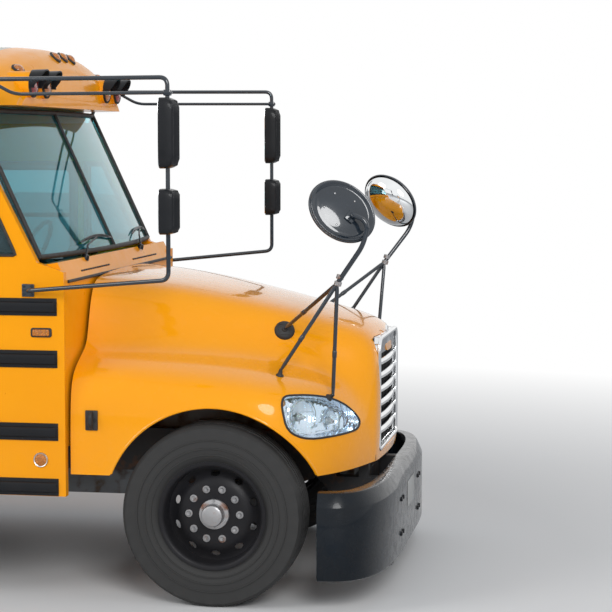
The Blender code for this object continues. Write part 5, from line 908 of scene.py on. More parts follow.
def headlamp(label, side):
    bowl = bmesh.new()
    grid, facing = lamp_grid(side, 26, bowl_depth)
    add_loft(bowl, grid[1:], True, (True, False))
    base = dress("lamp_bowl_" + label, bowl, lamp_silver, "hood", 32)
    lens = bmesh.new()
    outer, facing = lamp_grid(side, 10, lambda share, u, v: 0.0025 + 0.004 * (1 - share ** 3))
    inner = [[point - facing * 0.003 for point in row] for row in outer]
    add_loft(lens, outer[1:], True, (True, False))
    add_loft(lens, [outer[-1], inner[-1]], True, (False, False))
    add_loft(lens, inner[1:], True, (True, False))
    bmesh.ops.remove_doubles(lens, verts=lens.verts, dist=0.00005)
    cover = dress("lamp_lens_" + label, lens, lens_clear, "hood", 32)
    rim = [point + facing * 0.001 for point in outer[-1]]
    seal = bmesh.new()
    add_ring(seal, rim, 0.0058, 8)
    dress("lamp_gasket_" + label, seal, gasket_rubber, "hood", 32)
    place = lamp_place(side)
    bulbs = bmesh.new()
    for du, dv, radius, deep in DISHES:
        point, normal = on_hood(place @ Vector((side * du * LAMP_HALF_WIDTH, dv * LAMP_HALF_HEIGHT, 0.3)),
                                -facing)
        seat = aimed(point - facing * (0.03 + deep), facing)
        add_lathe(bulbs, [(0.0, 0.042), (0.01, 0.038), (0.014, 0.026), (0.014, 0.008), (0.02, 0.004),
                          (0.022, 0.0)], seat, 20)
        add_lathe(bulbs, [(radius * 0.98, 0.002), (radius * 1.02, 0.006), (radius * 1.06, 0.002)],
                  aimed(point - facing * 0.045, facing), 40)
    dress("lamp_bulbs_" + label, bulbs, lens_white, "hood", 32)
    turn = bmesh.new()
    point, normal = on_hood(place @ Vector((side * 0.66 * LAMP_HALF_WIDTH, 0.62 * LAMP_HALF_HEIGHT, 0.3)),
                            -facing)
    add_lathe(turn, [(0.0, 0.026), (0.016, 0.022), (0.024, 0.01), (0.026, 0.0)],
              aimed(point - facing * 0.052, facing), 24)
    dress("lamp_turn_" + label, turn, lens_amber, "hood", 32)
    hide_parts("headlamp_" + label)
    return cover


def silver_bowl():
    tree, shader = new_finish("lamp_silver")
    flutes = bands(tree, 13.0, "X")
    tints = noise_mask(tree, 5.0, 2.0, 0.3, 0.7)
    feed(shader, Base_Color=tint(tree, tints, (0.86, 0.89, 0.95), (0.7, 0.82, 0.93)))
    feed(shader, Roughness=noise_mask(tree, 30.0, 3.0, 0.3, 0.7, 0.06, 0.14))
    feed(shader, Metallic=1.0)
    relief(tree, shader, [(flutes, 0.7, 0.003), (grain(tree, 70.0, 2.0), 0.05, 0.0004)])
    return bpy.data.materials["lamp_silver"]


lamp_silver = silver_bowl()
for label, side in SIDES:
    print("lamp", label, "faces:", len(headlamp(label, side).data.polygons))

# %% [markdown]
# The two domed mirrors let the driver see the ground ahead of the bumper. Each is a chromed oval dome in a
# rolled black rim, with a dished back that carries a square bracket. A bent arm runs down to a clamp, where
# three tubes spread to rubber feet on the fender and the hood's side. The head is turned as a round form and
# then squeezed to an oval, which keeps the rim's section even.

# %% Crossview mirrors
MIRROR_LONG, MIRROR_SHORT, MIRROR_DOME = 0.19, 0.155, 0.085
MIRROR_ROLL = radians(35.0)
MIRROR_X, MIRROR_SIDE, MIRROR_Z = 5.34, 1.0, 2.16
JOINT_X, JOINT_SIDE, JOINT_Z = 5.31, 0.96, 1.77


def head_place(side):
    facing = Vector((-0.38, -0.85 * side, -0.32)).normalized()
    ahead = Vector((cos(MIRROR_ROLL), 0, -sin(MIRROR_ROLL)))
    long_way = (ahead - facing * ahead.dot(facing)).normalized()
    turn = Matrix((long_way.cross(facing), long_way, facing)).transposed().to_4x4()
    centre = Vector((MIRROR_X, side * MIRROR_SIDE, MIRROR_Z))
    return Matrix.Translation(centre) @ turn, facing, centre


def foot_seats(side):
    """Each foot's place on the skin, the skin's direction there and the foot's radius."""
    seats = []
    for back, across in ((0.1406, 0.714), (0.306, 0.756)):
        place, normal = on_hood((NOSE_X - HOOD_LENGTH * back, side * HOOD_HALF * across, 3.1), (0, 0, -1))
        seats.append((place, normal, 0.022))
    place, normal = on_hood((NOSE_X - HOOD_LENGTH * 0.328, side * 1.5, HOOD_LIP_Z + HOOD_RISE * 0.701),
                            (0, -side, 0))
    return seats + [(place, normal, 0.058)]


def mirror_head(label, side):
    place, facing, centre = head_place(side)
    squeeze = place @ Matrix.Diagonal((MIRROR_SHORT / MIRROR_LONG, 1, 1, 1))
    glass = bmesh.new()
    dome = [(MIRROR_LONG * 0.97 * sin(pi / 2 * share), MIRROR_DOME * cos(pi / 2 * share))
            for share in shares(14)]
    add_lathe(glass, dome, squeeze, 72)
    dress("crossview_dome_" + label, glass, mirror_glass, "hood", 60)
    back = bmesh.new()
    rim = [(MIRROR_LONG - 0.002 + 0.0095 * sin(turn), -0.004 + 0.0095 * cos(turn))
           for turn in (pi * (0.15 + 1.25 * share) for share in shares(8))]
    second = [(MIRROR_LONG - 0.008 + 0.007 * sin(turn), -0.019 + 0.007 * cos(turn))
              for turn in (pi * (0.2 + step / 6) for step in range(6))]
    dish = [(MIRROR_LONG * share, depth) for share, depth in ((0.9, -0.02), (0.86, -0.013), (0.78, -0.0115),
                                                              (0.7, -0.016), (0.45, -0.0225), (0.2, -0.0255),
                                                              (0, -0.0262))]
    add_lathe(back, rim + second + dish, squeeze, 72)
    shell = dress("crossview_back_" + label, back, gloss_black, "hood", 50)
    return shell, place, facing, centre


def mirror_arm(label, side, place, facing, centre):
    form = bmesh.new()
    plate_turn = place.to_3x3().to_4x4()
    middle = centre - facing * 0.034 + place.to_3x3() @ Vector((0, 0.055, 0))
    add_box(form, middle - Vector((0.032, 0.026, 0.005)), middle + Vector((0.032, 0.026, 0.005)), 0.003,
            plate_turn)
    stem = middle - facing * 0.028
    add_tube(form, [middle, stem - facing * 0.008], 0.012, 16)
    for across in (-0.022, 0.022):
        add_bolt(form, middle + place.to_3x3() @ Vector((across, 0.0, -0.005)), -facing, 0.006, 0.006)
    add_bolt(form, stem - facing * 0.008, -facing, 0.009, 0.01)
    rim_out = centre - facing * 0.062 + Vector((0.13, 0, -0.07))
    elbow = Vector((MIRROR_X + 0.125, centre.y - facing.y * 0.055, MIRROR_Z - 0.175))
    joint = Vector((JOINT_X, side * JOINT_SIDE, JOINT_Z))
    add_tube(form, bent([stem, rim_out, elbow, joint], 0.055, 8), 0.0135, 14)
    for seat, normal, radius in foot_seats(side):
        top = seat + normal * (0.034 if radius < 0.05 else 0.026)
        route = [joint, joint.lerp(top, 0.06), joint.lerp(top, 0.5), joint.lerp(top, 0.93), top]
        add_tube(form, route, [0.007, 0.0112, 0.0112, 0.0112, 0.008], 12)
        add_tube(form, [joint.lerp(top, 0.6), joint.lerp(top, 0.605), joint.lerp(top, 0.66),
                        joint.lerp(top, 0.665)], [0.0113, 0.0135, 0.0135, 0.0113], 12)
    dress("crossview_arm_" + label, form, gloss_black, "hood")
    return joint


def mirror_clamps(label, side, joint, place, facing):
    form = bmesh.new()
    for rise, along in ((0.0, 0.0), (0.035, 0.012)):
        seat = aimed(joint + Vector((along, 0, rise - 0.012)), Vector((0.3, 0, 1)))
        add_lathe(form, [(0.0, 0.024), (0.019, 0.024), (0.021, 0.022), (0.021, 0.002), (0.019, 0.0),
                         (0.0, 0.0)], seat, 20)
        add_bolt(form, joint + Vector((along + 0.004, side * 0.021, rise)), (0, side, 0), 0.0065, 0.01)
    for across, up in ((-0.085, 0.02), (0.085, 0.02), (0.05, -0.09), (-0.05, -0.09)):
        spot_on = place @ Vector((across, up, -0.0225))
        add_rivet(form, spot_on, -facing, 0.0055)
    dress("crossview_clamps_" + label, form, steel_nut, "hood", 32)


def mirror_feet(label, side):
    form = bmesh.new()
    for seat, normal, radius in foot_seats(side):
        base = aimed(seat + normal * 0.0005, normal)
        if radius < 0.05:
            profile = [(0.0, 0.038), (0.009, 0.038), (0.0105, 0.03), (0.013, 0.012), (0.021, 0.005),
                       (0.022, 0.0)]
        else:
            profile = [(0.0, 0.028), (0.014, 0.028), (0.017, 0.02), (0.034, 0.018), (0.046, 0.014),
                       (0.055, 0.007), (0.058, 0.0)]
        add_lathe(form, profile, base, 36)
        if radius > 0.05:
            for ridge in range(5):
                turn = base.to_3x3() @ Vector((0, 1, 0))
                middle = seat + normal * 0.017 + turn * (0.016 * (ridge - 2))
                reach = base.to_3x3() @ Vector((1, 0, 0)) * (0.04 - 0.006 * abs(ridge - 2))
                add_tube(form, [middle - reach, middle + reach], 0.0032, 8)
    dress("crossview_feet_" + label, form, gasket_rubber, "hood", 50)


for label, side in SIDES:
    shell, place, facing, centre = mirror_head(label, side)
    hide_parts("crossview_" + label)
    joint = mirror_arm(label, side, place, facing, centre)
    mirror_clamps(label, side, joint, place, facing)
    mirror_feet(label, side)
    print("crossview", label, "head faces:", len(shell.data.polygons))

# %% [markdown]
# The bumper is a pressed steel channel, bowed right round the corners, with a sloped band along its top edge
# that catches the light. One section is carried along the bumper's plan line; the line follows the model's
# own with many more steps and squarer corners. Bolts, two tow hooks and a bare number plate sit on its face.

# %% Bumper line
BUMPER_FLAT, BUMPER_SWEEP, BUMPER_LOW_Z, BUMPER_SQUARE = 0.24, 0.36, 0.18, 3


def bumper_line():
    """Plan points of the bumper's outer face from end to end, with the outward direction."""
    wide, steps = SIDE - BUMPER_FLAT, 40
    half = [Vector((FRONT, 0, 0)), Vector((FRONT, BUMPER_FLAT, 0))]
    for step in range(1, steps + 1):
        turn = pi / 2 * step / steps
        forward = cos(turn) ** (2 / BUMPER_SQUARE) if step < steps else 0.0
        across = sin(turn) ** (2 / BUMPER_SQUARE)
        half.append(Vector((FRONT - BUMPER_SWEEP * (1 - forward), BUMPER_FLAT + wide * across, 0)))
    points = [Vector((point.x, -point.y, 0)) for point in reversed(half[1:])] + half
    line = []
    for step, point in enumerate(points):
        along = points[min(step + 1, len(points) - 1)] - points[max(step - 1, 0)]
        out = Vector((along.y, -along.x, 0)).normalized()
        line.append((point.x, point.y, out.x, out.y))
    return line


def bumper_x(y):
    """How far forward the bumper's face is at a distance from the middle."""
    share = max(0.0, abs(y) - BUMPER_FLAT) / (SIDE - BUMPER_FLAT)
    return FRONT - BUMPER_SWEEP * (1 - (1 - share ** BUMPER_SQUARE) ** (1 / BUMPER_SQUARE))

# %% Front bumper
section = ((0.1, 0.02), (0.1, 0.004), (0.014, 0.0), (0.004, 0.006), (0.0, 0.018), (0.0, 0.4), (0.003, 0.408),
           (0.03, 0.466), (0.038, 0.476), (0.05, 0.48), (0.104, 0.48), (0.104, 0.47), (0.05, 0.468),
           (0.04, 0.462), (0.014, 0.404), (0.012, 0.396), (0.012, 0.02), (0.018, 0.012))
form = bmesh.new()
rings = []
for x, y, ox, oy in bumper_line():
    rings.append([(x - ox * inward, y - oy * inward, BUMPER_LOW_Z + up) for inward, up in section])
add_loft(form, rings)
bar = dress("bumper_bar", form, bumper_black, sharp=24)
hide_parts("front_bumper")
print("bumper faces:", len(bar.data.polygons))

# %% Bumper fittings
HOOK_SIDE = 0.52
form = bmesh.new()
for side in (1, -1):
    for y in (0.36, 0.44):
        for z in (0.3, 0.5):
            add_bolt(form, (bumper_x(y) - 0.002, side * y, z), (1, side * 0.05, 0), 0.014, 0.011)
    hook = [(x, side * HOOK_SIDE, z) for x, z in ((5.46, 0.2), (5.55, 0.2), (5.565, 0.165), (5.54, 0.135),
                                                  (5.47, 0.145))]
    add_tube(form, bent(hook, 0.02, 5), 0.0125, 12)
dress("bumper_fittings", form, satin_black, sharp=32)

# %% Blank plate
form = bmesh.new()
add_box(form, (FRONT + 0.0005, -0.152, 0.4), (FRONT + 0.0035, 0.152, 0.552), 0.001)
for y in (-0.11, 0.11):
    for z in (0.415, 0.537):
        add_bolt(form, (FRONT + 0.0035, y, z), (1, 0, 0), 0.005, 0.003)
dress("front_plate", form, panel_grey, sharp=32)

# %% [markdown]
# The windshield is one wide bowed sheet in a black rubber channel, with a thin upright where its halves meet.
# Two long wipers park along its foot. The channel is a tube that runs once round the glass, on the same bowed
# surface as the model's, so it lies tight against the pillars, the cap and the cowl.

# %% Windshield
SCREEN_HALF, SCREEN_GLASS = INNER_SIDE - 2 * SEAT_GAP, 0.012
SCREEN_LEAN = Vector((SCREEN_TOP_Z - SCREEN_BASE_Z, 0, SCREEN_BASE_X - SCREEN_TOP_X)).normalized()


def screen_point(across, up, out=0.0):
    x = SCREEN_BASE_X + (SCREEN_TOP_X - SCREEN_BASE_X) * up + SCREEN_BOW * (1 - across ** 2)
    return Vector((x, across * SCREEN_HALF,
                   SCREEN_BASE_Z + (SCREEN_TOP_Z - SCREEN_BASE_Z) * up)) + SCREEN_LEAN * out

# %% Screen sheet
# Two bowed skins, as thick as the glass, closed round the rim.
form = bmesh.new()
rings = []
for share in shares(72):
    outer = [screen_point(2 * share - 1, up) for up in (0.02, 0.97)]
    rings.append([*outer, outer[1] - SCREEN_LEAN * SCREEN_GLASS, outer[0] - SCREEN_LEAN * SCREEN_GLASS])
add_loft(form, rings)
sheet = dress("windshield_sheet", form, windshield_glass)
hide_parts("windshield")

# %% Screen trim
form = bmesh.new()
low, high, wide = 0.028, 0.962, 0.985
across = [wide * (2 * share - 1) for share in shares(40)]
rise = [low + (high - low) * share for share in shares(12)][1:-1]
places = ([(step, low) for step in across] + [(wide, up) for up in rise]
          + [(step, high) for step in across[::-1]] + [(-wide, up) for up in rise[::-1]])
route = [screen_point(*place, 0.005) for place in places]
add_ring(form, route, 0.0145, 10)
post = [screen_point(0, low + (high - low) * share, 0.006) for share in shares(8)]
add_tube(form, post, 0.011, 10)
dress("windshield_gasket", form, gasket_rubber, sharp=50)

# %% Wipers
form = bmesh.new()
for foot, tip in ((-0.55, 0.02), (0.45, 1.0)):
    pivot = screen_point(foot, 0.0, 0.0) + Vector((0.03, 0, -0.012))
    add_lathe(form, [(0.0, 0.03), (0.013, 0.028), (0.018, 0.016), (0.022, 0.0)], aimed(pivot, (0.45, 0, 0.9)),
              20)
    elbow = screen_point((foot * 0.55 + tip * 0.45) * 0.95, 0.1, 0.026)
    knee = screen_point(foot * 0.85 + tip * 0.15, 0.06, 0.036)
    add_tube(form, bent([pivot + Vector((0.006, 0, 0.02)), knee, elbow], 0.02), 0.0055, 8)
    arch = [sin(pi * share) for share in shares(20)]
    blade = [screen_point((foot + (tip - foot) * (0.06 + 0.92 * share)) * 0.96, 0.085 + 0.03 * rise, 0.013)
             for share, rise in zip(shares(20), arch)]
    add_tube(form, blade, [0.0035 + 0.003 * rise for rise in arch], 8, True, 1.5)
    bridge = [point + Vector((0.006, 0, 0.007 * rise)) for rise, point in zip(arch, blade)]
    add_tube(form, bridge[3:18], 0.0035, 6)
dress("wipers", form, satin_black)

# %% Cowl vents
# Air slots and a rubber strip on the deck ahead of the windshield.
form = bmesh.new()
for side in (1, -1):
    for slot in range(13):
        y = side * (0.28 + slot * 0.045)
        add_box(form, (3.812, y - 0.014, 1.803), (3.842, y + 0.014, 1.812), 0.003,
                Matrix.Rotation(radians(-42), 4, "Y"))
add_tube(form, [(COWL_X + 0.004, y / 20, 1.775) for y in range(-23, 24)], 0.009, 8)
dress("cowl_vents", form, gasket_rubber)

# %% [markdown]
# Tall flat mirrors stand out at each front corner on a frame of black tube. The back of each head is a
# moulded shell with upright flutes and softly rounded ends. The shell is a grid whose outline is a
# squared-off oval, and the flutes are a cosine across its width.

# %% Rear-view mirrors
HEAD_X, HEAD_SIDE, HEAD_DEPTH, HEAD_WIDTH = 4.45, 1.42, 0.07, 0.17
HEAD_Z, HEAD_HEIGHT, SPOT_Z, SPOT_HEIGHT = 2.58, 0.37, 2.17, 0.24
ARM_TOP_Z, ARM_LOW_Z = HEAD_Z + HEAD_HEIGHT / 2 + 0.105, SCREEN_BASE_Z - 0.07


def fluted_shell(form, y, z, tall):
    x, width, depth = HEAD_X + 0.004, HEAD_WIDTH, HEAD_DEPTH
    rings = []
    for deep in range(9):
        share = deep / 8
        pull = 1 - 0.2 * max(0.0, share - 0.45) ** 1.6
        ring = []
        for step in range(72):
            turn = 2 * pi * step / 72
            power = 0.32
            across = abs(cos(turn)) ** power * (1 if cos(turn) >= 0 else -1)
            up = abs(sin(turn)) ** power * (1 if sin(turn) >= 0 else -1)
            ring.append(Vector((x + depth * share, y + across * width / 2 * pull, z + up * tall / 2 * pull)))
        rings.append(ring)
    add_loft(form, rings, True, (True, False))
    rows, columns = 10, 48
    pull = 1 - 0.2 * 0.55 ** 1.6
    grid = []
    for row in range(rows + 1):
        line = []
        for column in range(columns + 1):
            across, up = 2 * column / columns - 1, 2 * row / rows - 1
            edge = min(1.0, (1 - max(abs(across) ** 4, abs(up) ** 6)) * 3)
            ridge = 0.0045 * edge * (1 + cos(across * pi * 7))
            line.append(Vector((x + depth * 0.94 + ridge + 0.004 * edge, y + across * width / 2 * pull * 0.985,
                                z + up * tall / 2 * pull * 0.985)))
        grid.append(line)
    add_loft(form, grid, False, (False, False))


def side_mirror(label, side):
    y = side * HEAD_SIDE
    form = bmesh.new()
    fluted_shell(form, y, HEAD_Z, HEAD_HEIGHT)
    fluted_shell(form, y, SPOT_Z, SPOT_HEIGHT)
    shell = dress("side_mirror_shell_" + label, form, satin_black, sharp=45)
    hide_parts("side_mirror_" + label)
    glass = bmesh.new()
    add_box(glass, (HEAD_X, y - 0.074, HEAD_Z - 0.172), (HEAD_X + 0.006, y + 0.074, HEAD_Z + 0.172), 0.002)
    add_box(glass, (HEAD_X - 0.001, y - 0.074, SPOT_Z - 0.108), (HEAD_X + 0.006, y + 0.074, SPOT_Z + 0.108),
            0.003)
    dress("side_mirror_glass_" + label, glass, mirror_glass, sharp=32)


def mirror_frame(label, side):
    y, x = side * HEAD_SIDE, HEAD_X + HEAD_DEPTH / 2
    wall, bend = side * (SIDE + SEAT_GAP), side * (SIDE + 0.036)
    form = bmesh.new()
    top_x, top_z = SCREEN_TOP_X - 0.05, EAVE_Z - 0.05
    base_x, base_z = SCREEN_BASE_X - 0.05, SCREEN_BASE_Z - 0.15
    route = [(top_x, wall, top_z), (top_x, bend, top_z), (SCREEN_TOP_X + 0.05, bend, ARM_TOP_Z),
             (x, y, ARM_TOP_Z), (x, y, ARM_LOW_Z), (base_x, bend, base_z), (base_x, wall, base_z)]
    add_tube(form, bent(route, 0.045, 8), 0.012, 14)
    brace_z = HEAD_Z + HEAD_HEIGHT / 2 + 0.025
    add_tube(form, bent([(SCREEN_TOP_X + 0.16, bend + side * 0.02, ARM_TOP_Z - 0.004),
                         (SCREEN_TOP_X + 0.3, bend + side * 0.02, brace_z), (x, y, brace_z)], 0.05, 6),
             0.0095, 12)
    for z in (HEAD_Z + 0.12, HEAD_Z - 0.12, SPOT_Z + 0.06, SPOT_Z - 0.06, brace_z):
        add_box(form, (x - 0.02, y - 0.019, z - 0.016), (x + 0.02, y + 0.019, z + 0.016), 0.006)
        add_bolt(form, (x + 0.02, y, z), (1, 0, 0), 0.006, 0.006)
    for root in (route[0], route[-1]):
        middle = Vector(root) + Vector((0, side * 0.004, 0))
        add_box(form, middle - Vector((0.035, 0.004, 0.035)), middle + Vector((0.035, 0.004, 0.035)), 0.003)
        for dx in (-0.022, 0.022):
            for dz in (-0.022, 0.022):
                add_bolt(form, middle + Vector((dx, side * 0.004, dz)), (0, side, 0), 0.005, 0.005)
    dress("side_mirror_frame_" + label, form, gloss_black)


for label, side in SIDES:
    side_mirror(label, side)
    mirror_frame(label, side)
print("mirrors stand out to", HEAD_SIDE + HEAD_WIDTH / 2)

# %% [markdown]
# Over the windshield the cap carries four warning lamps, two red outside and two amber inside, each under a
# black hood, and a row of small clearance lamps. Hoods are half tubes with a rolled edge; the lenses are
# shallow domes.

# %% Cap lamps
def lamp_dome(form, centre, direction, radius, rise=0.018):
    profile = [(radius * sin(pi / 2 * share), rise * cos(pi / 2 * share)) for share in shares(8)]
    add_lathe(form, profile + [(radius, -0.006)], aimed(centre, direction), 40)


def lamp_hood(form, centre, direction, radius, reach):
    """A half-round visor over a lamp."""
    ahead = Vector(direction).normalized()
    rings = []
    for share in shares(24):
        turn = pi * (-0.08 + 1.16 * share)
        out = Vector((0, cos(turn), sin(turn)))
        length = reach * (0.35 + 0.65 * max(0.0, sin(turn)) ** 0.6)
        rings.append([centre + out * (radius + wide) + ahead * deep for wide, deep in (
            (0.004, 0.0), (0.01, 0.0), (0.012, length), (0.008, length + 0.003), (0.004, length))])
    add_loft(form, rings)


def warning_lamps(label, x, z, radius, direction):
    hoods, red, amber, ring = new_forms(4)
    for side in (1, -1):
        for share, lens in ((0.508, amber), (0.705, red)):
            centre = Vector((x, side * SIDE * share, z))
            lamp_dome(lens, centre + Vector((direction * 0.002, 0, 0)), (direction, 0, 0), radius * 0.9)
            add_lathe(ring, [(radius * 0.9, 0.004), (radius * 0.94, 0.01), (radius * 1.02, 0.006),
                             (radius * 1.03, -0.004)], aimed(centre, (direction, 0, 0)), 40)
            lamp_hood(hoods, centre, (direction, 0, 0), radius, 0.085)
    dress(label + "_lamp_hoods", hoods, satin_black)
    dress(label + "_lamp_rings", ring, gasket_rubber, sharp=50)
    dress(label + "_lamps_red", red, lens_red, sharp=60)
    dress(label + "_lamps_amber", amber, lens_amber, sharp=60)


CAP_STATIONS = ((0.0, 1.0, 1.0), (0.45, 0.985, 0.97), (0.8, 0.94, 0.86), (1.0, 0.87, 0.62))
CAP_LOW, CAP_REACH, CAP_EASE, CAP_BROW = SCREEN_TOP_Z - 0.004, 0.1, 0.012, 0.03
CAP_LAMP_Z, CAP_LAMP_RADIUS = 2.855, 0.072


def cap_share(column, forward):
    """A station's width or height share, eased between the stations of the model's cap."""
    for near, far in zip(CAP_STATIONS, CAP_STATIONS[1:]):
        if forward <= far[0]:
            share = (forward - near[0]) / (far[0] - near[0])
            return near[column] + (far[column] - near[column]) * share
    return CAP_STATIONS[-1][column]


def cap_section(forward, inset):
    """One closed section of the cap: an arch from side to side with a straight foot."""
    samples = [min(1.0, max(0.0, forward + CAP_REACH * shift)) for shift in (-1, -0.5, 0, 0.5, 1)]
    wide = sum(cap_share(1, sample) for sample in samples) / 5
    tall = sum(cap_share(2, sample) for sample in samples) / 5
    if forward == 0:
        wide, tall = 1.0, 1.0
    half, rise = SIDE * wide - inset, (ROOF_Z - EAVE_Z) * tall - inset
    start = asin(min(0.95, (CAP_LOW - EAVE_Z) / rise))
    turns = [start + (pi - 2 * start) * share for share in shares(64)]
    x = ROOF_FRONT + SEAT_GAP + CAP_DEPTH * forward + CAP_EASE * (1 - cos(min(1.0, inset / CAP_BROW) * pi / 2))
    return [Vector((x - CAP_EASE * (forward == 1), -half * cos(turn), EAVE_Z + rise * sin(turn)))
            for turn in turns]


def smooth_cap():
    form = bmesh.new()
    rings = [cap_section(share, 0.0) for share in shares(24)]
    rings += [cap_section(1.0, inset) for inset in (0.008, 0.018, CAP_BROW)]
    add_loft(form, rings)
    face = ROOF_FRONT + CAP_DEPTH
    for side in (1, -1):
        for y in (0.62, 0.86):
            add_lathe(form, [(CAP_LAMP_RADIUS, 0.024), (0.074, 0.018), (0.076, -0.12)],
                      aimed((face, side * y, CAP_LAMP_Z), (1, 0, 0)), 40)
    cap = dress("cap_shell", form, body_yellow, sharp=35)
    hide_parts("front_cap")
    return cap


cap_shell = smooth_cap()

# %% Clearance lamps
# Five amber lamps along the top of the cap, each seated where a ray meets it.
lens, base = new_forms(2)
cap_tree = skin_tree(cap_shell)
for y, z in ((-0.8, 2.94), (-0.15, 3.035), (0.0, 3.04), (0.15, 3.035), (0.8, 2.94)):
    place, normal, *rest = cap_tree.ray_cast(Vector((4.4, y, z)), Vector((-1, 0, 0)))
    seat = aimed(place, normal)
    add_lathe(base, [(0.042, 0.0), (0.042, 0.006), (0.036, 0.011), (0.03, 0.011)], seat, 32)
    add_lathe(lens, [(0.0, 0.028), (0.014, 0.026), (0.026, 0.019), (0.033, 0.008)], seat, 32)
dress("clearance_bases", base, gasket_rubber)
dress("clearance_lenses", lens, lens_amber, sharp=50)

warning_lamps("cap", ROOF_FRONT + CAP_DEPTH + 0.024, CAP_LAMP_Z, CAP_LAMP_RADIUS, 1)
warning_lamps("rear", BODY_REAR - 0.024, 2.873, 0.088, -1)

# %% [markdown]
# The body's long sides are steel sheets joined by overlapping seams and rows of rivets, and stiffened by
# black rub rails pressed to a hat section. Rails run at the skirt, the floor, the seats and under the
# windows. A loft of one section from end to end makes a rail, and each rail stops where a door, a wheel arch
# or the stop arm needs room.

# %% Rub rails, rivets and seams
RAIL_SECTION = ((0.0, -0.048), (0.006, -0.047), (0.008, -0.03), (0.02, -0.024), (0.022, -0.016),
                (0.022, 0.016), (0.02, 0.024), (0.008, 0.03), (0.006, 0.047), (0.0, 0.048))


def rail_run(form, side, x_from, x_to, z):
    wall = side * (SIDE + 0.0002)
    rings = []
    for step, pull in ((0.0, 0.25), (0.012, 0.9), (0.03, 1.0)):
        rings.append([(x_from + step, wall + side * out * pull, z + up) for out, up in RAIL_SECTION])
    for step, pull in ((0.03, 1.0), (0.012, 0.9), (0.0, 0.25)):
        rings.append([(x_to - step, wall + side * out * pull, z + up) for out, up in RAIL_SECTION])
    add_loft(form, rings)
    count = max(2, int((x_to - x_from) / 0.14))
    for rivet in range(count):
        x = x_from + 0.05 + (x_to - x_from - 0.1) * rivet / (count - 1)
        for up in (-0.039, 0.039):
            add_rivet(form, (x, wall + side * 0.0065, z + up), (0, side, 0), 0.0055)


RAIL_LEVELS = {"skirt": 0.65, "floor": 0.955, "seat": 1.355, "window": 1.64}
DOORWAY = (DOOR_REAR_X - 0.07, DOOR_FRONT_X + 0.07)
ARCH_SPAN = (REAR_AXLE_X - ARCH_RADIUS - 0.06, REAR_AXLE_X + ARCH_RADIUS + 0.06)
STOP_SPAN = (2.16, 2.8)


def rails(label, side):
    form = bmesh.new()
    back, ahead = BODY_REAR + 0.03, COWL_X - 0.04
    for name, z in RAIL_LEVELS.items():
        gaps = []
        if z < 1.1:
            gaps.append(ARCH_SPAN if name == "skirt" else (REAR_AXLE_X - 0.46, REAR_AXLE_X + 0.46))
        if side < 0:
            gaps.append(DOORWAY)
        elif name == "seat":
            gaps.append(STOP_SPAN)
        start = back
        for low, high in sorted(gaps) + [(ahead, ahead)]:
            if low - start > 0.2:
                rail_run(form, side, start, low, z)
            start = high
    dress("rub_rails_" + label, form, satin_black)


def panel_seams(label, side):
    """Upright lap seams with their rivets, a drip rail at the eave and a lip round the wheel arch."""
    form = bmesh.new()
    wall = side * SIDE
    for column in range(12):
        x = WINDOW_FIRST_X - 0.055 + WINDOW_PITCH * column
        if side < 0 and DOORWAY[0] < x < DOORWAY[1]:
            continue
        add_box(form, (x - 0.022, wall, WINDOW_LOW_Z - 0.02),
                (x + 0.022, wall + side * 0.0022, EAVE_Z - 0.07), 0.001, None, 1)
        for z in range(8):
            for dx in (-0.012, 0.012):
                add_rivet(form, (x + dx, wall + side * 0.0022, WINDOW_LOW_Z + 0.05 + z * 0.108), (0, side, 0),
                          0.005)
    for z in (EAVE_Z - 0.19, WINDOW_LOW_Z - 0.135, 1.16):
        for step in range(76):
            x = BODY_REAR + 0.08 + step * 0.12
            inside_door = side < 0 and DOORWAY[0] < x < DOORWAY[1]
            near_arch = z < 1.2 and abs(x - REAR_AXLE_X) < 0.2
            past_post = x > (DOOR_FRONT_X if z > 1.9 else COWL_X - 0.3)
            if not inside_door and not near_arch and not past_post:
                add_rivet(form, (x, wall, z), (0, side, 0), 0.0052)
    drip = [Vector((x, wall + side * 0.01, EAVE_Z - 0.028)) for x in (BODY_REAR + 0.02, -3.0, 0.0, 2.0,
            SCREEN_TOP_X - 0.02)]
    add_tube(form, drip, 0.011, 10)
    arch = []
    for share in shares(48):
        turn = radians(9.6 + 160.8 * share)
        arch.append(Vector((REAR_AXLE_X + (ARCH_RADIUS + 0.006) * cos(turn), wall + side * 0.004,
                            TYRE_RADIUS + (ARCH_RADIUS + 0.006) * sin(turn))))
    add_tube(form, arch, 0.011, 10)
    skirt = [Vector((x, wall - side * 0.008, SKIRT_Z + 0.002))
             for x in (BODY_REAR + 0.02, ARCH_SPAN[0] + 0.02)]
    add_tube(form, skirt, 0.01, 8)
    dress("panel_seams_" + label, form, body_yellow)

# %% [markdown]
# Each passenger window is a split sash in an alloy frame: the upper half drops past the lower one. Frames are
# loops of square section with rounded corners and a thin rubber seal, and a latch sits at each end of the
# middle bar. All the frames of one side are one mesh, because the real ones are all the same pressing.

# %% Window frames
def round_loop(low_x, high_x, low_z, high_z, corner, steps=5):
    loop = []
    for cx, cz, start in ((high_x - corner, low_z + corner, -pi / 2), (high_x - corner, high_z - corner, 0.0),
                          (low_x + corner, high_z - corner, pi / 2), (low_x + corner, low_z + corner, pi)):
        loop += arc_points((cx, cz), corner, start, pi / 2, steps)
    return loop


def inset_loop(low_x, high_x, low_z, high_z, inset, corner, steps=5):
    """The same rounded loop, drawn in on every side, or out where the inset is negative."""
    return round_loop(low_x + inset, high_x - inset, low_z + inset, high_z - inset, corner, steps)


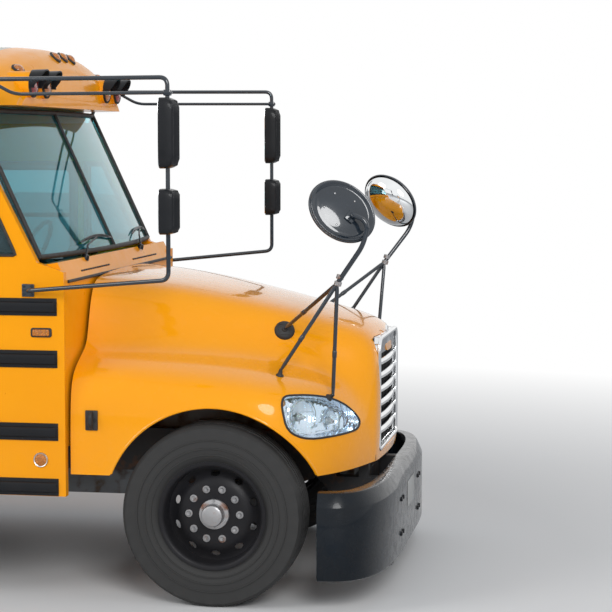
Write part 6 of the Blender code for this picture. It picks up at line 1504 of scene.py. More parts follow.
def add_frame(form, side, loop, wide, out_low, out_high):
    """A flat frame round a loop of (x, z), from the wall's plane inward and outward."""
    middle_x = sum(x for x, z in loop) / len(loop)
    middle_z = sum(z for x, z in loop) / len(loop)
    half_x = max(x for x, z in loop) - middle_x
    half_z = max(z for x, z in loop) - middle_z
    rings = []
    for x, z in loop + loop[:1]:
        inner_x = middle_x + (x - middle_x) * (half_x - wide) / half_x
        inner_z = middle_z + (z - middle_z) * (half_z - wide) / half_z
        ease = 0.12
        ring = []
        for share, out in ((0.0, out_low), (0.0, out_high - 0.002), (ease, out_high), (1 - ease, out_high),
                           (1.0, out_high - 0.002), (1.0, out_low)):
            ring.append(Vector((x + (inner_x - x) * share, side * (SIDE + out), z + (inner_z - z) * share)))
        rings.append(ring)
    add_loft(form, rings, True, (False, False))


def window_row(label, side, count):
    alloy, rubber = new_forms(2)
    spans = [(WINDOW_FIRST_X + WINDOW_PITCH * step, WINDOW_FIRST_X + WINDOW_PITCH * step + WINDOW_WIDTH)
             for step in range(count)]
    if side > 0:
        spans.append((DOOR_FRONT_X - 0.6, DOOR_FRONT_X))
    for low, high in spans:
        opening = (low, high, WINDOW_LOW_Z, WINDOW_HIGH_Z)
        add_frame(alloy, side, inset_loop(*opening, -0.012, 0.045), 0.036, -0.045, 0.006)
        add_frame(rubber, side, inset_loop(*opening, 0.022, 0.03), 0.01, -0.046, -0.004)
        middle = (WINDOW_LOW_Z + WINDOW_HIGH_Z) / 2
        near, far = side * (SIDE - 0.044), side * (SIDE - 0.01)
        add_box(alloy, (low + 0.018, near, middle - 0.016), (high - 0.018, far, middle + 0.016), 0.004)
        for x in (low + 0.07, high - 0.07):
            catch = (near, side * (SIDE - 0.004)) if side > 0 else (near, far)
            add_box(rubber, (x - 0.018, catch[0], middle - 0.01), (x + 0.018, catch[1], middle + 0.012), 0.003)
    dress("window_frames_" + label, alloy, window_alloy)
    dress("window_seals_" + label, rubber, gasket_rubber)
    quarter = bmesh.new()
    lean = (SCREEN_BASE_X - SCREEN_TOP_X) / (SCREEN_TOP_Z - SCREEN_BASE_Z)
    low_z, high_z = FLOOR_Z + 0.97, WINDOW_HIGH_Z
    corners = [Vector(corner) for corner in (
        (DOOR_FRONT_X + 0.1, low_z), (3.6 - lean * (low_z - SCREEN_BASE_Z), low_z),
        (3.6 - lean * (high_z - SCREEN_BASE_Z), high_z), (DOOR_FRONT_X + 0.1, high_z))]
    loop = []
    for step, corner in enumerate(corners):
        before, after = corners[step - 1], corners[(step + 1) % 4]
        loop += [corner.lerp(before, 0.05), corner.lerp(corner.lerp((before + after) / 2, 0.5), 0.03),
                 corner.lerp(after, 0.05)]
    route = [Vector((x, side * (SIDE + 0.001), z)) for x, z in loop]
    add_ring(quarter, route, 0.009, 8)
    inner = [Vector((x, side * (SIDE - 0.022), z)) for x, z in loop]
    add_loft(quarter, [route, inner], True, (False, False))
    dress("quarter_seal_" + label, quarter, gasket_rubber)


for label, side, count in (("left", 1, 11), ("right", -1, 10)):
    rails(label, side)
    panel_seams(label, side)
    window_row(label, side, count)
    print(label, "window frames:", count)

# %% [markdown]
# Marker lamps, reflectors, a fuel door and a battery door finish the sides. Lamps are low pillows of moulded
# plastic in a black base; reflectors are round with a thin rim. Mud flaps of ribbed rubber hang behind the
# rear wheels.

# %% Lamp pillows
def pillow(form, low, high, out, side, rise):
    """A low lens with rounded edges on a side wall."""
    rings = []
    for share in (0.0, 0.35, 0.7, 1.0):
        pull = 1 - 0.35 * share ** 2.5
        middle_x, middle_z = (low[0] + high[0]) / 2, (low[1] + high[1]) / 2
        half_x, half_z = (high[0] - low[0]) / 2 * pull, (high[1] - low[1]) / 2 * pull
        rings.append([(x, side * (out + rise * sin(share * pi / 2)), z) for x, z in
                      round_loop(middle_x - half_x, middle_x + half_x, middle_z - half_z, middle_z + half_z,
                                 min(half_x, half_z) * 0.5, 4)])
    add_loft(form, rings)

# %% Side lamps
amber, red, base, disc = new_forms(4)
for side in (1, -1):
    for x, lens in ((COWL_X - 0.3, amber), (-0.55, amber), (BODY_REAR + 0.16, red)):
        z = EAVE_Z - 0.115
        if x > 3:
            z, x = 1.5, COWL_X - 0.13
        pillow(base, (x - 0.06, z - 0.026), (x + 0.06, z + 0.026), SIDE, side, 0.008)
        pillow(lens, (x - 0.048, z - 0.018), (x + 0.048, z + 0.018), SIDE + 0.006, side, 0.015)
    for x, lens in ((COWL_X - 0.14, amber), (-0.55, amber), (BODY_REAR + 0.14, red)):
        seat = aimed((x, side * SIDE, 0.8), (0, side, 0))
        add_lathe(lens, [(0.0, 0.007), (0.032, 0.006), (0.035, 0.004)], seat, 32)
        add_lathe(disc, [(0.034, 0.007), (0.038, 0.009), (0.042, 0.004), (0.042, 0.0)], seat, 32)
dress("side_lamps_amber", amber, lens_amber, sharp=50)
dress("side_lamps_red", red, lens_red, sharp=50)
dress("side_lamp_bases", base, gasket_rubber)
dress("reflector_rings", disc, window_alloy)

# %% Fuel door
form = bmesh.new()
add_frame(form, -1, round_loop(0.34, 0.62, 0.7, 0.9, 0.03), 0.012, 0.0, 0.004)
pillow(form, (0.356, 0.716), (0.604, 0.884), SIDE, -1, 0.006)
add_box(form, (0.372, -SIDE - 0.012, 0.79), (0.392, -SIDE - 0.004, 0.83), 0.002)
for z in (0.745, 0.855):
    add_tube(form, [(0.61, -SIDE - 0.005, z - 0.018), (0.61, -SIDE - 0.005, z + 0.018)], 0.005, 8)
dress("fuel_door", form, body_yellow)

# %% Battery door
form = bmesh.new()
add_frame(form, 1, round_loop(1.05, 1.75, 0.71, 0.9, 0.02), 0.014, 0.0, 0.004)
pillow(form, (1.068, 0.728), (1.732, 0.882), SIDE, 1, 0.006)
for x in (1.16, 1.64):
    add_lathe(form, [(0.0, 0.012), (0.014, 0.012), (0.018, 0.006)], aimed((x, SIDE, 0.86), (0, 1, 0)), 20)
dress("battery_door", form, body_yellow)

# %% Mud flaps
form = bmesh.new()
for side in (1, -1):
    rings = []
    for share in shares(12):
        x, z = REAR_AXLE_X - 0.72 - 0.035 * share ** 2, 0.8 - 0.52 * share
        rings.append([(x + dx, side * y, z) for dx, y in ((0.004, 0.6), (0.004, 1.16), (-0.004, 1.16),
                                                          (-0.004, 0.6))])
    add_loft(form, rings)
    for y in (0.66, 0.78, 0.9, 1.02, 1.12):
        add_bolt(form, (REAR_AXLE_X - 0.714, side * y, 0.775), (1, 0, 0), 0.008, 0.006)
dress("mud_flaps", form, tyre_rubber)

# %% [markdown]
# The doorway's two black leaves carry tall panes, each split by a bar, in rubber seals. A soft seal closes
# the gap where the leaves meet. Every piece rides on its own leaf, so the door still opens. The stop sign
# folded to the left side is a red octagon, left bare, with a white border and small red lamps on both faces.

# %% Entry door and stop arm
def add_surround(form, outer, inner, put, low, high):
    """A flat frame between two loops; put turns (along, up, out) into a place."""
    rings = []
    for (a, b), (c, d) in zip(outer + outer[:1], inner + inner[:1]):
        edge_a, edge_b = a + (c - a) * 0.04, b + (d - b) * 0.04
        edge_c, edge_d = c + (a - c) * 0.04, d + (b - d) * 0.04
        rings.append([put(a, b, low), put(a, b, high - 0.003), put(edge_a, edge_b, high),
                      put(edge_c, edge_d, high), put(c, d, high - 0.003), put(c, d, low)])
    add_loft(form, rings, True, (False, False))


def add_sheet(form, loop, put, low, high):
    add_loft(form, [[put(a, b, low) for a, b in loop], [put(a, b, high) for a, b in loop]])


def door_leaf(name, x_from, x_to, seal_x):
    """One leaf made anew: a hollow frame, its pane, seals and the rivets along its edges."""
    low_z, high_z = LOW_STEP_Z + 0.009, DOOR_TOP_Z - 0.009
    frame_mesh, rubber, pane, metal = new_forms(4)

    def put(x, z, out):
        return Vector((x, -SIDE + 0.035 - out, z))

    outer = round_loop(x_from, x_to, low_z, high_z, 0.012)
    opening = (x_from + 0.095, x_to - 0.095, low_z + 0.25, high_z - 0.1)
    add_surround(frame_mesh, outer, round_loop(*opening, 0.04), put, 0.001, 0.034)
    add_surround(rubber, inset_loop(*opening, -0.006, 0.045), inset_loop(*opening, 0.013, 0.03), put, 0.006,
                 0.0385)
    add_sheet(pane, inset_loop(*opening, 0.005, 0.03), put, 0.016, 0.021)
    add_box(frame_mesh, (x_from + 0.095, -SIDE - 0.001, 1.338), (x_to - 0.095, -SIDE + 0.029, 1.382), 0.004)
    add_tube(rubber, [(seal_x, -SIDE - 0.002, z) for z in (0.44, 1.0, 1.6, 2.2, 2.49)], 0.0042, 8)
    for z in (0.5, 0.58):
        add_tube(metal, [(x_from + 0.05, -SIDE - 0.001, z), (x_to - 0.05, -SIDE - 0.001, z)], 0.004, 8)
    for z in (0.52, 1.0, 1.5, 2.0, 2.44):
        for x in (x_from + 0.035, x_to - 0.035):
            add_rivet(metal, (x, -SIDE + 0.001, z), (0, -1, 0), 0.006)
    leaf = dress(name + "_leaf", frame_mesh, satin_black, name)
    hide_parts(name)
    dress(name + "_pane", pane, smoked_glass, name)
    dress(name + "_seals", rubber, gasket_rubber, name)
    dress(name + "_trim", metal, satin_black, name)


door_middle = (DOOR_FRONT_X + DOOR_REAR_X) / 2
door_leaf("door_front", door_middle + 0.0045, DOOR_FRONT_X - 0.009, door_middle + 0.0052)
door_leaf("door_rear", DOOR_REAR_X + 0.009, door_middle - 0.0045, door_middle - 0.0052)

# %% Doorway trim
form = bmesh.new()
for x in (DOOR_REAR_X - 0.018, DOOR_FRONT_X + 0.018):
    add_box(form, (x - 0.016, -SIDE - 0.006, SKIRT_Z + 0.01), (x + 0.016, -SIDE, DOOR_TOP_Z + 0.03), 0.003)
add_box(form, (DOOR_REAR_X - 0.034, -SIDE - 0.012, DOOR_TOP_Z + 0.004),
        (DOOR_FRONT_X + 0.034, -SIDE, DOOR_TOP_Z + 0.034), 0.004)
dress("doorway_trim", form, gasket_rubber)

# %% Stop sign
centre_x, y, z, radius = 2.485, SIDE + 0.022, 1.42, 0.235
red, white, lamp, dark = new_forms(4)
outer, inner = ([(centre_x + radius * share * cos(turn) / cos(pi / 8),
                  z + radius * share * sin(turn) / cos(pi / 8))
                 for turn in (pi / 8 + pi / 4 * step for step in range(8))] for share in (0.985, 0.9))


def sign_ring(loop, out):
    return [(px, y + out, pz) for px, pz in loop]


for sign in (1, -1):
    face, border, paint = (sign * out for out in (0.0072, 0.0084, 0.008))
    add_loft(white, [sign_ring(outer, face), sign_ring(outer, border), sign_ring(inner, border),
                     sign_ring(inner, face)], True, (False, False))
    add_loft(red, [sign_ring(inner, face), sign_ring(inner, paint)])
for dz in (0.155, -0.155):
    for sign in (1, -1):
        place = (centre_x, y + sign * 0.008, z + dz)
        lamp_dome(lamp, Vector(place) + Vector((0, sign * 0.004, 0)), (0, sign, 0), 0.036, 0.012)
        add_lathe(dark, [(0.036, 0.01), (0.041, 0.008), (0.043, 0.0)], aimed(place, (0, sign, 0)), 32)
for dz in (-0.045, 0.045):
    add_bolt(dark, (centre_x + 0.235, y + 0.0072, z + dz), (0, 1, 0), 0.008, 0.006)
dress("stop_face", red, sign_red, "stop_arm", 30)
dress("stop_border", white, tape_white, "stop_arm", 30)
dress("stop_lamps", lamp, lens_red, "stop_arm", 60)
dress("stop_lamp_rings", dark, gasket_rubber, "stop_arm")

# %% [markdown]
# The back of the bus is flat, with an escape door in the middle that has a wide window, a long bar handle and
# strap hinges. Round tail lamps, reflective tape and rows of rivets finish it. All the pieces on the door
# ride with it.

# %% Rear end
def rear_frame(form, low_y, high_y, low_z, high_z):
    wide, out, depth, x = 0.022, 0.008, 0.05, BODY_REAR
    loop = round_loop(low_y, high_y, low_z, high_z, 0.045)
    middle_y, middle_z = (low_y + high_y) / 2, (low_z + high_z) / 2
    rings = []
    for y, z in loop + loop[:1]:
        inner_y = middle_y + (y - middle_y) * (1 - 2 * wide / (high_y - low_y))
        inner_z = middle_z + (z - middle_z) * (1 - 2 * wide / (high_z - low_z))
        rings.append([(x + depth, y, z), (x - out, y, z),
                      (x - out - 0.003, (y + inner_y) / 2, (z + inner_z) / 2), (x - out, inner_y, inner_z),
                      (x + depth, inner_y, inner_z)])
    add_loft(form, rings, True, (False, False))


def escape_door():
    """The escape door made anew: a pressed panel with its window, strap hinges and a bar handle."""
    panel, rubber, pane, metal = new_forms(4)
    low_z, high_z, half = FLOOR_Z + 0.009, EAVE_Z - 0.209, 0.391

    def put(y, z, out):
        return Vector((BODY_REAR + 0.045 - out, y, z))

    glass = (-half + 0.095, half - 0.095, WINDOW_LOW_Z - 0.095, high_z - 0.095)
    add_surround(panel, round_loop(-half, half, low_z, high_z, 0.012), round_loop(*glass, 0.045), put, 0.001,
                 0.0445)
    add_surround(rubber, inset_loop(*glass, -0.006, 0.05), inset_loop(*glass, 0.014, 0.034), put, 0.01, 0.0495)
    add_sheet(pane, inset_loop(*glass, 0.004, 0.04), put, 0.022, 0.027)
    for z in (1.04, 1.2, 1.36):
        add_tube(panel, [(BODY_REAR + 0.001, y, z) for y in (-half + 0.05, 0.0, half - 0.05)], 0.005, 8)
    x = BODY_REAR - 0.004
    for z in (1.12, 1.5, 2.3):
        add_box(metal, (x - 0.003, -0.366, z - 0.03), (x + 0.005, -0.27, z + 0.03), 0.004)
        for y in (-0.335, -0.295):
            add_bolt(metal, (x - 0.003, y, z), (-1, 0, 0), 0.007, 0.005)
    handle = [(x, 0.13, 1.44), (x - 0.045, 0.13, 1.44), (x - 0.045, 0.34, 1.44), (x, 0.34, 1.44)]
    add_tube(metal, bent(handle, 0.02, 5), 0.009, 12)
    for y in (0.13, 0.34):
        add_box(metal, (x - 0.006, y - 0.03, 1.405), (x + 0.005, y + 0.03, 1.475), 0.004)
    route = [Vector((BODY_REAR - 0.001, y, z)) for y,
             z in round_loop(-0.362, 0.385, FLOOR_Z + 0.02, EAVE_Z - 0.215, 0.02)]
    add_ring(rubber, route, 0.005, 8)
    made = dress("escape_door_panel", panel, body_yellow, "emergency_door")
    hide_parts("emergency_door")
    dress("escape_pane", pane, smoked_glass, "emergency_door")
    dress("escape_seals", rubber, gasket_rubber, "emergency_door")
    dress("escape_hardware", metal, satin_black, "emergency_door")

# %% Tail lamps
TAIL_LAMP_Z = 1.42
red, amber, ring = new_forms(3)
for side in (1, -1):
    y = side * (SIDE - 0.18)
    for z, lens in ((TAIL_LAMP_Z, red), (TAIL_LAMP_Z - 0.235, amber)):
        centre = Vector((BODY_REAR - (0.025 if lens is red else 0.002), y, z))
        lamp_dome(lens, centre, (-1, 0, 0), 0.082, 0.02)
        add_lathe(ring, [(0.08, 0.002), (0.087, 0.008), (0.094, 0.004),
                         (0.095, -0.012 if lens is red else -0.001)], aimed(centre, (-1, 0, 0)), 40)
    y = side * (SIDE - 0.4)
    centre = Vector((BODY_REAR - 0.002, y, TAIL_LAMP_Z))
    lamp_dome(red, centre, (-1, 0, 0), 0.055, 0.016)
    add_lathe(ring, [(0.054, 0.002), (0.06, 0.006), (0.065, 0.0)], aimed(centre, (-1, 0, 0)), 32)
for y in (-0.14, 0.0, 0.14):
    lamp_dome(red, Vector((BODY_REAR - 0.004, y, 3.02)), (-1, 0, 0), 0.026, 0.012)
for y in (-1.06, 1.06):
    lamp_dome(amber, Vector((BODY_REAR - 0.004, y, 2.78)), (-1, 0, 0), 0.026, 0.012)
dress("tail_lamps_red", red, lens_red, sharp=60)
dress("tail_lamps_amber", amber, lens_amber, sharp=60)
dress("tail_lamp_rings", ring, gasket_rubber, sharp=50)

# %% Rear wall trim
rubber, yellow, pane = new_forms(3)
for side in (1, -1):
    low_y, high_y = sorted((side * 0.5, side * 1.12))
    add_box(pane, (SHELL_REAR - 0.0085, low_y + 0.001, WINDOW_LOW_Z + 0.001),
            (SHELL_REAR - 0.0055, high_y - 0.001, WINDOW_HIGH_Z - 0.001), 0.001)
    rear_frame(rubber, low_y - 0.012, high_y + 0.012, WINDOW_LOW_Z - 0.012, WINDOW_HIGH_Z + 0.012)
    for z in range(9):
        for y in (0.455, 1.185):
            add_rivet(yellow, (BODY_REAR, side * y, 0.72 + z * 0.11), (-1, 0, 0), 0.0055)
    for y in range(6):
        add_rivet(yellow, (BODY_REAR, side * (0.5 + y * 0.125), 1.63), (-1, 0, 0), 0.0055)
    add_box(yellow, (BODY_REAR - 0.003, side * 0.45, 1.07), (BODY_REAR, side * 1.2, 1.1), 0.001)
edge = [(-SIDE * cos(pi * share), EAVE_Z + (ROOF_Z - EAVE_Z) * sin(pi * share)) for share in shares(48)]
edge = [(-SIDE, SKIRT_Z + 0.02), *edge, (SIDE, SKIRT_Z + 0.02)]
add_tube(yellow, [(BODY_REAR - 0.001, y * 0.992, z - 0.01 * (z > EAVE_Z + 0.1)) for y, z in edge], 0.01, 8)
# Painted shade: the rear panes are opaque dark sheets in place of glass and the shaded inside.
dress("rear_panes", pane, pane_black)
dress("rear_window_seals", rubber, gasket_rubber)
dress("rear_wall_trim", yellow, body_yellow)

# %% Rear tape
form = bmesh.new()
x = BODY_REAR - 0.0008
for side in (1, -1):
    add_box(form, (x - 0.0006, side * 0.46, 0.985), (x, side * 1.17, 1.03), 0)
    add_box(form, (x - 0.0006, side * 0.425, 1.03), (x, side * 0.45, 2.45), 0)
add_box(form, (x - 0.0006, -0.45, 2.49), (x, 0.45, 2.53), 0)
dress("rear_tape", form, tape_yellow, sharp=32)

escape_door()

# %% Rear bumper trim
form = bmesh.new()
for side in (1, -1):
    for y in (0.36, 0.42, 0.9):
        for z in (0.56, 0.7):
            add_bolt(form, (REAR, side * y, z), (-1, 0, 0), 0.012, 0.007)
add_box(form, (REAR + 0.012, -1.19, 0.781), (REAR + 0.13, 1.19, 0.785), 0.001)
for step in range(40):
    y = -1.15 + 2.3 * step / 39
    add_box(form, (REAR + 0.02, y - 0.004, 0.785), (REAR + 0.12, y + 0.004, 0.789), 0.001, None, 1)
dress("rear_step_strip", form, gasket_rubber)

# %% [markdown]
# The roof is rolled sheet over steel bows. Each bow shows as a flat lap strip with rivets that follows the
# curve. The two hatches are white plastic lids with a stepped rim and a raised middle, a black handle and two
# hinges; they stay pieces of their own bodies.

# %% Roof
def roof_point(x, turn, out=0.0):
    half, tall = SIDE, ROOF_Z - EAVE_Z
    normal = Vector((0, -cos(turn) / half, sin(turn) / tall)).normalized()
    return Vector((x, -half * cos(turn), EAVE_Z + SEAT_GAP + tall * sin(turn))) + normal * out


HATCH_PLACES = (1.0, -3.0)


def hatch_lid(name, x):
    form = bmesh.new()
    base, half = 3.1123, 0.31
    rings = []
    for inset, up in ((0.0, 0.0), (0.0, 0.018), (0.006, 0.024), (0.03, 0.026), (0.045, 0.018), (0.075, 0.018),
                      (0.09, 0.0265), (0.2, 0.0295)):
        reach = half - inset
        rings.append([(px, py, base + up) for px, py in
                      round_loop(x - reach, x + reach, -reach, reach, min(0.05, reach * 0.3), 5)])
    add_loft(form, rings)
    lid = dress(name + "_lid", form, lid_plastic, name)
    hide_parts(name)
    grip = bmesh.new()
    add_tube(grip, bent([(x - 0.25, -0.04, base + 0.018), (x - 0.25, -0.04, base + 0.029),
                         (x - 0.25, 0.04, base + 0.029), (x - 0.25, 0.04, base + 0.018)], 0.006, 3), 0.004, 8)
    for y in (-0.2, 0.2):
        add_box(grip, (x + 0.285, y - 0.03, base + 0.004), (x + 0.318, y + 0.03, base + 0.022), 0.003)
    dress(name + "_fittings", grip, gasket_rubber, name)

# %% Roof strips
form = bmesh.new()
stations = [SHELL_REAR + 0.03 + WINDOW_PITCH * step for step in range(13)]
for x in stations:
    if any(abs(x - hatch) < 0.34 for hatch in HATCH_PLACES):
        spans = ((0.03, 0.38), (0.62, 0.97))
    else:
        spans = ((0.03, 0.97),)
    for low, high in spans:
        rings = []
        for share in shares(32):
            turn = pi * (low + (high - low) * share)
            rings.append([roof_point(x - 0.025, turn, -0.002), roof_point(x - 0.024, turn, 0.0016),
                          roof_point(x + 0.024, turn, 0.0016), roof_point(x + 0.025, turn, -0.002)])
        add_loft(form, rings)
        for step in range(int(26 * (high - low))):
            turn = pi * (low + 0.02 + (high - low - 0.04) * step / max(1, int(26 * (high - low)) - 1))
            for dx in (-0.013, 0.013):
                add_rivet(form, roof_point(x + dx, turn, 0.0012),
                          roof_point(x, turn, 1.0) - roof_point(x, turn), 0.005)
dress("roof_strips", form, roof_white)

for name, x in zip(("hatch_front", "hatch_rear"), HATCH_PLACES):
    hatch_lid(name, x)

# %% [markdown]
# A bus tyre has a ribbed tread cut by zigzag grooves, square shoulders with small lugs, and a sidewall with
# fine raised rings, left free of lettering. The tread is part of the mesh: a ring of sections whose radius
# drops where a groove passes, so it also shows in the outline.

# %% Tyres
TREAD_STEPS = 132


def tread_radius(across, turn):
    """Radius of the tread at a place across the tyre and round it."""
    crown = TYRE_RADIUS - 0.0035 * (across / 0.105) ** 2
    for groove in (-0.062, -0.021, 0.021, 0.062):
        wander = 0.0045 * (1 if int(turn / (2 * pi) * TREAD_STEPS) % 4 < 2 else -1)
        if abs(across - groove - wander) < 0.0058:
            return crown - 0.011
    return crown


def tyre_mesh(form, place):
    half, seat, flange = TYRE_WIDTH / 2, RIM_RADIUS + SEAT_GAP, FLANGE_RADIUS + SEAT_GAP
    bead = 0.108
    shoulder = TYRE_RADIUS - 0.035
    wall = [(seat, bead), (flange, bead), (flange + 0.012, half - 0.026), (flange + 0.02, half - 0.016),
            (flange + 0.034, half - 0.011), (flange + 0.036, half - 0.0055), (flange + 0.041, half - 0.0055),
            (flange + 0.043, half - 0.009), (flange + 0.068, half - 0.004), (flange + 0.07, half + 0.0005),
            (flange + 0.076, half + 0.0005), (flange + 0.078, half - 0.004), (flange + 0.112, half - 0.005),
            (flange + 0.114, half - 0.001), (flange + 0.119, half - 0.001), (flange + 0.121, half - 0.006),
            (shoulder - 0.01, half - 0.008)]
    tread = [-0.108 + 0.216 * step / 36 for step in range(37)]
    rings = []
    for step in range(TREAD_STEPS):
        turn = 2 * pi * step / TREAD_STEPS
        lug = 0.005 if step % 4 < 2 else 0.0
        section = list(wall)
        section += [(shoulder + 0.012, half - 0.006 - lug), (TYRE_RADIUS - 0.012, half - 0.018 - lug)]
        section += [(tread_radius(across, turn), across) for across in reversed(tread)]
        mirror = [(radius, -up) for radius, up in reversed(wall)]
        section += [(TYRE_RADIUS - 0.012, -half + 0.018 + lug),
                    (shoulder + 0.012, -half + 0.006 + lug)] + mirror
        rings.append([place @ turned(radius, turn, up) for radius, up in section])
    add_loft(form, rings, True, (False, False), True)


def wheel_place(x, y, side):
    return Matrix.Translation((x, y, TYRE_RADIUS)) @ Matrix.Rotation(-side * pi / 2, 4, "X")


def tyre(name, x, y, side, body):
    form = bmesh.new()
    tyre_mesh(form, wheel_place(x, y, side))
    piece = dress(name + "_tread", form, tyre_rubber, body, 38)
    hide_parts(name)
    return piece

# %% [markdown]
# Each wheel is a pressed steel disc in a rolled rim, with ten hand holes, a ring of nuts and a hub. Front
# wheels are dished outward and rear ones inward. The disc is turned from a profile, and cutters take out the
# front hand holes; the rear ones are not cut, and dark rings sit in their place as painted shade of the holes.
# Nuts and hub bolts are added one by one around the axis.

# %% Wheels
def hand_holes(place, count, radius, ring, low, high):
    form = bmesh.new()
    for step in range(count):
        turn = 2 * pi * (step + 0.5) / count
        middle = turned(ring, turn)
        across = Vector((-sin(turn), cos(turn), 0))
        out = Vector((cos(turn), sin(turn), 0))
        rings = []
        for level in (low, high):
            rings.append([place @ (middle + across * radius * 1.25 * cos(2 * pi * side / 20)
                                   + out * radius * 0.8 * sin(2 * pi * side / 20) + Vector((0, 0, level)))
                          for side in range(20)])
        add_loft(form, rings)
    return grown("hand_holes", form)


def nut_ring(form, place, count, ring, level, size):
    axle = place.col[2].xyz
    for step in range(count):
        turn = 2 * pi * step / count
        at = place @ turned(ring, turn, level)
        add_bolt(form, at, axle, size, size * 1.3)
        stud = aimed(at, axle)
        add_lathe(form, [(0.0, size * 2.0), (size * 0.45, size * 2.0), (size * 0.5, size * 1.2)], stud, 10)


def rim_lip(far):
    """The rolled lip of a rim, whose outer face stands at far."""
    return [(0.268, far - 0.02), (0.276, far - 0.006), (0.285, far), (0.2995, far), (0.2995, far - 0.006),
            (0.29, far - 0.012), (0.2855, far - 0.012)]


def front_wheel(label, side):
    place = wheel_place(FRONT_AXLE_X, side * FRONT_TRACK / 2, side)
    half = RIM_HALF
    profile = [(0.055, 0.05), (0.085, 0.05), (0.15, 0.056), (0.185, 0.05), (0.215, 0.03), (0.24, 0.012),
               (0.262, 0.012), (0.268, 0.03), *rim_lip(half), (0.2855, 0.05), (0.276, 0.02), (0.276, -0.03),
               (0.2855, -0.06), (0.2855, -half + 0.012), (0.2995, -half + 0.006), (0.2995, -half),
               (0.285, -half), (0.268, -half + 0.02), (0.264, -0.02), (0.25, -0.004), (0.235, 0.0),
               (0.21, 0.018), (0.182, 0.037), (0.15, 0.043), (0.055, 0.04), (0.055, 0.05)]
    form = bmesh.new()
    add_lathe(form, profile, place, 96)
    bmesh.ops.remove_doubles(form, verts=form.verts, dist=0.00005)
    name = "front_wheel_" + label
    disc = dress(name + "_disc", form, wheel_black, name)
    carve(disc, hand_holes(place, 10, 0.02, 0.222, -0.05, 0.1))
    disc.data.set_sharp_from_angle(angle=radians(38))
    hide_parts(name)
    metal = bmesh.new()
    add_lathe(metal, [(0.0, 0.128), (0.045, 0.127), (0.056, 0.122), (0.06, 0.112), (0.062, 0.07),
                      (0.082, 0.066), (0.084, 0.048)], place, 48)
    add_lathe(metal, [(0.054, 0.04), (0.058, -0.085), (0.085, -0.085), (0.088, 0.041)], place, 32)
    nut_ring(metal, place, 10, 0.1425, 0.0555, 0.0135)
    for step in range(6):
        turn = 2 * pi * (step + 0.5) / 6
        add_bolt(metal, place @ turned(0.072, turn, 0.066),
                 place.col[2].xyz, 0.006, 0.006)
    dress(name + "_hub", metal, steel_nut, name)


def rear_pair(label, side):
    place = wheel_place(REAR_AXLE_X, side * REAR_TRACK / 2, side)
    name = "rear_wheels_" + label
    form = bmesh.new()
    for face in (1, -1):
        near, far = DUAL_SPACING / 2 - RIM_HALF, DUAL_SPACING / 2 + RIM_HALF
        profile = [(0.08, 0.002), (0.15, 0.002), (0.176, 0.008), (0.2, 0.022), (0.225, near + 0.022),
                   (0.245, near + 0.026), (0.264, near + 0.045), *rim_lip(far), (0.2855, far - 0.07),
                   (0.276, near + 0.1), (0.276, near + 0.06), (0.2855, near + 0.03), (0.2855, near + 0.012),
                   (0.2995, near + 0.006), (0.2995, near), (0.285, near), (0.262, near + 0.005),
                   (0.23, near + 0.004), (0.205, 0.014), (0.18, 0.0005), (0.08, 0.0005), (0.08, 0.002)]
        add_lathe(form, [(radius, face * up) for radius, up in profile], place, 96)
    bmesh.ops.remove_doubles(form, verts=form.verts, dist=0.00002)
    pair = dress(name + "_discs", form, wheel_black, name)
    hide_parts(name)
    metal = bmesh.new()
    far = DUAL_SPACING / 2 + RIM_HALF
    add_lathe(metal, [(0.0, far - 0.016), (0.08, far - 0.016), (0.086, far - 0.024), (0.088, far - 0.034),
                      (0.105, far - 0.038), (0.108, far - 0.055), (0.1, far - 0.1), (0.11, 0.05),
                      (0.112, 0.002)], place, 48)
    nut_ring(metal, place, 10, 0.1425, 0.003, 0.0135)
    nut_ring(metal, place, 8, 0.094, far - 0.036, 0.0065)
    add_lathe(metal, [(0.064, -0.084), (0.108, -0.084), (0.11, -0.002)], place, 32)
    dress(name + "_hub", metal, steel_nut, name)
    # Painted shade: dark discs in the black rubber finish stand in for the rear hand holes, which are not cut.
    dark = bmesh.new()
    for step in range(10):
        turn = 2 * pi * (step + 0.5) / 10
        at = place @ turned(0.2135, turn, 0.0345)
        out = place.to_3x3() @ Vector((-0.55 * cos(turn), -0.55 * sin(turn), 0.84))
        add_lathe(dark, [(0.0, -0.003), (0.015, -0.003), (0.019, 0.001), (0.0215, 0.0012)], aimed(at, out), 20)
    dress(name + "_holes", dark, gasket_rubber, name)


for label, side in SIDES:
    front_wheel(label, side)
    rear_pair(label, side)
    one = tyre("front_tyre_" + label, FRONT_AXLE_X, side * FRONT_TRACK / 2, side, "front_wheel_" + label)
    for place_name, step in (("outer", 1), ("inner", -1)):
        y = side * (REAR_TRACK / 2 + step * DUAL_SPACING / 2)
        tyre("rear_tyre_" + label + "_" + place_name, REAR_AXLE_X, y, side, "rear_wheels_" + label)
print("faces in one tyre:", len(one.data.polygons))

# %% [markdown]
# The benches are foam cushions and tall padded backs, covered in green vinyl with a seam along the seat's
# front and the back's top. A cushion is grown as a box of quads whose faces bulge towards their middle and
# whose corners draw in; the seams are thin welts laid on the form. Cloth simulation would swell them too, but
# 24 benches behind smoked glass don't repay its time, so the crown is written directly.

# %% Seats
BENCH_COUNT, BENCH_PITCH, BENCH_FIRST_X = 12, 0.635, SHELL_REAR + 0.1
SEAT_Z, BACK_Z, DRIVER_SIDE = FLOOR_Z + 0.41, FLOOR_Z + 0.71, 0.58


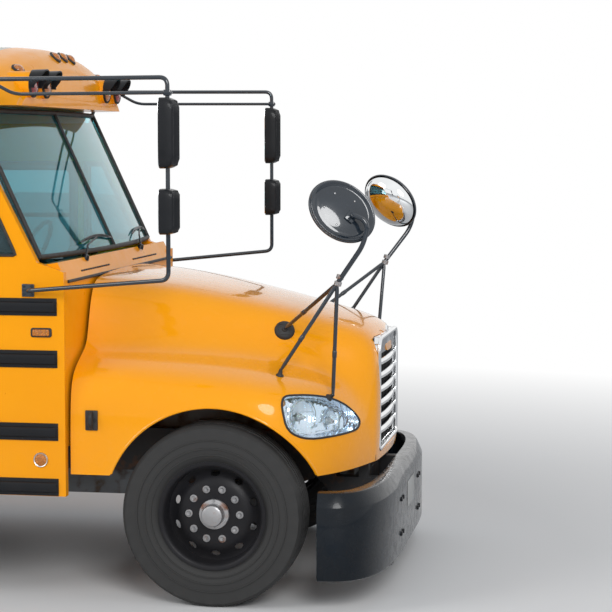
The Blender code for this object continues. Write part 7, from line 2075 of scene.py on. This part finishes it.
def cushion(form, low, high, crown, tuck, steps=(6, 10, 3)):
    """A crowned pad between two corners: sides pull in between the corners and the faces swell."""
    low, high = Vector(low), Vector(high)
    middle, half = (low + high) / 2, (high - low) / 2
    corners = {}

    def corner(place):
        if place not in corners:
            u, v, w = (2 * part / count - 1 for part, count in zip(place, steps))
            swell = [(1 - v * v) * (1 - w * w), (1 - u * u) * (1 - w * w), (1 - u * u) * (1 - v * v)]
            pull = (1 - tuck) * (1 - 0.06 * (abs(u * v) ** 3 + abs(v * w) ** 3 + abs(u * w) ** 3))
            point = []
            for axis, value in enumerate((u, v, w)):
                rise = crown * swell[axis] if abs(value) == 1 else 0.0
                point.append(middle[axis] + value * (half[axis] * pull + rise))
            corners[place] = form.verts.new(point)
        return corners[place]

    for axis in range(3):
        one, two = (axis + 1) % 3, (axis + 2) % 3
        for level in (0, steps[axis]):
            for i in range(steps[one]):
                for j in range(steps[two]):
                    ring = []
                    for di, dj in ((0, 0), (1, 0), (1, 1), (0, 1)):
                        place = [0, 0, 0]
                        place[axis], place[one], place[two] = level, i + di, j + dj
                        ring.append(corner(tuple(place)))
                    form.faces.new(ring if level else ring[::-1])


def bench(form, welts, x, side):
    low_y, high_y = sorted((side * 0.19, side * 1.163))
    cushion(form, (x + 0.075, low_y, SEAT_Z - 0.11), (x + 0.49, high_y, SEAT_Z - 0.012), 0.012, 0.006)
    cushion(form, (x + 0.002, low_y, SEAT_Z - 0.08), (x + 0.066, high_y, BACK_Z - 0.008), 0.007, 0.006,
            (3, 10, 6))
    ends = (low_y + 0.012, high_y - 0.012)
    add_tube(welts, [(x + 0.484, ends[0] + (ends[1] - ends[0]) * share, SEAT_Z - 0.022)
                     for share in shares(6)], 0.0035, 6)
    add_tube(welts, [(x + 0.071, y, BACK_Z - 0.02) for y in ends], 0.0035, 6)


def benches(label, side):
    form, welts, frames = new_forms(3)
    for row in range(BENCH_COUNT):
        x = BENCH_FIRST_X + BENCH_PITCH * row
        bench(form, welts, x, side)
        leg_y = side * 0.31
        add_tube(frames, bent([(x + 0.2, leg_y, FLOOR_Z + 0.001), (x + 0.24, leg_y, SEAT_Z - 0.13),
                               (x + 0.4, leg_y, SEAT_Z - 0.13), (x + 0.42, leg_y, FLOOR_Z + 0.001)], 0.03, 4),
                 0.014, 8)
        add_box(frames, (x + 0.16, leg_y - 0.03, FLOOR_Z + 0.0005), (x + 0.46, leg_y + 0.03, FLOOR_Z + 0.006),
                0.002)
        for dx in (0.12, 0.42):
            add_tube(frames, [(x + dx, side * y, SEAT_Z - 0.118) for y in (0.22, 1.15)], 0.012, 8)
    pads = dress("bench_pads_" + label, form, bench_vinyl, sharp=50)
    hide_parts("seats_" + label)
    dress("bench_welts_" + label, welts, bench_vinyl, sharp=50)
    last_x = BENCH_FIRST_X + (BENCH_COUNT - 1) * BENCH_PITCH + 0.4
    add_box(frames, (SHELL_REAR + 0.05, side * 1.124, SEAT_Z - 0.15), (last_x, side * 1.164, SEAT_Z - 0.11),
            0.004)
    dress("bench_frames_" + label, frames, satin_black)
    return pads


for label, side in SIDES:
    pads = benches(label, side)

# %% Driver chair
x, y = COWL_X - 1.3, DRIVER_SIDE
form, hard = new_forms(2)
seat_z = FLOOR_Z + 0.49
cushion(form, (x + 0.05, y - 0.245, seat_z - 0.11), (x + 0.48, y + 0.245, seat_z - 0.01), 0.014, 0.006)
cushion(form, (x - 0.045, y - 0.235, seat_z - 0.02), (x + 0.045, y + 0.235, FLOOR_Z + 0.93), 0.01, 0.006,
        (3, 8, 8))
cushion(form, (x - 0.04, y - 0.135, FLOOR_Z + 0.945), (x + 0.03, y + 0.135, FLOOR_Z + 1.14), 0.008, 0.006,
        (3, 6, 4))
seat = dress("driver_seat_pads", form, driver_cloth, sharp=50)
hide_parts("driver_seat")
add_box(hard, (x + 0.11, y - 0.125, FLOOR_Z + 0.001), (x + 0.4, y + 0.125, FLOOR_Z + 0.06), 0.01)
for step in range(7):
    z = FLOOR_Z + 0.07 + step * 0.042
    add_box(hard, (x + 0.13 + 0.01 * (step % 2), y - 0.12 + 0.01 * (step % 2), z),
            (x + 0.38 - 0.01 * (step % 2), y + 0.12 - 0.01 * (step % 2), z + 0.04), 0.012)
for dy in (-0.05, 0.05):
    add_tube(hard, [(x, y + dy, FLOOR_Z + 0.9), (x - 0.002, y + dy, FLOOR_Z + 0.96)], 0.007, 8)
dress("driver_seat_base", hard, satin_black)

print("bench faces on one side:", len(pads.data.polygons))

# %% [markdown]
# The driver's place: an instrument hood with four round dials and a row of switches beside it. The dials
# carry plain ticks only. Two grab rails and a low panel stand beside the steps.

# %% Driver's place
dark, bright, dial = new_forms(3)
x, y0, DIAL_Z = 3.45, DRIVER_SIDE, 1.765
rings = []
for step in range(21):
    turn = pi * step / 20
    out = Vector((0, cos(turn) * 0.27, sin(turn) * 0.12))
    centre = Vector((x, y0, DIAL_Z))
    rings.append([centre + out * 0.92, centre + out, centre + out + Vector((-0.085, 0, 0.0)),
                  centre + out * 0.92 + Vector((-0.085, 0, 0.0))])
add_loft(dark, rings)
for dy, dz, radius in ((-0.14, 0.035, 0.045), (-0.04, 0.045, 0.05), (0.07, 0.045, 0.05), (0.17, 0.032, 0.04)):
    seat = aimed((x - 0.045, y0 + dy, DIAL_Z + dz), (-1, 0, 0.25))
    add_lathe(bright, [(radius, 0.004), (radius + 0.004, 0.006), (radius + 0.007, 0.0)], seat, 28)
    add_lathe(dial, [(0.0, 0.001), (radius, 0.001)], seat, 28)
    for tick in range(9):
        turn = radians(-40 + 260 * tick / 8)
        at = seat @ turned(radius * 0.8, turn, 0.0015)
        add_box(bright, at - Vector((0.0008, 0.0012, 0.003)), at + Vector((0.0008, 0.0012, 0.003)), 0)
for step in range(8):
    add_box(dark, (3.393, 0.02 + step * 0.035 - 0.012, 1.6), (3.405, 0.02 + step * 0.035 + 0.012, 1.64), 0.003)
dress("dash_hood", dark, dash_plastic)
dress("dash_bezels", bright, window_alloy)
dress("dash_dials", dial, gasket_rubber)

# %% Grab rails
form = bmesh.new()
for x in (2.38, 3.2):
    add_tube(form, bent([(x, -1.1, 0.98), (x, -0.62, 1.02), (x, -0.62, 1.7), (x, -1.12, 1.8)],
                        0.08, 6), 0.015, 10)
screen = bmesh.new()
add_box(screen, (2.37, -1.1, 1.02), (2.385, -0.22, 1.62), 0.004)
dress("grab_rails", form, window_alloy)
dress("modesty_panel", screen, bench_vinyl)

# %% [markdown]
# Last come the carried-over solids: each keeps its shape and takes a finish. Body panels are enamel, the
# chassis is dull painted steel with rust, glass is tinted, and the floor is ribbed rubber.

# %% Finishes for the model's own solids
NODE_FINISHES = {
    body_yellow: ("left_wall", "right_wall", "rear_wall", "emergency_door", "front_cap", "cowl"),
    roof_white: ("roof",),
    floor_rubber: ("floor",),
    windshield_glass: ("windshield",),
    smoked_glass: ("glass_left", "glass_right", "quarter_glass_left", "quarter_glass_right"),
    satin_black: ("door_front", "door_rear", "side_mirror_left", "side_mirror_right", "crossview_left",
                  "crossview_right"),
    bumper_black: ("front_bumper", "rear_bumper"),
    chassis_steel: ("frame_rails", "front_axle", "rear_axle", "fuel_tank", "knuckle_left", "knuckle_right"),
    engine_cast: ("engine_block", "radiator", "drive_shaft"),
    pipe_steel: ("exhaust",),
    dash_plastic: ("steering_wheel",),
    sign_red: ("stop_arm",),
    hood_yellow: ("hood",),
    chrome: ("grille",),
    lens_clear: ("headlamp_left", "headlamp_right"),
    lid_plastic: ("hatch_front", "hatch_rear"),
    bench_vinyl: ("seats_left", "seats_right", "driver_seat"),
    wheel_black: ("front_wheel_left", "front_wheel_right", "rear_wheels_left", "rear_wheels_right"),
    tyre_rubber: ("front_tyre_left", "front_tyre_right", "rear_tyre_left_outer", "rear_tyre_left_inner",
                  "rear_tyre_right_outer", "rear_tyre_right_inner"),
}
dressed = 0
for finish, names in NODE_FINISHES.items():
    for name in names:
        solid = nodes[name]
        solid.data.materials.clear()
        solid.data.materials.append(finish)
        dressed += 1
print("solids with a finish:", dressed, "of", len(nodes))
